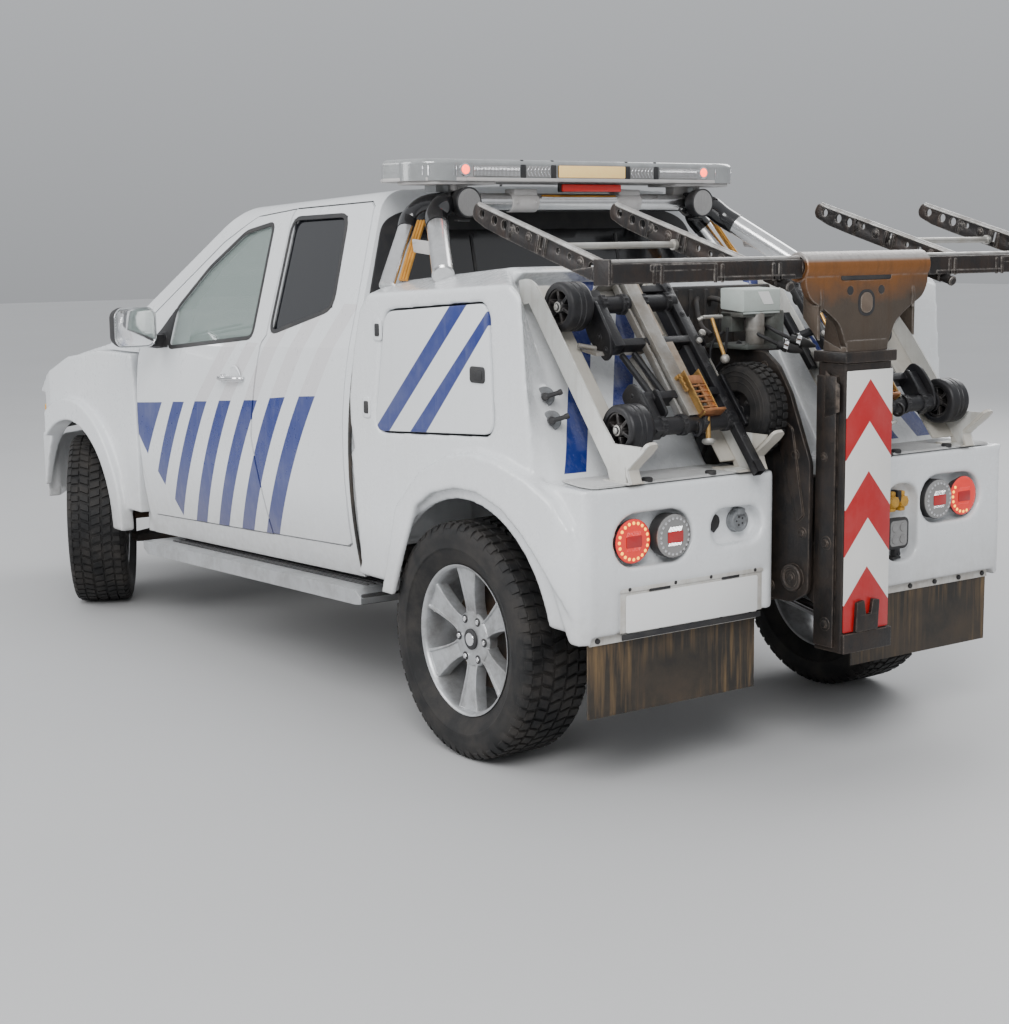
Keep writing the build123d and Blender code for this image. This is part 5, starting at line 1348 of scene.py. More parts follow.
mount.rod((X(-.700), -.1295, .600), (X(-.700), .1295, .600), .0195, 24)
for s in (1, -1):
    mount.plate(rounded([(X(.060), .591), (X(.060), .664), (X(.140), .664),
                         (X(.140), .591)], .008, 3), "side", s * .040,
                s * .052, r=.001)
mount.plate([(X(.060), -.349), (X(.140), -.349), (X(.140), .349),
             (X(.060), .349)], "plan", .6625, .6755, r=.002)
mount.done(angle=35)

cyl_a, cyl_b = Vector((X(.100), 0, .620)), Vector((X(-.800), 0, .450))
cd = (cyl_b - cyl_a).normalized()
bar_ = Piece("tilt_barrel_detail", "chassis", MAT["dark_paint"],
             ("tilt_barrel",))
bar_.lathe([(.018, .0), (.018, .033), (.022, .0348), (.500, .0348),
            (.503, .0349), (.543, .0349), (.545, .033), (.545, .0215),
            (.045, .0215), (.045, .0)], cyl_a, cd, 40)
bar_.rod(cyl_a + Vector((0, -.0355, 0)), cyl_a + Vector((0, .0355, 0)),
         .0258, 32)
for t in (.10, .44):
    q = cyl_a + cd * t
    bar_.lathe([(.030, .0), (.030, .011), (.046, .011), (.047, .009),
                (.047, .0)], q, Vector((cd.z, 0, -cd.x)) * -1, 12)
bar_.done()

# ------------------------------------------- light bar, sports bar, lamps
MAT["bar_dome"] = surface(
    "lamp_dome_clear", (0.33, 0.34, 0.34), 0.16, metal=0.25, coat=0.8, var=0.12,
    var_scale=20.0, grain=(180.0, 0.0004), rough_var=0.1)
MAT["amber_panel"] = glow("amber_panel", (0.85, 0.58, 0.24), (1.0, 0.62, 0.22),
                          0.30)
MAT["third_lamp"] = glow("third_lamp", (0.50, 0.02, 0.02), (1.0, 0.08, 0.05),
                         0.08)
MAT["gold_strip"] = surface(
    "gold_strip", (0.62, 0.30, 0.055), 0.3, metal=0.75, var=0.3,
    var_scale=16.0, grain=(120.0, 0.0005), grime=((0.20, 0.08, 0.02), 0.4, 14.0))
MAT["clamp_grey"] = surface(
    "clamp_grey", (0.50, 0.485, 0.475), 0.5, var=0.06, bevel=0.002,
    grain=(120.0, 0.0003), grime=((0.33, 0.30, 0.27), 0.35, 14.0))
dress("light_bar", MAT["bar_dome"])

base = Piece("bar_base", "chassis", MAT["clamp_grey"])
dark = Piece("bar_dividers", "chassis", MAT["black"])
opt = Piece("bar_optics", "chassis", MAT["chrome"])
lens = Piece("bar_lenses", "chassis", MAT["clear_lens"])
beac = Piece("bar_beacons", "chassis", MAT["lit_beacon"])
pan = Piece("bar_blank_panel", "chassis", MAT["amber_panel"])
XB = X(.456)
OUT = [(.4545, .575), (.4790, .681), (.5300, .714), (.580, .7295), (.661, .7415),
       (.742, .701), (.777, .560)]
outl = [(X(x), y) for x, y in OUT]
outl = outl + [(x, -y) for x, y in reversed(outl)]
base.plate(outl, "plan", 1.8305, 1.8425, r=.002)
for y0, y1 in ((-.515, .540),):
    base.box((XB - .0035, (y0 + y1) / 2, 1.8365), (.006, y1 - y0, .0115),
             r=.002)
# louvred left and right ends, modules, dividers
for s, ys in ((1, (.302, .171)), (-1, (-.160, -.294))):
    for y in ys:
        dark.box((XB + .004, y, 1.8645), (.016, .022, .046), r=.003)
        dark.box((XB + .060, y, 1.8980), (.110, .014, .012), r=.003)
    y0, y1 = min(map(abs, ys)) + .014, max(map(abs, ys)) - .014
    lens.box((XB - .0010, s * (y0 + y1) / 2, 1.8645), (.004, y1 - y0, .038),
             r=.002)
    for i in range(7):
        y = y0 + (y1 - y0) * (i + .5) / 7
        for k in (-1, 1):
            opt.box((XB - .0035, s * y, 1.8645 + k * .009),
                    (.0025, .0035, .018), r=.0006, seg=1,
                    rot=Matrix.Rotation(.55 * k, 4, 'X'))
    # long ribbed lens outboard
    y0, y1 = (.318, .510) if s > 0 else (.310, .490)
    lens.box((XB - .0010, s * (y0 + y1) / 2, 1.8645), (.004, y1 - y0, .038),
             r=.002)
    for i in range(34):
        y = y0 + (y1 - y0) * (i + .5) / 34
        opt.box((XB - .0034, s * y, 1.8645), (.0022, .0022, .032), r=.0005,
                seg=1)
    yb = .543 if s > 0 else -.521
    beac.lathe([(0, .0), (0, .0165), (.004, .0155), (.0075, .011), (.009, 0)],
               (XB - .0010, yb, 1.8690), (-1, 0, 0), 28)
    opt.lathe([(0, .0), (0, .022), (.003, .0225), (.004, .018), (.004, 0)],
              (XB + .0005, yb, 1.8680), (-1, 0, 0), 32)
    # reflectors of the end module, following the bend
    for i in range(10):
        t = i / 9
        a = (.4545 + (.4790 - .4545) * t, .580 + (.676 - .580) * t)
        b = Vector((X(a[0]) - .002, s * a[1], 1.8650))
        opt.box(b, (.003, .0040, .034), r=.0006, seg=1,
                rot=Matrix.Rotation(s * .23, 4, 'Z'))
        if i in (3, 6):
            dark.box(b + Vector((-.0012, s * .004, 0)), (.003, .0065, .036),
                     r=.001, seg=1)
    for i in range(8):
        t = i / 7
        a = (.490 + (.570 - .490) * t, .6885 + (.7240 - .6885) * t)
        opt.box((X(a[0]), s * (a[1] + .002), 1.8650), (.0040, .003, .034),
                r=.0006, seg=1)
    base.plate(rounded([(X(.470), s * .40), (X(.470), s * .66),
                        (X(.560), s * .715), (X(.640), s * .70),
                        (X(.640), s * .40)], .02, 4), "plan", 1.820, 1.8300,
               r=.002)
    base.rod((X(.520), s * .545, 1.800), (X(.520), s * .545, 1.822), .012, 20)
pan.box((XB - .0010, 0, 1.8655), (.005, .298, .041), r=.003)
dark.box((XB + .003, 0, 1.8655), (.006, .312, .046), r=.003)
# seam lines over the top
for y in (-.45, -.05, .05, .45):
    dark.box((X(.62), y, 1.9035), (.30, .003, .0022), r=.0008, seg=1)
for p_ in (base, dark, opt, lens, beac, pan):
    p_.done(angle=38)
tl = Piece("third_brake_lamp", "chassis", MAT["third_lamp"])
tl.box((X(.4990), -.0305, 1.8110), (.014, .263, .025), r=.004)
tl.done()
tb = Piece("third_lamp_housing", "chassis", MAT["black"])
tb.box((X(.5120), -.0305, 1.8115), (.018, .275, .030), r=.004)
tb.done()

# sports bar: hoop, clamps, legs with black elbows, strip and blank plaque
hoop = Piece("hoop_tube", "chassis", MAT["polished"], ("sports_bar",))
elb = Piece("hoop_elbows", "chassis", MAT["black_gloss"])
clp = Piece("hoop_clamps", "chassis", MAT["clamp_grey"])
gold = Piece("leg_strips", "chassis", MAT["gold_strip"])
hoop.rod((X(.560), -.560, 1.762), (X(.560), .560, 1.762), .0315, 40)
for s in (1, -1):
    for (fx, fz, tx, tz, fy, ty) in ((.560, 1.523, .640, 1.716, .770, .640),
                                     (.262, 1.555, .490, 1.716, .770, .640)):
        a = Vector((X(fx), s * fy, fz))
        b = Vector((X(tx), s * ty, tz))
        c = a.lerp(b, .80)
        ax_ = (c - a).normalized()
        wide = .046 if fx < .4 else .044
        # round section; the turn for an oval one, wide along the vehicle, is worked out
        # but not used
        rot = Matrix((ax_, Vector((0, 0, 1)).cross(ax_).normalized(),
                      ax_.cross(Vector((0, 0, 1)).cross(ax_)))).transposed()
        hoop.rod(a - ax_ * .060, c, wide * .80, 36)
        # elbow that runs up and in to the hoop
        top = Vector((X(.560 if fx > .4 else .540), s * (.560 if fx > .4
                                                        else .540), 1.760))
        mid = b + Vector((0, 0, .022))
        elb.tube([c - ax_ * .010, b - ax_ * .010, mid.lerp(top, .35),
                  top + Vector((0, s * .012, -.002)),
                  top + Vector((0, -s * .030, 0))], wide * .86, 24, 8)
    # clamps round the hoop and the brackets up to the light bar
    for y0, y1 in (((.176, .297),) if s > 0 else ((.172, .290),)):
        clp.rod((X(.560), s * y0, 1.762), (X(.560), s * y1, 1.762), .0345, 40)
        clp.box((X(.560), s * (y0 + y1) / 2, 1.797), (.060, .100, .022), r=.004)
        clp.bolt((X(.5255), s * (y0 + .02), 1.762), (-1, 0, 0), .006, .003)
        clp.bolt((X(.5255), s * (y1 - .02), 1.762), (-1, 0, 0), .006, .003)
    clp.box((X(.580), s * .500, 1.806), (.050, .070, .044), r=.003)
    # strips between the legs and the plate without lettering
    for k in range(3):
        gold.tube([(X(.497 - .012 * k), s * (.782 - .004 * k), 1.505),
                   (X(.535 - .012 * k), s * (.722 - .004 * k), 1.600),
                   (X(.568 - .012 * k), s * (.660 - .004 * k), 1.700)], .0062,
                  12)
    m0 = Vector((X(.395), s * .738, 1.615))
    clp.plate(rounded([(X(.318), 1.583), (X(.470), 1.596), (X(.480), 1.640),
                       (X(.330), 1.628)], .008, 3), "side", s * .7400,
              s * .7450, r=.001)
    for bx, bz in ((.335, 1.594), (.460, 1.604), (.345, 1.620), (.466, 1.630)):
        clp.bolt((X(bx), s * .7450, bz), (0, s, 0), .0045, .002)
hoop.rod((X(.5295), -.17, 1.778), (X(.5295), .17, 1.778), .0045, 10)
hoop.done(angle=40)
elb.done(angle=40)
clp.done()
gold.done()
gs = Piece("hoop_gold_line", "chassis", MAT["gold_strip"])
gs.rod((X(.5330), -.165, 1.783), (X(.5330), .165, 1.783), .0055, 12)
gs.done()

# round work lamps under the bar
wl = Piece("bar_work_lamp_glass", "chassis", MAT["clear_lens"],
           ("rear_lamps",))
wb = Piece("bar_work_lamps", "chassis", MAT["black"])
for y in (.525, -.525):
    c = (X(.520), y, 1.760)
    wb.lathe([(0, 0), (0, .036), (.014, .046), (.046, .051), (.060, .0515),
              (.062, .050), (.062, .047), (.056, .046), (.056, 0)], c,
             (-1, 0, 0), 56)
    wl.lathe([(.056, .0470), (.0600, .0460), (.0612, .0400), (.0612, 0)], c,
             (-1, 0, 0), 56)
    for i in range(11):
        t = -.036 + .0072 * i
        h = math.sqrt(max(0, .043 ** 2 - t * t))
        wl.box((X(.520) - .0614, y + t, 1.760), (.0016, .0026, 2 * h), r=.0004,
               seg=1)
    wb.box((X(.505), y, 1.700), (.024, .050, .008), r=.002)
    wb.tube([(X(.52), y, 1.745), (X(.53), y * .96, 1.715),
             (X(.545), y * .92, 1.735)], .0045, 10)
wl.done()
wb.done()

# dark back of the cab: large window, black seal and wall behind the bar
def back(y, z, n):
    return Vector((X(.655) + (z - 1.25) * .2328 - n, y, z))


MAT["back_glass"] = glass("back_glass", (0.010, 0.011, 0.013), 0.97)
bw_ = Piece("cab_back_trim", "chassis", MAT["black"])
bg_ = Piece("cab_back_glass", "chassis", MAT["black_gloss"])


def leaning(p, pts, n0, n1, r=.0):
    """Plate that lies on the leaning wall, points are (y, z)."""
    bm = bmesh.new()
    lo = [bm.verts.new(back(y, z, n0)) for y, z in pts]
    hi = [bm.verts.new(back(y, z, n1)) for y, z in pts]
    bm.faces.new(lo)
    bm.faces.new(list(reversed(hi)))
    k = len(pts)
    for i in range(k):
        bm.faces.new((lo[i], hi[i], hi[(i + 1) % k], lo[(i + 1) % k]))
    bmesh.ops.recalc_face_normals(bm, faces=bm.faces[:])
    if r:
        es = [e for e in bm.edges if all(v in hi for v in e.verts)]
        bmesh.ops.bevel(bm, geom=es, offset=r, segments=2, affect='EDGES')
    p.take(bm)


wall = rounded([(-.800, 1.360), (.800, 1.360), (.785, 1.440), (.690, 1.700),
                (.600, 1.738), (-.600, 1.738), (-.690, 1.700),
                (-.785, 1.440)], .055, 6)
leaning(bw_, wall, .0005, .0045, .0015)
pane_ = rounded([(-.690, 1.395), (.690, 1.395), (.660, 1.470), (.600, 1.670),
                 (-.600, 1.670), (-.660, 1.470)], .050, 6)
leaning(bg_, pane_, .0045, .0085, .002)
for s in (1, -1):
    bw_.box(back(s * .33, 1.53, .0100), (.006, .012, .250), r=.002,
            rot=Matrix.Rotation(.2288, 4, 'Y'))
bw_.done()
bg_.done()

# ------------------------------------------------------- rear lamps, plate
MAT["led_dot"] = glow("led_dot", (0.9, 0.45, 0.05), (1.0, 0.40, 0.03), 2.6)
MAT["lit_lens"] = glow("lit_lens", (0.55, 0.03, 0.025), (1.0, 0.05, 0.03), 0.35)
MAT["red_patch"] = surface(
    "red_patch", (0.46, 0.012, 0.014), 0.25, coat=0.6, var=0.1,
    grain=(500.0, 0.0002))
MAT["white_trim"] = surface(
    "white_trim", (0.60, 0.59, 0.56), 0.45, var=0.04, bevel=0.001,
    grain=(60.0, 0.0003), grime=((0.33, 0.27, 0.21), 0.5, 14.0),
    streak=((0.30, 0.24, 0.18), 0.4))
MAT["plate_white"] = surface(
    "plate_white", (0.80, 0.80, 0.79), 0.3, var=0.02, grain=(300.0, 0.0001),
    rough_var=0.06)
MAT["yellow_plug"] = surface(
    "yellow_plug", (0.62, 0.33, 0.035), 0.42, var=0.12, bevel=0.0015,
    grain=(400.0, 0.0003), grime=((0.25, 0.14, 0.04), 0.5, 22.0))


def flap_finish(g, col):
    """Tan dirt that has run down the flaps."""
    n = g.noise(5.5, 5.0, 0.62, stretch=(1.0, 9.0, 0.55))
    big = g.noise(3.4, 3.0, 0.5)
    m = g.math('MULTIPLY', g.ramp(n, 0.47, 0.70), g.ramp(big, 0.40, 0.60))
    return g.mix(g.math('MULTIPLY', m, 0.75), col, (0.22, 0.135, 0.055))


MAT["flap"] = surface(
    "mudflap_rubber", (0.022, 0.018, 0.014), 0.42, var=0.3, var_scale=5.0,
    grain=(60.0, 0.0004), bevel=0.001, spec=0.45, finish=flap_finish,
    grime=((0.075, 0.052, 0.032), 0.5, 5.0))
dress("mudflaps", MAT["flap"])

black = Piece("lamp_housings", "chassis", MAT["black"], ("rear_lamps",))
clear = Piece("lamp_lenses_clear", "chassis", MAT["clear_lens"])
ribbing = Piece("lamp_ribs", "chassis", MAT["chrome"])
lit = Piece("lamp_lenses_lit", "chassis", MAT["lit_lens"])
dots = Piece("lamp_leds", "chassis", MAT["led_dot"])
patch = Piece("lamp_reflectors", "chassis", MAT["red_patch"])


def ribs(p, yc, zc, x, r, n=9, r0=0.0):
    """Slanting ribs on a round lens, above and below its middle band."""
    for k in (-1, 1):
        for i in range(n):
            t = (i - (n - 1) / 2) * r * 1.25 / n
            p.box((x, yc + t, zc + k * r * .52), (.003, r * .055, r * .42),
                  r=.0006, seg=1, rot=Matrix.Rotation(.45, 4, 'X'))


for s in (1, -1):
    # outer lamp, lit
    y, z, xf = s * .717, .768, -.634
    black.lathe([(0, .0), (0, .050), (.020, .060), (.030, .0655), (.036, .0655),
                 (.036, .0)], (X(-.602), y, z), (-1, 0, 0), 56)
    lit.lathe([(0, .0655), (.004, .0650), (.007, .0600), (.0085, .048),
               (.0085, .0)], (X(xf), y, z), (-1, 0, 0), 64)
    ribs(lit, y, z, X(xf - .0090), .042)
    n = 20
    for i in range(n):
        if s < 0 and not (i in (0, 1, 19, 18, 14, 15, 16, 17, 2)):
            continue
        a = 2 * math.pi * i / n
        dots.lathe([(0, .0052), (.0016, .0048), (.0026, .0030), (.0030, 0)],
                   (X(xf - .0070), y + .0535 * math.cos(a),
                    z + .0535 * math.sin(a)), (-1, 0, 0), 14)
    patch.plate(slot_ring(y, z - .001, .058, .034, .004, 4), "cross",
                X(xf - .0085), X(xf - .0115), r=.0008)
    # inner lamp, not lit, standing out of its black housing
    y, z, xf = s * .575, .771, -.650
    black.lathe([(0, .0), (0, .052), (.010, .0645), (.049, .0665),
                 (.051, .0655), (.051, .0)], (X(-.602), y, z), (-1, 0, 0), 64)
    clear.lathe([(0, .0655), (.006, .0645), (.0095, .0600), (.0110, .046),
                 (.0110, .0)], (X(xf), y, z), (-1, 0, 0), 64)
    ribs(ribbing, y, z, X(xf - .0115), .040)
    for i in range(22):
        a = 2 * math.pi * i / 22
        ribbing.lathe([(0, .0050), (.0016, .0046), (.0028, 0)],
                    (X(xf - .0088), y + .0535 * math.cos(a),
                     z + .0535 * math.sin(a)), (-1, 0, 0), 12)
    patch.plate(slot_ring(y, z - .002, .058, .034, .004, 4), "cross",
                X(xf - .0110), X(xf - .0140), r=.0008)
black.done()
ribbing.done()
lit.done()
dots.done()
patch.done()

# contents of the pockets: a black disc as painted shade of a hole, and a socket on the
# left, plugs on the right
dark = Piece("pocket_fittings", "chassis", MAT["black"])
dark.lathe([(0, .0), (0, .024), (.003, .024), (.0032, .018), (.0032, .0)],
           (X(-.6005), .372, .785), (-1, 0, 0), 20)
dark.plate([(.352, .770), (.372, .752), (.394, .770), (.392, .800),
            (.366, .806)], "cross", X(-.6010), X(-.6050), r=.001)
grey_ = Piece("pocket_socket", "chassis", MAT["grey"])
grey_.lathe([(0, .036), (.006, .036), (.008, .034), (.024, .033),
             (.026, .031), (.026, .024), (.022, .023), (.022, .0)],
            (X(-.6010), .284, .782), (-1, 0, 0), 40)
grey_.plate(slot_ring(.284, .812, .030, .020, .005), "cross", X(-.604),
            X(-.632), r=.002)
# black dots on the socket's face: painted shade of its pin holes
for i in range(5):
    a = 2 * math.pi * i / 5
    dark.lathe([(0, .0032), (.001, .0032), (.0012, 0)],
               (X(-.6231), .284 + .013 * math.cos(a), .782 + .013 * math.sin(a)),
               (-1, 0, 0), 10)
# work lamp with four lenses on a bracket
sy, sz = -.405, .672
dark.plate(slot_ring(sy, sz, .092, .098, .020), "cross", X(-.612), X(-.640),
           r=.004, seg=3)
dark.plate(slot_ring(sy, sz, .098, .104, .022), "cross", X(-.634), X(-.6385),
           r=.0015, holes=[slot_ring(sy, sz, .076, .082, .014)])
for i in range(6):
    dark.box((X(-.606), sy - .035 + i * .014, sz), (.016, .004, .074), r=.001)
dark.box((X(-.626), sy, sz - .062), (.022, .026, .030), r=.003)
dark.box((X(-.618), sy + .002, sz - .082), (.036, .040, .008), r=.002)
dark.bolt((X(-.6375), sy, sz - .068), (-1, 0, 0), .007, .005)
glassy = Piece("work_lamp_lenses", "chassis", MAT["clear_lens"])
glassy.plate(slot_ring(sy, sz, .078, .084, .013), "cross", X(-.6390),
             X(-.6405), r=.0005)
for ky in (-1, 1):
    for kz in (-1, 1):
        glassy.lathe([(0, .0155), (.003, .0140), (.0045, .009), (.005, .0)],
                     (X(-.6404), sy + ky * .0185, sz + kz * .0195),
                     (-1, 0, 0), 20)
yl = Piece("yellow_plugs", "chassis", MAT["yellow_plug"])
for ky in (-.388, -.432):
    yl.lathe([(0, .0), (0, .017), (.004, .0195), (.030, .0195), (.036, .0175),
              (.040, .012), (.041, .0)], (X(-.603), ky, .775), (-1, 0, 0), 32)
    yl.box((X(-.618), ky, .801), (.026, .020, .016), r=.004)
    yl.box((X(-.618), ky, .750), (.026, .024, .014), r=.004)
    for a in range(8):
        t = 2 * math.pi * a / 8
        yl.box((X(-.622), ky + .0195 * math.cos(t), .775 + .0195 * math.sin(t)),
               (.030, .004, .004), r=.001)
dark.box((X(-.620), -.410, .792), (.034, .018, .040), r=.003)
dark.tube([(X(-.625), -.405, .628), (X(-.615), -.380, .640),
           (X(-.606), -.366, .690), (X(-.602), -.370, .745)], .0042, 10)
dark.done()
grey_.done()
yl.done()
clear.done()
glassy.done()

# number plate without characters, on a bracket in the left recess
pb = Piece("plate_bracket", "chassis", MAT["white_trim"])
pb.box((X(-.6415), .488, .568), (.003, .560, .134), r=.001)
pb.box((X(-.6440), .488, .628), (.005, .566, .016), r=.0015)
pp = Piece("blank_plate", "chassis", MAT["plate_white"])
pp.plate(slot_ring(.490, .556, .520, .112, .008), "cross", X(-.6450),
         X(-.6475), r=.0008)
pp.done()
pk = Piece("plate_screws", "chassis", MAT["black"])
for y in (.24, .42, .56, .735):
    pk.bolt((X(-.6462), y, .6285), (-1, 0, 0), .0035, .002)
pk.box((X(-.6440), .62, .6185), (.006, .080, .008), r=.001)
pk.box((X(-.6440), .34, .6185), (.006, .070, .008), r=.001)
pk.plate([(.216, .480), (.764, .480), (.764, .497), (.216, .497)], "cross",
         X(-.6428), X(-.6468), r=.001)
# white strips that hold the flaps, with black bolts
for s in (1, -1):
    pb.box((X(-.6225), s * .541, .487), (.005, .654, .030), r=.0012)
    pb.box((X(-.6160), s * .541, .5015), (.020, .654, .004), r=.001)
    for k in range(6):
        y = .240 + .120 * k
        pk.lathe([(0, .0), (0, .0085), (.0055, .0080), (.0070, .006),
                  (.0070, 0)], (X(-.6248), s * y, .486), (-1, 0, 0), 18)
pb.done()
pk.done()
# bolts inside the boom bay, seen between the bumpers
bb_ = Piece("bay_bolts", "chassis", MAT["cast"])
for s in (1, -1):
    bb_.lathe([(0, .0), (0, .036), (.006, .036), (.008, .030), (.012, .030),
               (.012, .018), (.020, .017), (.020, .0)],
              (X(-.52), s * .1300, .690), (0, s, 0), 32)
bb_.done()

# ------------------------------------------------- dollies, rails, hand pump
RT, RU, RN = (-.122, 1.505), (-.62794, -.77826), (-.77826, .62794)
SLOPE = Matrix(((RU[0], 0, RN[0]), (0, -1, 0), (RU[1], 0, RN[1]))).to_4x4()


def sl(s, n):
    """Point s down the rails and n out of them, in side view."""
    return (X(RT[0] + RU[0] * s + RN[0] * n), RT[1] + RU[1] * s + RN[1] * n)


def on(s, y, n):
    a, b = sl(s, n)
    return Vector((a, y, b))


def sloped(p, s0, s1, y0, y1, n0, n1, r=.002, seg=2):
    """Box that lies along the rails."""
    c = on((s0 + s1) / 2, (y0 + y1) / 2, (n0 + n1) / 2)
    p.box(c, (abs(s1 - s0), abs(y1 - y0), abs(n1 - n0)), r=r, rot=SLOPE,
          seg=seg)


def rail_finish(g, col):
    """Beige on the webs and on the underside of the ears."""
    n = g.math('ADD', g.math('MULTIPLY', g.axis(0), RN[0]),
               g.math('MULTIPLY', g.axis(2), RN[1]))
    n0 = X(RT[0]) * RN[0] + RT[1] * RN[1]
    ay = g.math('ABSOLUTE', g.axis(1))
    web = g.ramp(n, n0 + .0115, n0 + .0105)
    web = g.math('MULTIPLY', web, g.ramp(ay, .7382, .7378))
    web = g.math('MULTIPLY', web, g.ramp(g.axis(2), 1.505, 1.480))
    ear = g.math('MULTIPLY', g.ramp(g.axis(0), X(-.640), X(-.648)),
                 g.ramp(ay, .7385, .7375))
    m = g.math('MAXIMUM', web, ear)
    v = g.noise(9.0, 4.0, 0.6)
    tan = g.mix(v, (0.36, 0.315, 0.245), (0.50, 0.44, 0.34))
    return g.mix(g.math('MULTIPLY', m, .55), col, tan)


MAT["rails"] = surface(
    "rail_white_dirty", (0.70, 0.70, 0.67), 0.40, coat=0.15, var=0.05,
    var_scale=6.0, grain=(90.0, 0.0004), bevel=0.0015, finish=rail_finish,
    edge=((0.20, 0.16, 0.12), 0.35), grime=((0.42, 0.38, 0.32), 0.3, 8.0),
    streak=((0.34, 0.29, 0.22), 0.25))
dress("dolly_rails", MAT["rails"])
# lighter edges: painted edge highlight together with wear
MAT["galv"] = surface(
    "galvanised", (0.33, 0.32, 0.30), 0.48, metal=0.55, var=0.22,
    var_scale=11.0, grain=(130.0, 0.0006), bevel=0.001,
    grime=((0.20, 0.155, 0.11), 0.6, 10.0), edge=((0.60, 0.59, 0.56), 0.6))
MAT["tan_steel"] = surface(
    "tan_steel", (0.36, 0.30, 0.235), 0.55, metal=0.25, var=0.2, var_scale=13.0,
    grain=(150.0, 0.0006), bevel=0.001, grime=((0.15, 0.09, 0.055), 0.6, 14.0))
# lighter edges: painted edge highlight together with wear
MAT["copper"] = surface(
    "copper_zinc", (0.44, 0.19, 0.085), 0.36, metal=0.7, var=0.25,
    var_scale=22.0, grain=(150.0, 0.0005), bevel=0.0008,
    edge=((0.80, 0.45, 0.20), 0.6), grime=((0.10, 0.045, 0.025), 0.5, 24.0))
# lighter edges: painted edge highlight together with paint rubbed through
MAT["dolly_black"] = surface(
    "dolly_black", (0.008, 0.008, 0.010), 0.42, var=0.3, var_scale=8.0,
    grain=(140.0, 0.0007), bevel=0.0015, edge=((0.07, 0.068, 0.07), 0.7),
    grime=((0.026, 0.023, 0.022), 0.45, 12.0))
# lighter edges: painted edge highlight together with wear
MAT["hub_grey"] = surface(
    "hub_grey", (0.014, 0.014, 0.016), 0.4, metal=0.3, var=0.25,
    grain=(200.0, 0.0004), bevel=0.0012, edge=((0.22, 0.21, 0.20), 0.7),
    grime=((0.07, 0.055, 0.045), 0.5, 16.0))
MAT["pump_cover"] = surface(
    "pump_cover", (0.47, 0.52, 0.49), 0.42, var=0.05, bevel=0.003,
    grain=(60.0, 0.0004), grime=((0.30, 0.30, 0.27), 0.35, 10.0))
MAT["pump_block"] = surface(
    "pump_block", (0.115, 0.125, 0.115), 0.5, metal=0.3, var=0.2, bevel=0.003,
    grain=(120.0, 0.0006), grime=((0.05, 0.035, 0.025), 0.6, 14.0))

# small wheels: tyre, dished hub with six spokes
for wname, (ws, wn) in (("upper", (.163, .090)), ("lower", (.611, .090))):
    for side_name, s in (("left", 1), ("right", -1)):
        body = "dolly_" + wname + "_" + side_name
        c = on(ws, s * .684, wn)
        t = Piece("small_tyre_" + wname + "_" + side_name, body, MAT["dolly_black"],
                  ("dolly_wheel_" + wname + "_" + side_name,))
        t.lathe([(-.043, .0545), (-.043, .064), (-.041, .0705), (-.036, .0742),
                 (-.030, .0750), (-.012, .0750), (-.0105, .0732),
                 (-.0075, .0732), (-.006, .0750), (.006, .0750),
                 (.0075, .0732), (.0105, .0732), (.012, .0750),
                 (.030, .0750), (.036, .0742), (.041, .0705), (.043, .064),
                 (.043, .0545), (.038, .0530), (-.038, .0530)], c, (0, s, 0),
                96, close=True)
        t.done(angle=40)
        h = Piece("small_hub_" + wname + "_" + side_name, body,
                  MAT["hub_grey"])
        h.lathe([(-.038, .0455), (-.038, .0528), (.038, .0528), (.038, .0492),
                 (.034, .0470), (.010, .0445), (-.010, .0445)], c, (0, s, 0),
                64, close=True)
        h.lathe([(.004, .0135), (.004, .0450), (-.004, .0450), (-.004, .0135)],
                c, (0, s, 0), 48, close=True)
        h.lathe([(-.040, .0128), (-.040, .020), (.036, .0205), (.040, .0175),
                 (.040, .0128)], c, (0, s, 0), 40, close=True)
        for i in range(6):
            a = math.radians(20 + 60 * i)
            for k in (-1, 1):
                h.box(c + Vector((.0325 * math.cos(a), s * k * .022,
                                  .0325 * math.sin(a))),
                      (.030, .028, .0105), r=.002,
                      rot=Matrix.Rotation(-a, 4, 'Y'))
        h.done(angle=40)

fr = Piece("dolly_frame_bars", "chassis", MAT["dolly_black"],
           ("dolly_frames",))
gv = Piece("dolly_frame_zinc", "chassis", MAT["galv"])
tn = Piece("dolly_frame_tan", "chassis", MAT["tan_steel"])
bz = Piece("dolly_ratchet", "chassis", MAT["brass_zinc"])
cu = Piece("dolly_ratchet_face", "chassis", MAT["copper"])
bw = Piece("dolly_bright_parts", "chassis", MAT["zinc"])
for ws, wn in ((.163, .090), (.611, .090)):
    a, b = sl(ws, wn)
    fr.rod((a, .270, b), (a, .629, b), .0268, 36)
    fr.rod((a, .628, b), (a, .731, b), .0112, 24)
    fr.lathe([(0, .034), (.010, .034), (.012, .031), (.012, 0)],
             (a, .612, b), (0, 1, 0), 32)
    fr.lathe([(0, .033), (.008, .033), (.008, 0)], (a, .470, b), (0, 1, 0), 32)
    bw.bolt((a, .7262, b), (0, 1, 0), .0095, .0065)
    # clamps with teeth where the tube meets the beams
    for y in (.30, .395, .475, .555):
        fr.lathe([(0, .0268), (0, .0315), (.016, .0315), (.016, .0268)],
                 (a, y, b), (0, 1, 0), 28)
        for i in range(3):
            t = 2.0 + .5 * i
            fr.box((a + .030 * math.cos(t), y + .008, b + .030 * math.sin(t)),
                   (.010, .014, .008), r=.0015)
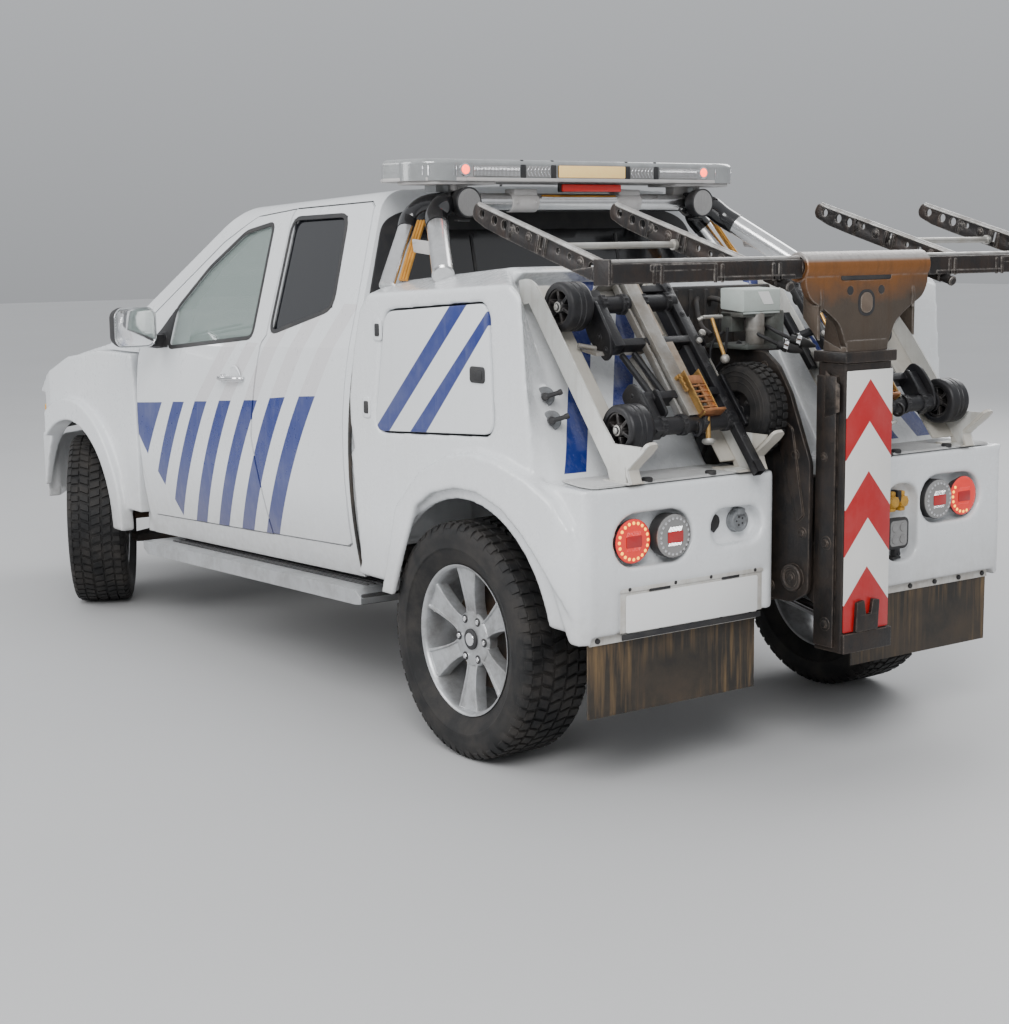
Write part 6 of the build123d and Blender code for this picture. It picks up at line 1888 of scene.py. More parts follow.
# long beam with an open end
sloped(fr, .030, .770, .262, .294, .079, .108, r=.003)
for y0, y1, n0, n1 in ((.262, .2655, .079, .108), (.2905, .294, .079, .108),
                       (.262, .294, .079, .0825), (.262, .294, .1045, .108)):
    sloped(fr, .768, .806, y0, y1, n0, n1, r=.0006, seg=1)
for s_ in (.12, .22, .42, .55, .68):
    fr.bolt(on(s_, .278, .108), (RN[0], 0, RN[1]), .007, .004)
# side members near the wheels and the bars across
sloped(fr, .120, .330, .560, .600, .062, .112, r=.003)
sloped(fr, .520, .640, .560, .600, .062, .112, r=.003)
sloped(fr, .300, .326, .290, .600, .056, .106, r=.003)
sloped(fr, .500, .526, .290, .600, .062, .112, r=.003)
fr.plate(rounded([sl(.155, .045), sl(.165, .125), sl(.300, .118),
                  sl(.345, .085), sl(.345, .050), sl(.250, .030)], .014, 3),
         "side", .600, .611, r=.0015)
fr.plate(rounded([sl(.470, .050), sl(.462, .112), sl(.505, .134),
                  sl(.585, .134), sl(.640, .110), sl(.640, .060)], .022, 4),
         "side", .604, .615, r=.0015)
fr.plate(rounded([sl(.500, .070), sl(.500, .130), sl(.590, .128),
                  sl(.590, .070)], .012, 3), "side", .540, .550, r=.0015)
for s_, n_ in ((.19, .085), (.27, .075), (.32, .075), (.50, .095), (.56, .095)):
    fr.bolt(on(s_, .6110, n_), (0, 1, 0), .007, .005)
# black legs that lean between the bars
for (s0, n0), (s1, n1), y in (((.330, .060), (.500, .080), .545),
                              ((.330, .065), (.505, .085), .500)):
    fr.rod(on(s0, y, n0), on(s1, y - .02, n1), .010, 14)
sloped(fr, .100, .125, .295, .420, .070, .100, r=.002)
sloped(fr, .120, .300, .300, .318, .050, .090, r=.002)
sloped(fr, .330, .480, .300, .322, .060, .095, r=.002)
# galvanised channel, its head and the tan strip beside it
sloped(gv, .030, .598, .410, .460, .1155, .1200, r=.0012)
sloped(gv, .030, .598, .4565, .460, .098, .1180, r=.0008)
sloped(gv, .030, .598, .410, .4135, .098, .1180, r=.0008)
sloped(gv, .030, .600, .468, .476, .080, .1060, r=.0012)
sloped(gv, .085, .094, .360, .540, .060, .1220, r=.0015)
sloped(gv, .088, .150, .420, .530, .060, .0660, r=.0015)
sloped(tn, .330, .560, .380, .408, .100, .1180, r=.0015)
sloped(tn, .060, .300, .396, .408, .100, .1140, r=.0015)
# lever with its grip and bracket
gv.plate(rounded([sl(.255, .000), sl(.268, .004), sl(.330, .060),
                  sl(.318, .066)], .004, 2), "side", .470, .640, r=.001)
gv.box(on(.300, .505, .055), (.052, .090, .044), r=.006)
gv.plate(rounded([sl(.330, .020), sl(.330, .060), sl(.480, .066),
                  sl(.480, .040)], .006, 2), "side", .470, .500, r=.0015)
gv.tube([on(.262, .660, .028), on(.285, .610, .040), on(.300, .550, .052),
         on(.305, .470, .060)], .0075, 10)
# ratchet: copper face with rungs, brass cheeks, pin with a grey knob
sloped(bz, .455, .610, .4190, .4240, .105, .146, r=.001)
sloped(bz, .450, .602, .3560, .3600, .105, .140, r=.001)
sloped(cu, .470, .500, .3600, .4190, .134, .138, r=.001)
for i in range(5):
    q = .505 + .019 * i
    sloped(cu, q, q + .006, .3600, .4190, .130, .138, r=.0008)
sloped(cu, .500, .602, .3780, .3850, .130, .137, r=.0008)
sloped(cu, .500, .602, .3600, .3760, .128, .1340, r=.0008)
sloped(cu, .598, .606, .3380, .4240, .104, .150, r=.001)
sloped(bz, .462, .474, .4280, .4480, .100, .132, r=.002)
for i in range(6):
    bz.lathe([(0, .006), (.004, .0075), (.008, .006), (.008, 0), (0, 0)],
             on(.468 + .010 * i, .436, .134 + .002 * (i % 2)), (0, 1, 0), 12)
a, b = sl(.612, .118)
bz.rod((a, .395, b + .004), (a - .004, .395, b - .062), .0078, 20)
bw.lathe([(0, 0), (0, .020), (.006, .021), (.012, .016), (.014, 0)],
         (a - .005, .395, b - .066), (-.3, .2, -1), 24)
fr.lathe([(-.004, .016), (-.004, .024), (.004, .024), (.004, .016)],
         (a + .002, .436, b - .030), (.2, 1, .1), 24, close=True)
# handle with a cross bar and a ball, and a pale plate beside the beam
bw.rod((X(-.432), .268, 1.392), (X(-.440), .196, 1.392), .0065, 16)
bw.rod((X(-.432), .268, 1.392), (X(-.425), .282, 1.384), .0060, 12)
bz.rod((X(-.437), .236, 1.388), (X(-.506), .246, 1.276), .0062, 16)
bw.lathe([(-.0150, 0), (-.0125, .0085), (-.0075, .0130), (0, .0150),
          (.0075, .0130), (.0125, .0085), (.0150, 0)],
         (X(-.511), .247, 1.267), (0, 0, 1), 24)
sloped(bw, .372, .470, .222, .250, .064, .069, r=.001)
sloped(bw, .372, .470, .222, .225, .064, .078, r=.001)
sloped(fr, .200, .420, .205, .235, .040, .062, r=.002)
sloped(fr, .455, .640, .238, .250, .090, .112, r=.002)
fr.rod(on(.500, .262, .090), on(.560, .238, .070), .012, 16)
fr.rod(on(.300, .262, .090), on(.300, .206, .060), .014, 16)
bw.lathe([(0, .012), (.008, .012), (.010, .009), (.010, 0)],
         on(.300, .240, .108), (RN[0], 0, RN[1]), 18)
bw.lathe([(0, .010), (.008, .010), (.010, .007), (.010, 0)],
         on(.330, .270, .110), (RN[0], 0, RN[1]), 18)
for p_ in (fr, gv, tn, bz, cu, bw):
    p_.mirrored()
    p_.done(angle=38)

# spare tyre of a dolly, left of the mast
sp_ = Piece("spare_tyre", "chassis", MAT["tyre"], ("spare_dolly_tyre",))
cs = Vector((X(-.550), .191, 1.110))
sp_.lathe([(-.044, .062), (-.044, .100), (-.043, .122), (-.037, .136),
           (-.028, .1395), (.028, .1395), (.037, .136), (.043, .122),
           (.044, .100), (.044, .062), (.030, .058), (-.030, .058)], cs,
          (0, 1, 0), 80, close=True)
for r_ in (.088, .106, .120):
    sp_.lathe([(.0432, r_ - .002), (.0450, r_ - .001), (.0450, r_ + .001),
               (.0432, r_ + .002)], cs, (0, 1, 0), 80)
for i in range(34):
    a = 2 * math.pi * i / 34
    for k in (-1, 0, 1):
        t = a + (.06 if k else 0)
        sp_.box(cs + Vector((.1425 * math.cos(t), k * .0235,
                             .1425 * math.sin(t))),
                (.008, .020 if k else .018, .0185), r=.0015, seg=1,
                rot=Matrix.Rotation(-t, 4, 'Y'))
sp_.done(angle=38)
hb = Piece("spare_hub", "chassis", MAT["hub_grey"])
hb.lathe([(.026, .0), (.026, .020), (.020, .030), (.020, .046), (.032, .056),
          (.040, .060), (.040, .0625), (.030, .063), (.018, .056),
          (-.030, .056), (-.030, .0)], cs, (0, 1, 0), 64)
hb.lathe([(.026, .0), (.026, .013), (.044, .012), (.047, .009), (.047, 0)],
         cs, (0, 1, 0), 28)
for i in range(4):
    a = math.radians(45 + 90 * i)
    hb.bolt(cs + Vector((.034 * math.cos(a), .021, .034 * math.sin(a))),
            (0, 1, 0), .0055, .005)
hb.done(angle=38)

# hand pump and connectors beside the mast
cv = Piece("pump_cover", "chassis", MAT["pump_cover"], ("pump_box",))
cv.plate(rounded([(X(-.505), 1.405), (X(-.399), 1.414), (X(-.399), 1.479),
                  (X(-.505), 1.476)], .006, 3), "side", .011, .166, r=.0035,
         seg=3)
cv.box((X(-.498), .088, 1.402), (.016, .150, .006), r=.002)
cv.done()
lb = Piece("pump_label", "chassis", MAT["plate_white"])
lb.plate(rounded([(.108, 1.468), (.062, 1.468), (.040, 1.428), (.082, 1.428)],
                 .004, 2), "cross", X(-.5052), X(-.5062), r=.0)
lb.done()
bl = Piece("pump_block", "chassis", MAT["pump_block"])
bl.box((X(-.425), .138, 1.374), (.050, .054, .062), r=.004)
bl.box((X(-.450), .090, 1.397), (.100, .150, .016), r=.003)
bl.lathe([(0, .0), (0, .040), (.006, .042), (.098, .042), (.104, .040),
          (.104, 0)], (X(-.462), .012, 1.303), (0, 0, 1), 48)
bl.box((X(-.425), .060, 1.297), (.190, .210, .013), r=.003)
for dx, dy in ((-.08, -.09), (.08, -.09), (-.08, .09), (.08, .09)):
    bl.bolt((X(-.425) + dx, .060 + dy, 1.3035), (0, 0, 1), .007, .005)
bl.done()
sc = Piece("pump_cylinder", "chassis", MAT["galv"])
sc.lathe([(0, .0), (0, .027), (.004, .029), (.098, .029), (.102, .027),
          (.102, 0)], (X(-.478), .092, 1.303), (0, 0, 1), 40)
sc.lathe([(.040, .0295), (.044, .0305), (.050, .0305), (.054, .0295)],
         (X(-.478), .092, 1.303), (0, 0, 1), 40)
sc.done()
cn = Piece("connectors", "chassis", MAT["black"])
cr = Piece("connector_clamps", "chassis", MAT["chrome"])
for k, (cx_, cy_, cz_) in enumerate(((-.560, .020, 1.322), (-.548, .062, 1.306))):
    ax_ = Vector((-.62, -.70, -.30)).normalized()
    q = Vector((X(cx_), cy_, cz_))
    cn.lathe([(0, .0), (0, .013), (.020, .015), (.045, .0150), (.060, .0120),
              (.082, .0040), (.084, 0)], q, ax_, 28)
    cr.lathe([(.018, .0153), (.020, .0175), (.032, .0175), (.034, .0153)], q,
             ax_, 28)
    cr.box(q + ax_ * .026 + Vector((.0, .0, .018)), (.012, .008, .012), r=.002)
    cn.tube([q, q - ax_ * .030 + Vector((.01, .01, .012)),
             q - ax_ * .055 + Vector((.03, .0, .020)),
             (X(-.455), .020 + .03 * k, 1.330)], .006, 10)
# hoses and cables between pump, dolly and floor
cn.tube([(X(-.41), .155, 1.35), (X(-.38), .185, 1.30), (X(-.40), .20, 1.22),
         (X(-.46), .205, 1.27), (X(-.47), .20, 1.36)], .0045, 10)
cn.tube([(X(-.42), .10, 1.31), (X(-.36), .16, 1.20), (X(-.34), .20, 1.05),
         (X(-.30), .215, .96), (X(-.20), .20, .83)], .0075, 12)
cn.tube([(X(-.44), .06, 1.31), (X(-.35), .11, 1.12), (X(-.31), .15, .96),
         (X(-.22), .14, .82)], .0075, 12)
cn.done()
cr.done()

# black rubber cover on the channel's head behind the pump
rc = Piece("channel_cover", "chassis", MAT["rubber"])
rc.box((X(-.203), 0, 1.330), (.026, .455, .300), r=.010, seg=3)
for i in range(7):
    rc.box((X(-.2180), -.195 + .065 * i, 1.330), (.010, .018, .280), r=.004)
rc.tube([(X(-.215), .10, 1.44), (X(-.245), .13, 1.42), (X(-.30), .16, 1.36),
         (X(-.36), .17, 1.33)], .009, 12)
rc.tube([(X(-.215), .05, 1.42), (X(-.240), .06, 1.44), (X(-.30), .03, 1.42),
         (X(-.38), .05, 1.38)], .009, 12)
rc.tube([(X(-.215), -.08, 1.42), (X(-.25), -.10, 1.40), (X(-.33), -.06, 1.36),
         (X(-.42), -.01, 1.34)], .009, 12)
rc.done()

# ------------------------------------------------------------ cab, outside
RK = math.radians(2.2)


def circle3(a, b, c):
    d = 2 * (a[0] * (b[1] - c[1]) + b[0] * (c[1] - a[1]) + c[0] * (a[1] - b[1]))
    q = [p[0] ** 2 + p[1] ** 2 for p in (a, b, c)]
    u = (q[0] * (b[1] - c[1]) + q[1] * (c[1] - a[1]) + q[2] * (a[1] - b[1])) / d
    v = (q[0] * (c[0] - b[0]) + q[1] * (a[0] - c[0]) + q[2] * (b[0] - a[0])) / d
    return u, v, math.hypot(a[0] - u, a[1] - v)


SKC = circle3((.850, .440), (.905, .880), (.868, 1.262))


def skin_y(x, z):
    """Half width of the cab's skin at x, z."""
    v = z * math.cos(RK) + (x - 1.0) * math.sin(RK)
    if v <= .44:
        return .850
    if v <= 1.262:
        return SKC[0] + math.sqrt(max(0, SKC[2] ** 2 - (v - SKC[1]) ** 2))
    return .868 - (v - 1.262) * (.868 - .690) / (1.722 - 1.262)


def fine(pts, step=.03):
    out = []
    for i, a in enumerate(pts):
        b = pts[(i + 1) % len(pts)]
        n = max(1, int(math.hypot(b[0] - a[0], b[1] - a[1]) / step))
        out += [(a[0] + (b[0] - a[0]) * k / n, a[1] + (b[1] - a[1]) * k / n)
                for k in range(n)]
    return out


def inset(pts, d):
    """Closed outline moved inwards by d."""
    n = len(pts)
    area = sum(pts[i][0] * pts[(i + 1) % n][1] - pts[(i + 1) % n][0] * pts[i][1]
               for i in range(n))
    k = d if area > 0 else -d
    out = []
    for i in range(n):
        a, b, c = pts[i - 1], pts[i], pts[(i + 1) % n]
        e = Vector((b[0] - a[0], b[1] - a[1])).normalized()
        f = Vector((c[0] - b[0], c[1] - b[1])).normalized()
        m = Vector((-(e.y + f.y), e.x + f.x))
        m = m.normalized() / max(.5, (1 + e.dot(f)) / 2) ** .5
        out.append((b[0] + m.x * k, b[1] + m.y * k))
    return out


def skin_band(p, pts, d0, d1, lift, s, thick=.002):
    """Strip that lies on the skin between two insets of an outline."""
    a, b = inset(pts, d0), inset(pts, d1)
    rows = []
    for r in (a, b):
        rows.append([(X(x), s * (skin_y(x, z) + lift), z)
                     for x, z in r + r[:1]])
    p.sheet(rows, thick)


FG = [(2.140, 1.216), (2.170, 1.362), (1.980, 1.530), (1.750, 1.668),
      (1.540, 1.700), (1.440, 1.284)]
RG = [(1.302, 1.302), (1.388, 1.716), (.985, 1.724), (.897, 1.404)]
for side_name, s in (("left", 1), ("right", -1)):
    fd, rd = "front_door_" + side_name, "rear_door_" + side_name
    # the door's own skin, without the plain mirror head
    bm = bmesh.new()
    bm.from_mesh(NODES[fd].data)
    bmesh.ops.delete(bm, geom=[v for v in bm.verts if abs(v.co.y) > .915],
                     context='VERTS')
    sk = Piece("door_skin_" + side_name, RIDES[fd], MAT["paint_stripes"], (fd,))
    sk.bm.free()
    sk.bm = bm
    sk.done(angle=28)
    blk = Piece("window_seals_front_" + side_name, RIDES[fd], MAT["black"])
    g_ = fine(rounded(FG, .030, 4))
    skin_band(blk, g_, -.012, .004, .0016, s)
    # sail triangle behind the mirror
    tri = fine([(2.150, 1.214), (2.176, 1.366), (2.262, 1.276),
                (2.338, 1.222), (2.342, 1.205), (2.250, 1.204)], .02)
    c_ = (2.22, 1.255)
    bm2 = bmesh.new()
    mid = bm2.verts.new((X(c_[0]), s * (skin_y(*c_) + .0036), c_[1]))
    vs = [bm2.verts.new((X(x), s * (skin_y(x, z) + .0030), z)) for x, z in tri]
    for i in range(len(vs)):
        bm2.faces.new((mid, vs[i], vs[(i + 1) % len(vs)]))
    bmesh.ops.recalc_face_normals(bm2, faces=bm2.faces[:])
    bmesh.ops.solidify(bm2, geom=bm2.faces[:], thickness=.002)
    blk.take(bm2)
    # mirror: arm, head with a hollow for the glass
    blk.plate(rounded([(X(2.196), .846 * s), (X(2.232), .846 * s),
                       (X(2.214), .940 * s), (X(2.176), .940 * s)], .008, 3),
              "plan", 1.216, 1.262, r=.006, seg=3)
    blk.lathe([(0, .0), (0, .030), (.010, .034), (.020, .030), (.020, 0)],
              (X(2.206), s * .842, 1.240), (0, s, 0), 32)
    hd = slot_ring(s * 1.008, 1.298, .180, .162, .042, 8)
    prev = None
    rows = []
    for x_, k in ((2.142, .985), (2.150, 1.0), (2.185, .985), (2.212, .92),
                  (2.228, .80), (2.2345, .60)):
        rows.append([(X(x_), s * 1.008 + (a - s * 1.008) * k,
                      1.298 + (b - 1.298) * k) for a, b in hd + hd[:1]])
    blk.sheet(rows)
    blk.plate([(s * 1.008 + (a - s * 1.008) * .60, 1.298 + (b - 1.298) * .60)
               for a, b in hd], "cross", X(2.2335), X(2.2350), r=.0)
    blk.plate([(s * 1.008 + (a - s * 1.008) * .97, 1.298 + (b - 1.298) * .97)
               for a, b in hd], "cross", X(2.149), X(2.160), r=.0)
    blk.done(angle=50)
    chm = Piece("mirror_edge_" + side_name, RIDES[fd], MAT["chrome"])
    chm.plate(hd, "cross", X(2.1425), X(2.1500), r=.002,
              holes=[[(s * 1.008 + (a - s * 1.008) * .935,
                       1.298 + (b - 1.298) * .925) for a, b in hd]])
    chm.done()
    mg = Piece("mirror_glass_" + side_name, RIDES[fd], MAT["mirror"] if
               "mirror" in MAT else MAT["chrome"])
    mg.plate([(s * 1.008 + (a - s * 1.008) * .925,
               1.298 + (b - 1.298) * .915) for a, b in hd], "cross",
             X(2.1455), X(2.1500), r=.001)
    mg.done()
    # door handle: cup and pull bar
    yh = skin_y(1.545, 1.124)
    cup = Piece("door_cup_" + side_name, RIDES[fd], MAT["paint"])
    cup.lathe([(0, 0), (.0012, .034), (.0022, .043), (.0034, .045),
               (.0018, .048), (0, .0495)], (X(1.520), s * (yh - .0006), 1.124),
              (0, s, -.08), 40)
    cup.done()
    han = Piece("door_handle_" + side_name, RIDES[fd], MAT["chrome"])
    han.tube([(X(1.452), s * (yh + .004), 1.126),
              (X(1.462), s * (yh + .020), 1.126),
              (X(1.500), s * (yh + .029), 1.125),
              (X(1.570), s * (yh + .029), 1.122),
              (X(1.612), s * (yh + .022), 1.120),
              (X(1.624), s * (yh + .004), 1.119)], .0105, 16, 5)
    han.lathe([(0, 0), (0, .017), (.012, .016), (.014, .012), (.014, 0)],
              (X(1.612), s * (yh - .001), 1.120), (0, s, -.05), 28)
    han.done(angle=50)
    # rear side window's seal
    blk = Piece("window_seals_rear_" + side_name, RIDES[rd], MAT["black"])
    skin_band(blk, fine(rounded(RG, .050, 5)), -.011, .0045, .0016, s)
    blk.done(angle=50)
    # black joint between the cab and the recovery body
    jt = Piece("cab_joint_" + side_name, "chassis", MAT["rubber"])
    pts = []
    for i in range(18):
        z = .505 + (1.275 - .505) * i / 17
        x = .650 + max(0, z - 1.25) * .2328
        pts.append((X(x), s * (skin_y(.70, z) - .002), z))
    jt.tube(pts, .0065, 10, 2)
    jt.done()
    # head lamp: reflectors and lamp rings on its face
    hl = Piece("head_lamp_rings_" + side_name, "chassis", MAT["chrome"])
    hg = Piece("head_lamp_glass_" + side_name, "chassis", MAT["clear_lens"])
    hb_ = Piece("head_lamp_bezel_" + side_name, "chassis", MAT["black_gloss"])
    for cx_, cy_, nx, ny, r_ in ((3.722, .712, .857, .515, .058),
                                 (3.800, .545, .951, .309, .050)):
        c = (X(cx_), s * cy_, .848)
        ax_ = (nx, s * ny, 0)
        hb_.lathe([(0, 0), (0, r_ + .012), (.004, r_ + .011), (.005, r_ + .004),
                   (.005, 0)], c, ax_, 48)
        hl.lathe([(.004, r_), (.008, r_ + .003), (.011, r_), (.008, r_ - .006),
                  (.006, r_ * .5), (.006, 0)], c, ax_, 48)
        hg.lathe([(.006, r_ * .62), (.013, r_ * .52), (.017, r_ * .30),
                  (.018, 0)], c, ax_, 40)
    hl.done(angle=50)
    hg.done(angle=50)
    hb_.done(angle=50)
    am = Piece("indicator_" + side_name, "chassis", MAT["amber_lens"])
    am.box((X(3.600), s * .8400, .850), (.075, .010, .060), r=.004,
           rot=Matrix.Rotation(-s * .46, 4, 'Z'))
    am.done()
    # fog lamp in the bumper
    fgl = Piece("fog_lamp_" + side_name, "chassis", MAT["clear_lens"])
    c = (X(3.788), s * .732, .560)
    fgl.lathe([(0, .0), (0, .043), (.006, .041), (.009, .030), (.010, 0)], c,
              (.76, s * .65, 0), 40)
    fgl.done()
    fgb = Piece("fog_bezel_" + side_name, "chassis", MAT["black"])
    fgb.lathe([(-.002, .0), (-.002, .058), (.004, .057), (.005, .044),
               (.003, .043), (.003, 0)], c, (.76, s * .65, 0), 40)
    fgb.done()

# grille bars, blank front plate, wipers, screen surround, aerial foot
gb = Piece("grille_bars", "chassis", MAT["chrome"], ())
front = [(3.800, -.425), (3.842, -.424), (3.898, -.200), (3.909, 0),
         (3.898, .200), (3.842, .424), (3.800, .425)]
for z in (.765, .905):
    gb.tube([(X(x), y, z) for x, y in front], .012, 14, 4)
gb.done(angle=50)
gk = Piece("grille_mesh", "chassis", MAT["black"])
for z in (.792, .815, .838, .861, .884):
    gk.tube([(X(x - .004), y * .99, z) for x, y in front], .0065, 10, 4)
for i in range(15):
    y = -.385 + .055 * i
    k = abs(y)
    x = 3.905 - .007 * k / .2 if k < .2 else 3.898 - (k - .2) * .056 / .224
    gk.box((X(x - .004), y, .835), (.010, .006, .120), r=.002)
fp = [(3.716, -.37), (3.866, -.37), (3.895, 0), (3.866, .37), (3.716, .37)]
for z in (.500, .530, .560):
    gk.tube([(X(x), y, z) for x, y in fp[1:4]], .008, 10, 6)
gk.box((X(3.968), 0, .648), (.020, .500, .100), r=.006)
gk.done(angle=50)
npl = Piece("front_blank_plate", "chassis", MAT["plate_white"])
npl.plate(slot_ring(0, .648, .520, .112, .008), "cross", X(3.9790), X(3.9820),
          r=.0008)
npl.done()
wp = Piece("wipers", "chassis", MAT["black"])
WN = Vector((.530, 0, .848))
WD = Vector((-.848, 0, .530))
for y0, y1 in ((.50, -.05), (-.06, -.58)):
    a = Vector((X(2.800), y0, 1.165)) + WD * .035 + WN * .016
    m_ = Vector((X(2.800), (y0 * .55 + y1 * .45), 1.165)) + WD * .150 + WN * .026
    wp.tube([a, a.lerp(m_, .3) + WN * .012, m_], .0055, 10, 4)
    wp.lathe([(-.01, 0), (-.01, .016), (.014, .013), (.016, 0)], a, WN, 20)
    b0 = Vector((X(2.800), y0 - .02, 1.165)) + WD * .060 + WN * .0120
    b1 = Vector((X(2.800), y1, 1.165)) + WD * .215 + WN * .0120
    wp.tube([b0, b0.lerp(b1, .5) + WN * .004, b1], .0060, 8, 8)
wp.done(angle=50)
bs = Piece("screen_surround", "chassis", MAT["black_gloss"])
ws_len = math.hypot(.600, .960)
out_, in_ = [], []
for y, t in ((-.755, .052), (.755, .052), (.618, ws_len - .062),
             (-.618, ws_len - .062)):
    out_.append((y, t))
for y, t in ((-.700, .100), (.700, .100), (.575, ws_len - .105),
             (-.575, ws_len - .105)):
    in_.append((y, t))


def on_screen(y, t, n):
    return Vector((X(2.800), y, 1.165)) + WD * t + WN * n


oo = fine(rounded(out_, .05, 5), .05)
ii = fine(rounded(in_, .05, 5), .05)
k = min(len(oo), len(ii))
oo = [oo[int(i * len(oo) / 96)] for i in range(96)]
ii = [min(ii, key=lambda q: (q[0] - o_[0] * .93) ** 2 + (q[1] - o_[1]) ** 2)
      for o_ in oo]
bs.sheet([[on_screen(y, t, -.0035) for y, t in oo + oo[:1]],
          [on_screen(y, t, -.0035) for y, t in ii + ii[:1]]], .0015)
bs.done()
ae = Piece("aerial", "chassis", MAT["black"])
ae.lathe([(0, 0), (0, .022), (.010, .018), (.016, .006), (.050, .003),
          (.051, 0)], (X(1.02), 0, 1.8135), (-.25, 0, 1), 24)
ae.done()

# tread strips and end caps of the running boards
rb = Piece("board_treads", "chassis", MAT["black"])
th = math.atan2(.466 - .408, 2.200 - .560)
rot_ = Matrix.Rotation(th, 4, 'Y')
for s in (1, -1):
    for i in range(5):
        y = .760 + .028 * i
        rb.box((X(1.380), s * y, .4370 + .0018), (1.560, .012, .0045), r=.0015,
               rot=rot_, seg=1)
    rb.box((X(.5270), s * .825, .4350), (.012, .236, .036), r=.004)
rb.done()

# inner shoulders of the wings, under the edge of the bonnet
ROWS = [(3.040, .690, 1.146, .790, 1.139), (3.160, .690, 1.131, .800, 1.124),
        (3.300, .690, 1.111, .805, 1.084), (3.420, .688, 1.090, .805, 1.040),
        (3.500, .684, 1.075, .800, .994), (3.560, .674, 1.058, .795, .952),
        (3.640, .655, 1.024, .762, .940), (3.700, .636, .998, .722, .9375),
        (3.745, .540, .974, .664, .9370), (3.790, .425, .934, .560, .9365)]
for side_name, s in (("left", 1), ("right", -1)):
    sh = Piece("wing_shoulder_" + side_name, "chassis", MAT["paint"])
    rows = []
    for x, yi, zi, yo, zo in ROWS:
        r = [(X(x) - (.020 if x > 3.6 else 0), s * (yi - .045), zi - .040)]
        for k in range(9):
            t = k / 8
            y = yi - .006 + (yo - yi + .006) * t
            z = zi - .004 + (zo - zi + .004) * t
            r.append((X(x), s * y, z + .018 * math.sin(math.pi * t) *
                      (1 if x > 3.2 else .3)))
        r.append((X(x) - (.012 if x > 3.6 else 0), s * (yo + .012), zo - .030))
        rows.append(r)
    sh.sheet(rows, .002)
    sh.done(angle=60)

# ------------------------------------------------------------ cab, inside
def pad_shape(rows, y0, y1, n=9, pinch=.010, crown=.016):
    """Closed pad from a side-view outline, pulled in towards its ends and
    crowned in its middle."""
    bm = bmesh.new()
    k = len(rows)
    cx = sum(r[0] for r in rows) / k
    cz = sum(r[1] for r in rows) / k
    rings = []
    for i in range(n):
        t = i / (n - 1)
        u = abs(2 * t - 1)
        f = 1 - .16 * u ** 8
        y = y0 + (y1 - y0) * t
        ringv = []
        for x, z in rows:
            d = Vector((x - cx, z - cz))
            sc = f + (crown * (1 - u * u) - pinch * u ** 6) / max(.03, d.length)
            ringv.append(bm.verts.new((X(cx + d.x * sc), y, cz + d.y * sc)))
        rings.append(ringv)
    for a, b in zip(rings, rings[1:]):
        for j in range(k):
            bm.faces.new((a[j], a[(j + 1) % k], b[(j + 1) % k], b[j]))
    bm.faces.new(rings[0])
    bm.faces.new(list(reversed(rings[-1])))
    bmesh.ops.recalc_face_normals(bm, faces=bm.faces[:])
    return bm


def swell(bm, voxel, cap, pressure=4.0):
    """Blows the pad up a little as cloth and returns the mesh."""
    me = bpy.data.meshes.new("pad")
    bm.to_mesh(me)
    bm.free()
    me = baked(me, [('REMESH', {"mode": 'VOXEL', "voxel_size": voxel}),
                    ('SMOOTH', {"factor": 0.5, "iterations": 4})])
    rest = [v.co.copy() for v in me.vertices]
    o = bpy.data.objects.new("pad_work", me)
    bpy.context.collection.objects.link(o)
    c = o.modifiers.new("cloth", 'CLOTH')
    c.settings.use_pressure = True
    c.settings.uniform_pressure_force = pressure
    c.settings.quality = 5
    c.settings.effector_weights.gravity = 0.0
    c.point_cache.frame_start = 1
    c.point_cache.frame_end = 20
    sc_ = bpy.context.scene
    for f in range(1, 21):
        sc_.frame_set(f)
    dg = bpy.context.evaluated_depsgraph_get()
    ev = o.evaluated_get(dg)
    out = bpy.data.meshes.new_from_object(ev)
    for v, r in zip(out.vertices, rest):
        d = v.co - r
        if d.length > cap:
            v.co = r + d * (cap / d.length)
    bpy.data.objects.remove(o)
    sc_.frame_set(1)
    return out


def pad(name, me, mats, shift_y=0.0, stands=()):
    p = Piece(name, "chassis", mats, stands)
    p.bm.from_mesh(me)
    if shift_y:
        bmesh.ops.translate(p.bm, vec=(0, shift_y, 0), verts=p.bm.verts)
    o = p.done(angle=180, sub=1)
    return o


CUSH = rounded([(1.846, .862), (1.838, .926), (1.700, .930), (1.490, .912),
                (1.372, .906), (1.352, .862)], .022, 4)
BACK = rounded([(1.470, .925), (1.300, 1.410), (1.272, 1.432), (1.205, 1.432),
                (1.195, 1.405), (1.345, .925)], .026, 4)
HEAD = rounded([(1.258, 1.470), (1.224, 1.604), (1.156, 1.604),
                (1.172, 1.470)], .026, 4)
BCUSH = rounded([(1.088, .812), (1.090, .868), (.900, .872), (.892, .812)],
                .024, 4)
BBACK = rounded([(.884, .890), (.868, 1.318), (.800, 1.322), (.796, .890)],
                .022, 4)
me_c = swell(pad_shape(CUSH, .150, .620), .0115, .014)
me_b = swell(pad_shape(BACK, .150, .620), .0115, .014)
me_h = swell(pad_shape(HEAD, .275, .495, crown=.010), .007, .008)
me_bc = swell(pad_shape(BCUSH, -.640, .640, n=17), .014, .012)
me_bb = swell(pad_shape(BBACK, -.640, .640, n=17), .014, .012)
for nm, dy in (("left", 0.0), ("right", -.770)):
    pad("seat_cushion_" + nm, me_c, MAT["seat"], dy, ("seats",))
    pad("seat_back_" + nm, me_b, MAT["seat"], dy)
    pad("head_rest_" + nm, me_h, MAT["seat"], dy)
pad("bench_cushion", me_bc, MAT["seat"])
pad("bench_back", me_bb, MAT["seat"])
fr_ = Piece("seat_frames", "chassis", MAT["dash"])
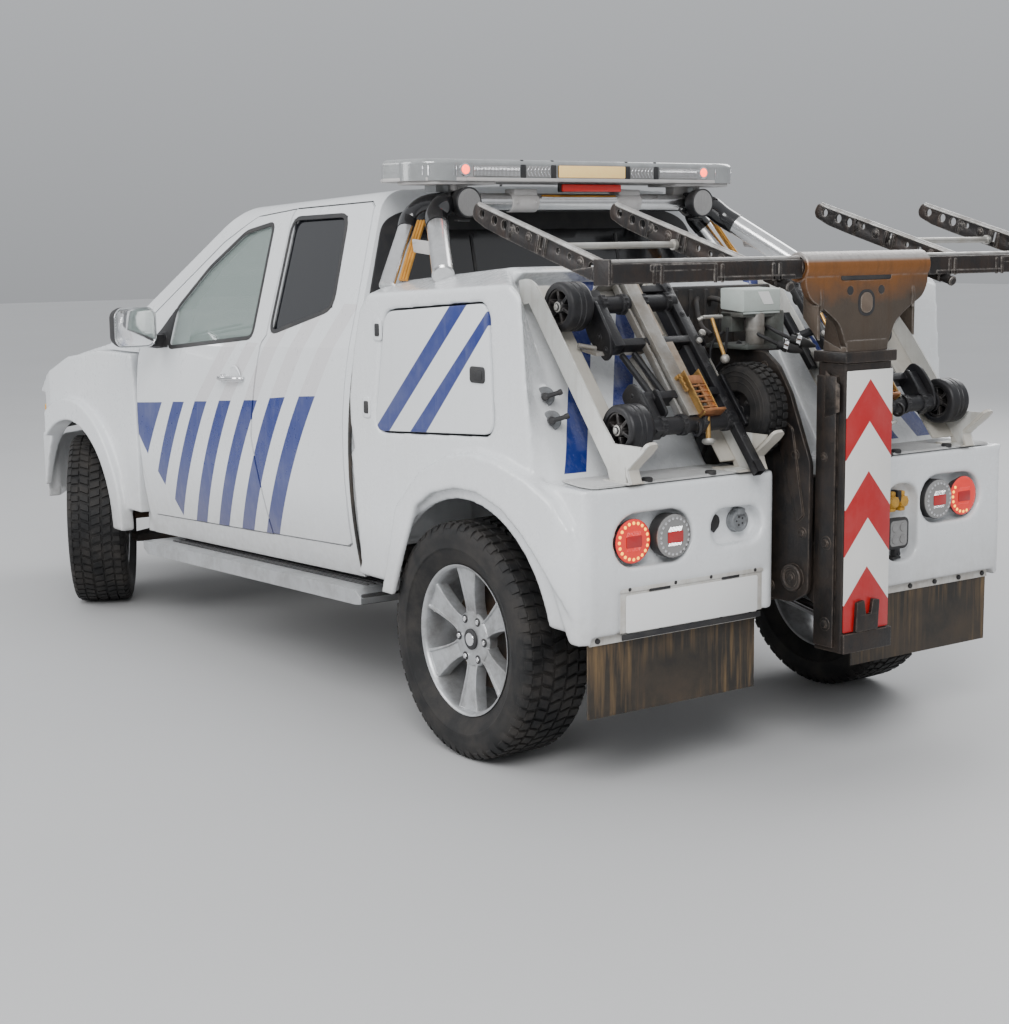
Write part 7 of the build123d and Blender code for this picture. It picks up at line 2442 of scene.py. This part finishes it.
for yc in (.385, -.385):
    fr_.box((X(1.600), yc, .612), (.440, .400, .036), r=.008)
    fr_.plate(rounded([(X(1.400), .630), (X(1.810), .630), (X(1.800), .856),
                       (X(1.380), .856)], .02, 4), "side", yc - .185, yc + .185,
              r=.010)
    for k in (-1, 1):
        fr_.plate(rounded([(X(1.330), .850), (X(1.850), .850),
                           (X(1.800), .895), (X(1.480), .905),
                           (X(1.420), .960), (X(1.370), .960)], .015, 4),
                  "side", yc + k * .242, yc + k * .254, r=.003)
        fr_.rod((X(1.236), yc + k * .060, 1.415), (X(1.212), yc + k * .060, 1.500),
                .0065, 14)
    fr_.lathe([(0, 0), (0, .030), (.012, .028), (.014, 0)],
              (X(1.395), yc + .254, .915), (0, 1, 0), 28)
fr_.box((X(.985), 0, .806), (.200, 1.280, .014), r=.004)
fr_.done()

# dashboard: moulded body, hood, screen, vents, wheel
dd = Piece("dash_body", "chassis", MAT["dash"], ("dashboard",))
dd.plate(rounded([(X(2.390), .705), (X(2.390), 1.112), (X(2.325), 1.142),
                  (X(2.085), 1.112), (X(2.038), 1.040), (X(2.115), .900),
                  (X(2.300), .705)], .030, 6), "side", -.735, .735, r=.008,
         seg=3)
dd.plate(rounded([(X(2.060), 1.075), (X(2.075), 1.150), (X(2.250), 1.165),
                  (X(2.290), 1.120)], .025, 5), "side", .230, .510, r=.012,
         seg=3)
dd.box((X(2.150), 0, .800), (.180, .240, .420), r=.020)
dd.box((X(1.800), 0, .660), (.620, .190, .140), r=.020)
dd.lathe([(0, .0), (0, .030), (.010, .026), (.030, .012), (.120, .010),
          (.125, .022), (.150, .024), (.158, .014), (.158, 0)],
         (X(1.950), 0, .725), (-.15, 0, 1), 28)
c0 = Vector((X(2.150), .370, 1.050))
cn_ = Vector((-.9, 0, .436)).normalized()
dd.lathe([(0, .036), (.120, .036), (.150, .048), (.165, .050), (.165, 0),
          (0, 0)], c0, cn_, 40)
for k in (-1, 1):
    dd.tube([c0 + cn_ * .130, c0 + cn_ * .130 + Vector((0, k * .16, .015))],
            .0060, 10)
dd.done(angle=40)
wl_ = Piece("steering_wheel", "chassis", MAT["black"])
wc = c0 + cn_ * .172
prof = []
for i in range(12):
    a = 2 * math.pi * i / 12
    prof.append((.0135 * math.sin(a), .176 + .0135 * math.cos(a)))
wl_.lathe(prof, wc, cn_, 72, close=True)
wl_.lathe([(-.014, 0), (-.014, .052), (.004, .058), (.014, .052), (.018, .030),
           (.019, 0)], wc, cn_, 44)
up = Vector((.436, 0, .9)).normalized()
for d in (Vector((0, 1, 0)), Vector((0, -1, 0)), -up):
    wl_.tube([wc + d * .045, wc + d * .110 - cn_ * .004, wc + d * .172], .0105,
             12, 3)
wl_.done(angle=50)
gl_ = Piece("dash_glass", "chassis", MAT["black_gloss"])
gl_.plate(rounded([(.255, 1.082), (.485, 1.082), (.475, 1.146), (.265, 1.146)],
                  .01, 3), "cross", X(2.0600), X(2.0640), r=.001)
gl_.plate(slot_ring(0, 1.075, .200, .058, .006), "cross", X(2.0530), X(2.0600),
          r=.002)
gl_.done()
vt = Piece("dash_vents", "chassis", MAT["black"])
for y in (-.640, -.150, .150, .640):
    for i in range(5):
        vt.box((X(2.0520), y, 1.052 + .013 * i), (.014, .120, .0035), r=.001,
               seg=1)
vt.done()
pdl = Piece("pedals", "chassis", MAT["black"])
for y in (.470, .370, .290):
    pdl.box((X(2.240), y, .660), (.012, .060, .075), r=.004,
            rot=Matrix.Rotation(-.5, 4, 'Y'))
    pdl.rod((X(2.245), y, .670), (X(2.310), y, .800), .006, 10)
pdl.done()

# ------------------------------------------------------------- engine bay
en = Piece("engine_cover", "chassis", MAT["black"])
en.plate(rounded([(X(2.70), -.19), (X(3.27), -.16), (X(3.27), .16),
                  (X(2.70), .19)], .05, 5), "plan", .988, 1.022, r=.012, seg=3)
for k in range(4):
    en.box((X(2.80 + .125 * k), 0, 1.024), (.012, .25, .010), r=.004)
for k, (y, z, r_) in enumerate(((.00, .66, .095), (.15, .80, .055),
                                (-.15, .84, .060), (.16, .92, .045))):
    en.lathe([(0, 0), (0, r_), (.008, r_), (.012, r_ - .006),
              (.016, r_ - .006), (.020, r_), (.028, r_), (.028, r_ * .5),
              (.020, r_ * .45), (.020, 0)], (X(3.309), y, z), (1, 0, 0), 40)
en.done()
bt = Piece("battery", "chassis", MAT["grey"])
bt.box((X(3.05), .430, .930), (.240, .170, .170), r=.008)
bt.box((X(3.05), .430, 1.018), (.250, .180, .016), r=.005)
for k in (-1, 1):
    bt.lathe([(0, .010), (.018, .009), (.018, 0)],
             (X(3.05 + k * .08), .475, 1.025), (0, 0, 1), 20)
bt.done()
fb = Piece("air_box", "chassis", MAT["dash"])
fb.box((X(3.05), -.440, .930), (.280, .220, .170), r=.018, seg=3)
fb.box((X(3.05), -.440, 1.000), (.290, .230, .012), r=.005)
fb.tube([(X(3.06), -.42, .985), (X(3.08), -.34, 1.040), (X(3.06), -.26, 1.045),
         (X(3.04), -.17, 1.010)], .034, 24, 8)
fb.done()
rd_ = Piece("radiator", "chassis", MAT["cast"])
rd_.box((X(3.560), 0, .800), (.034, .640, .300), r=.004)
for k in range(22):
    rd_.box((X(3.541), 0, .668 + .0125 * k), (.006, .600, .0030), r=.001,
            seg=1)
rd_.box((X(3.560), 0, .955), (.050, .660, .030), r=.010)
rd_.tube([(X(3.53), .26, .94), (X(3.45), .25, .960), (X(3.37), .20, .935),
         (X(3.305), .19, .900)], .019, 18, 6)
rd_.done()
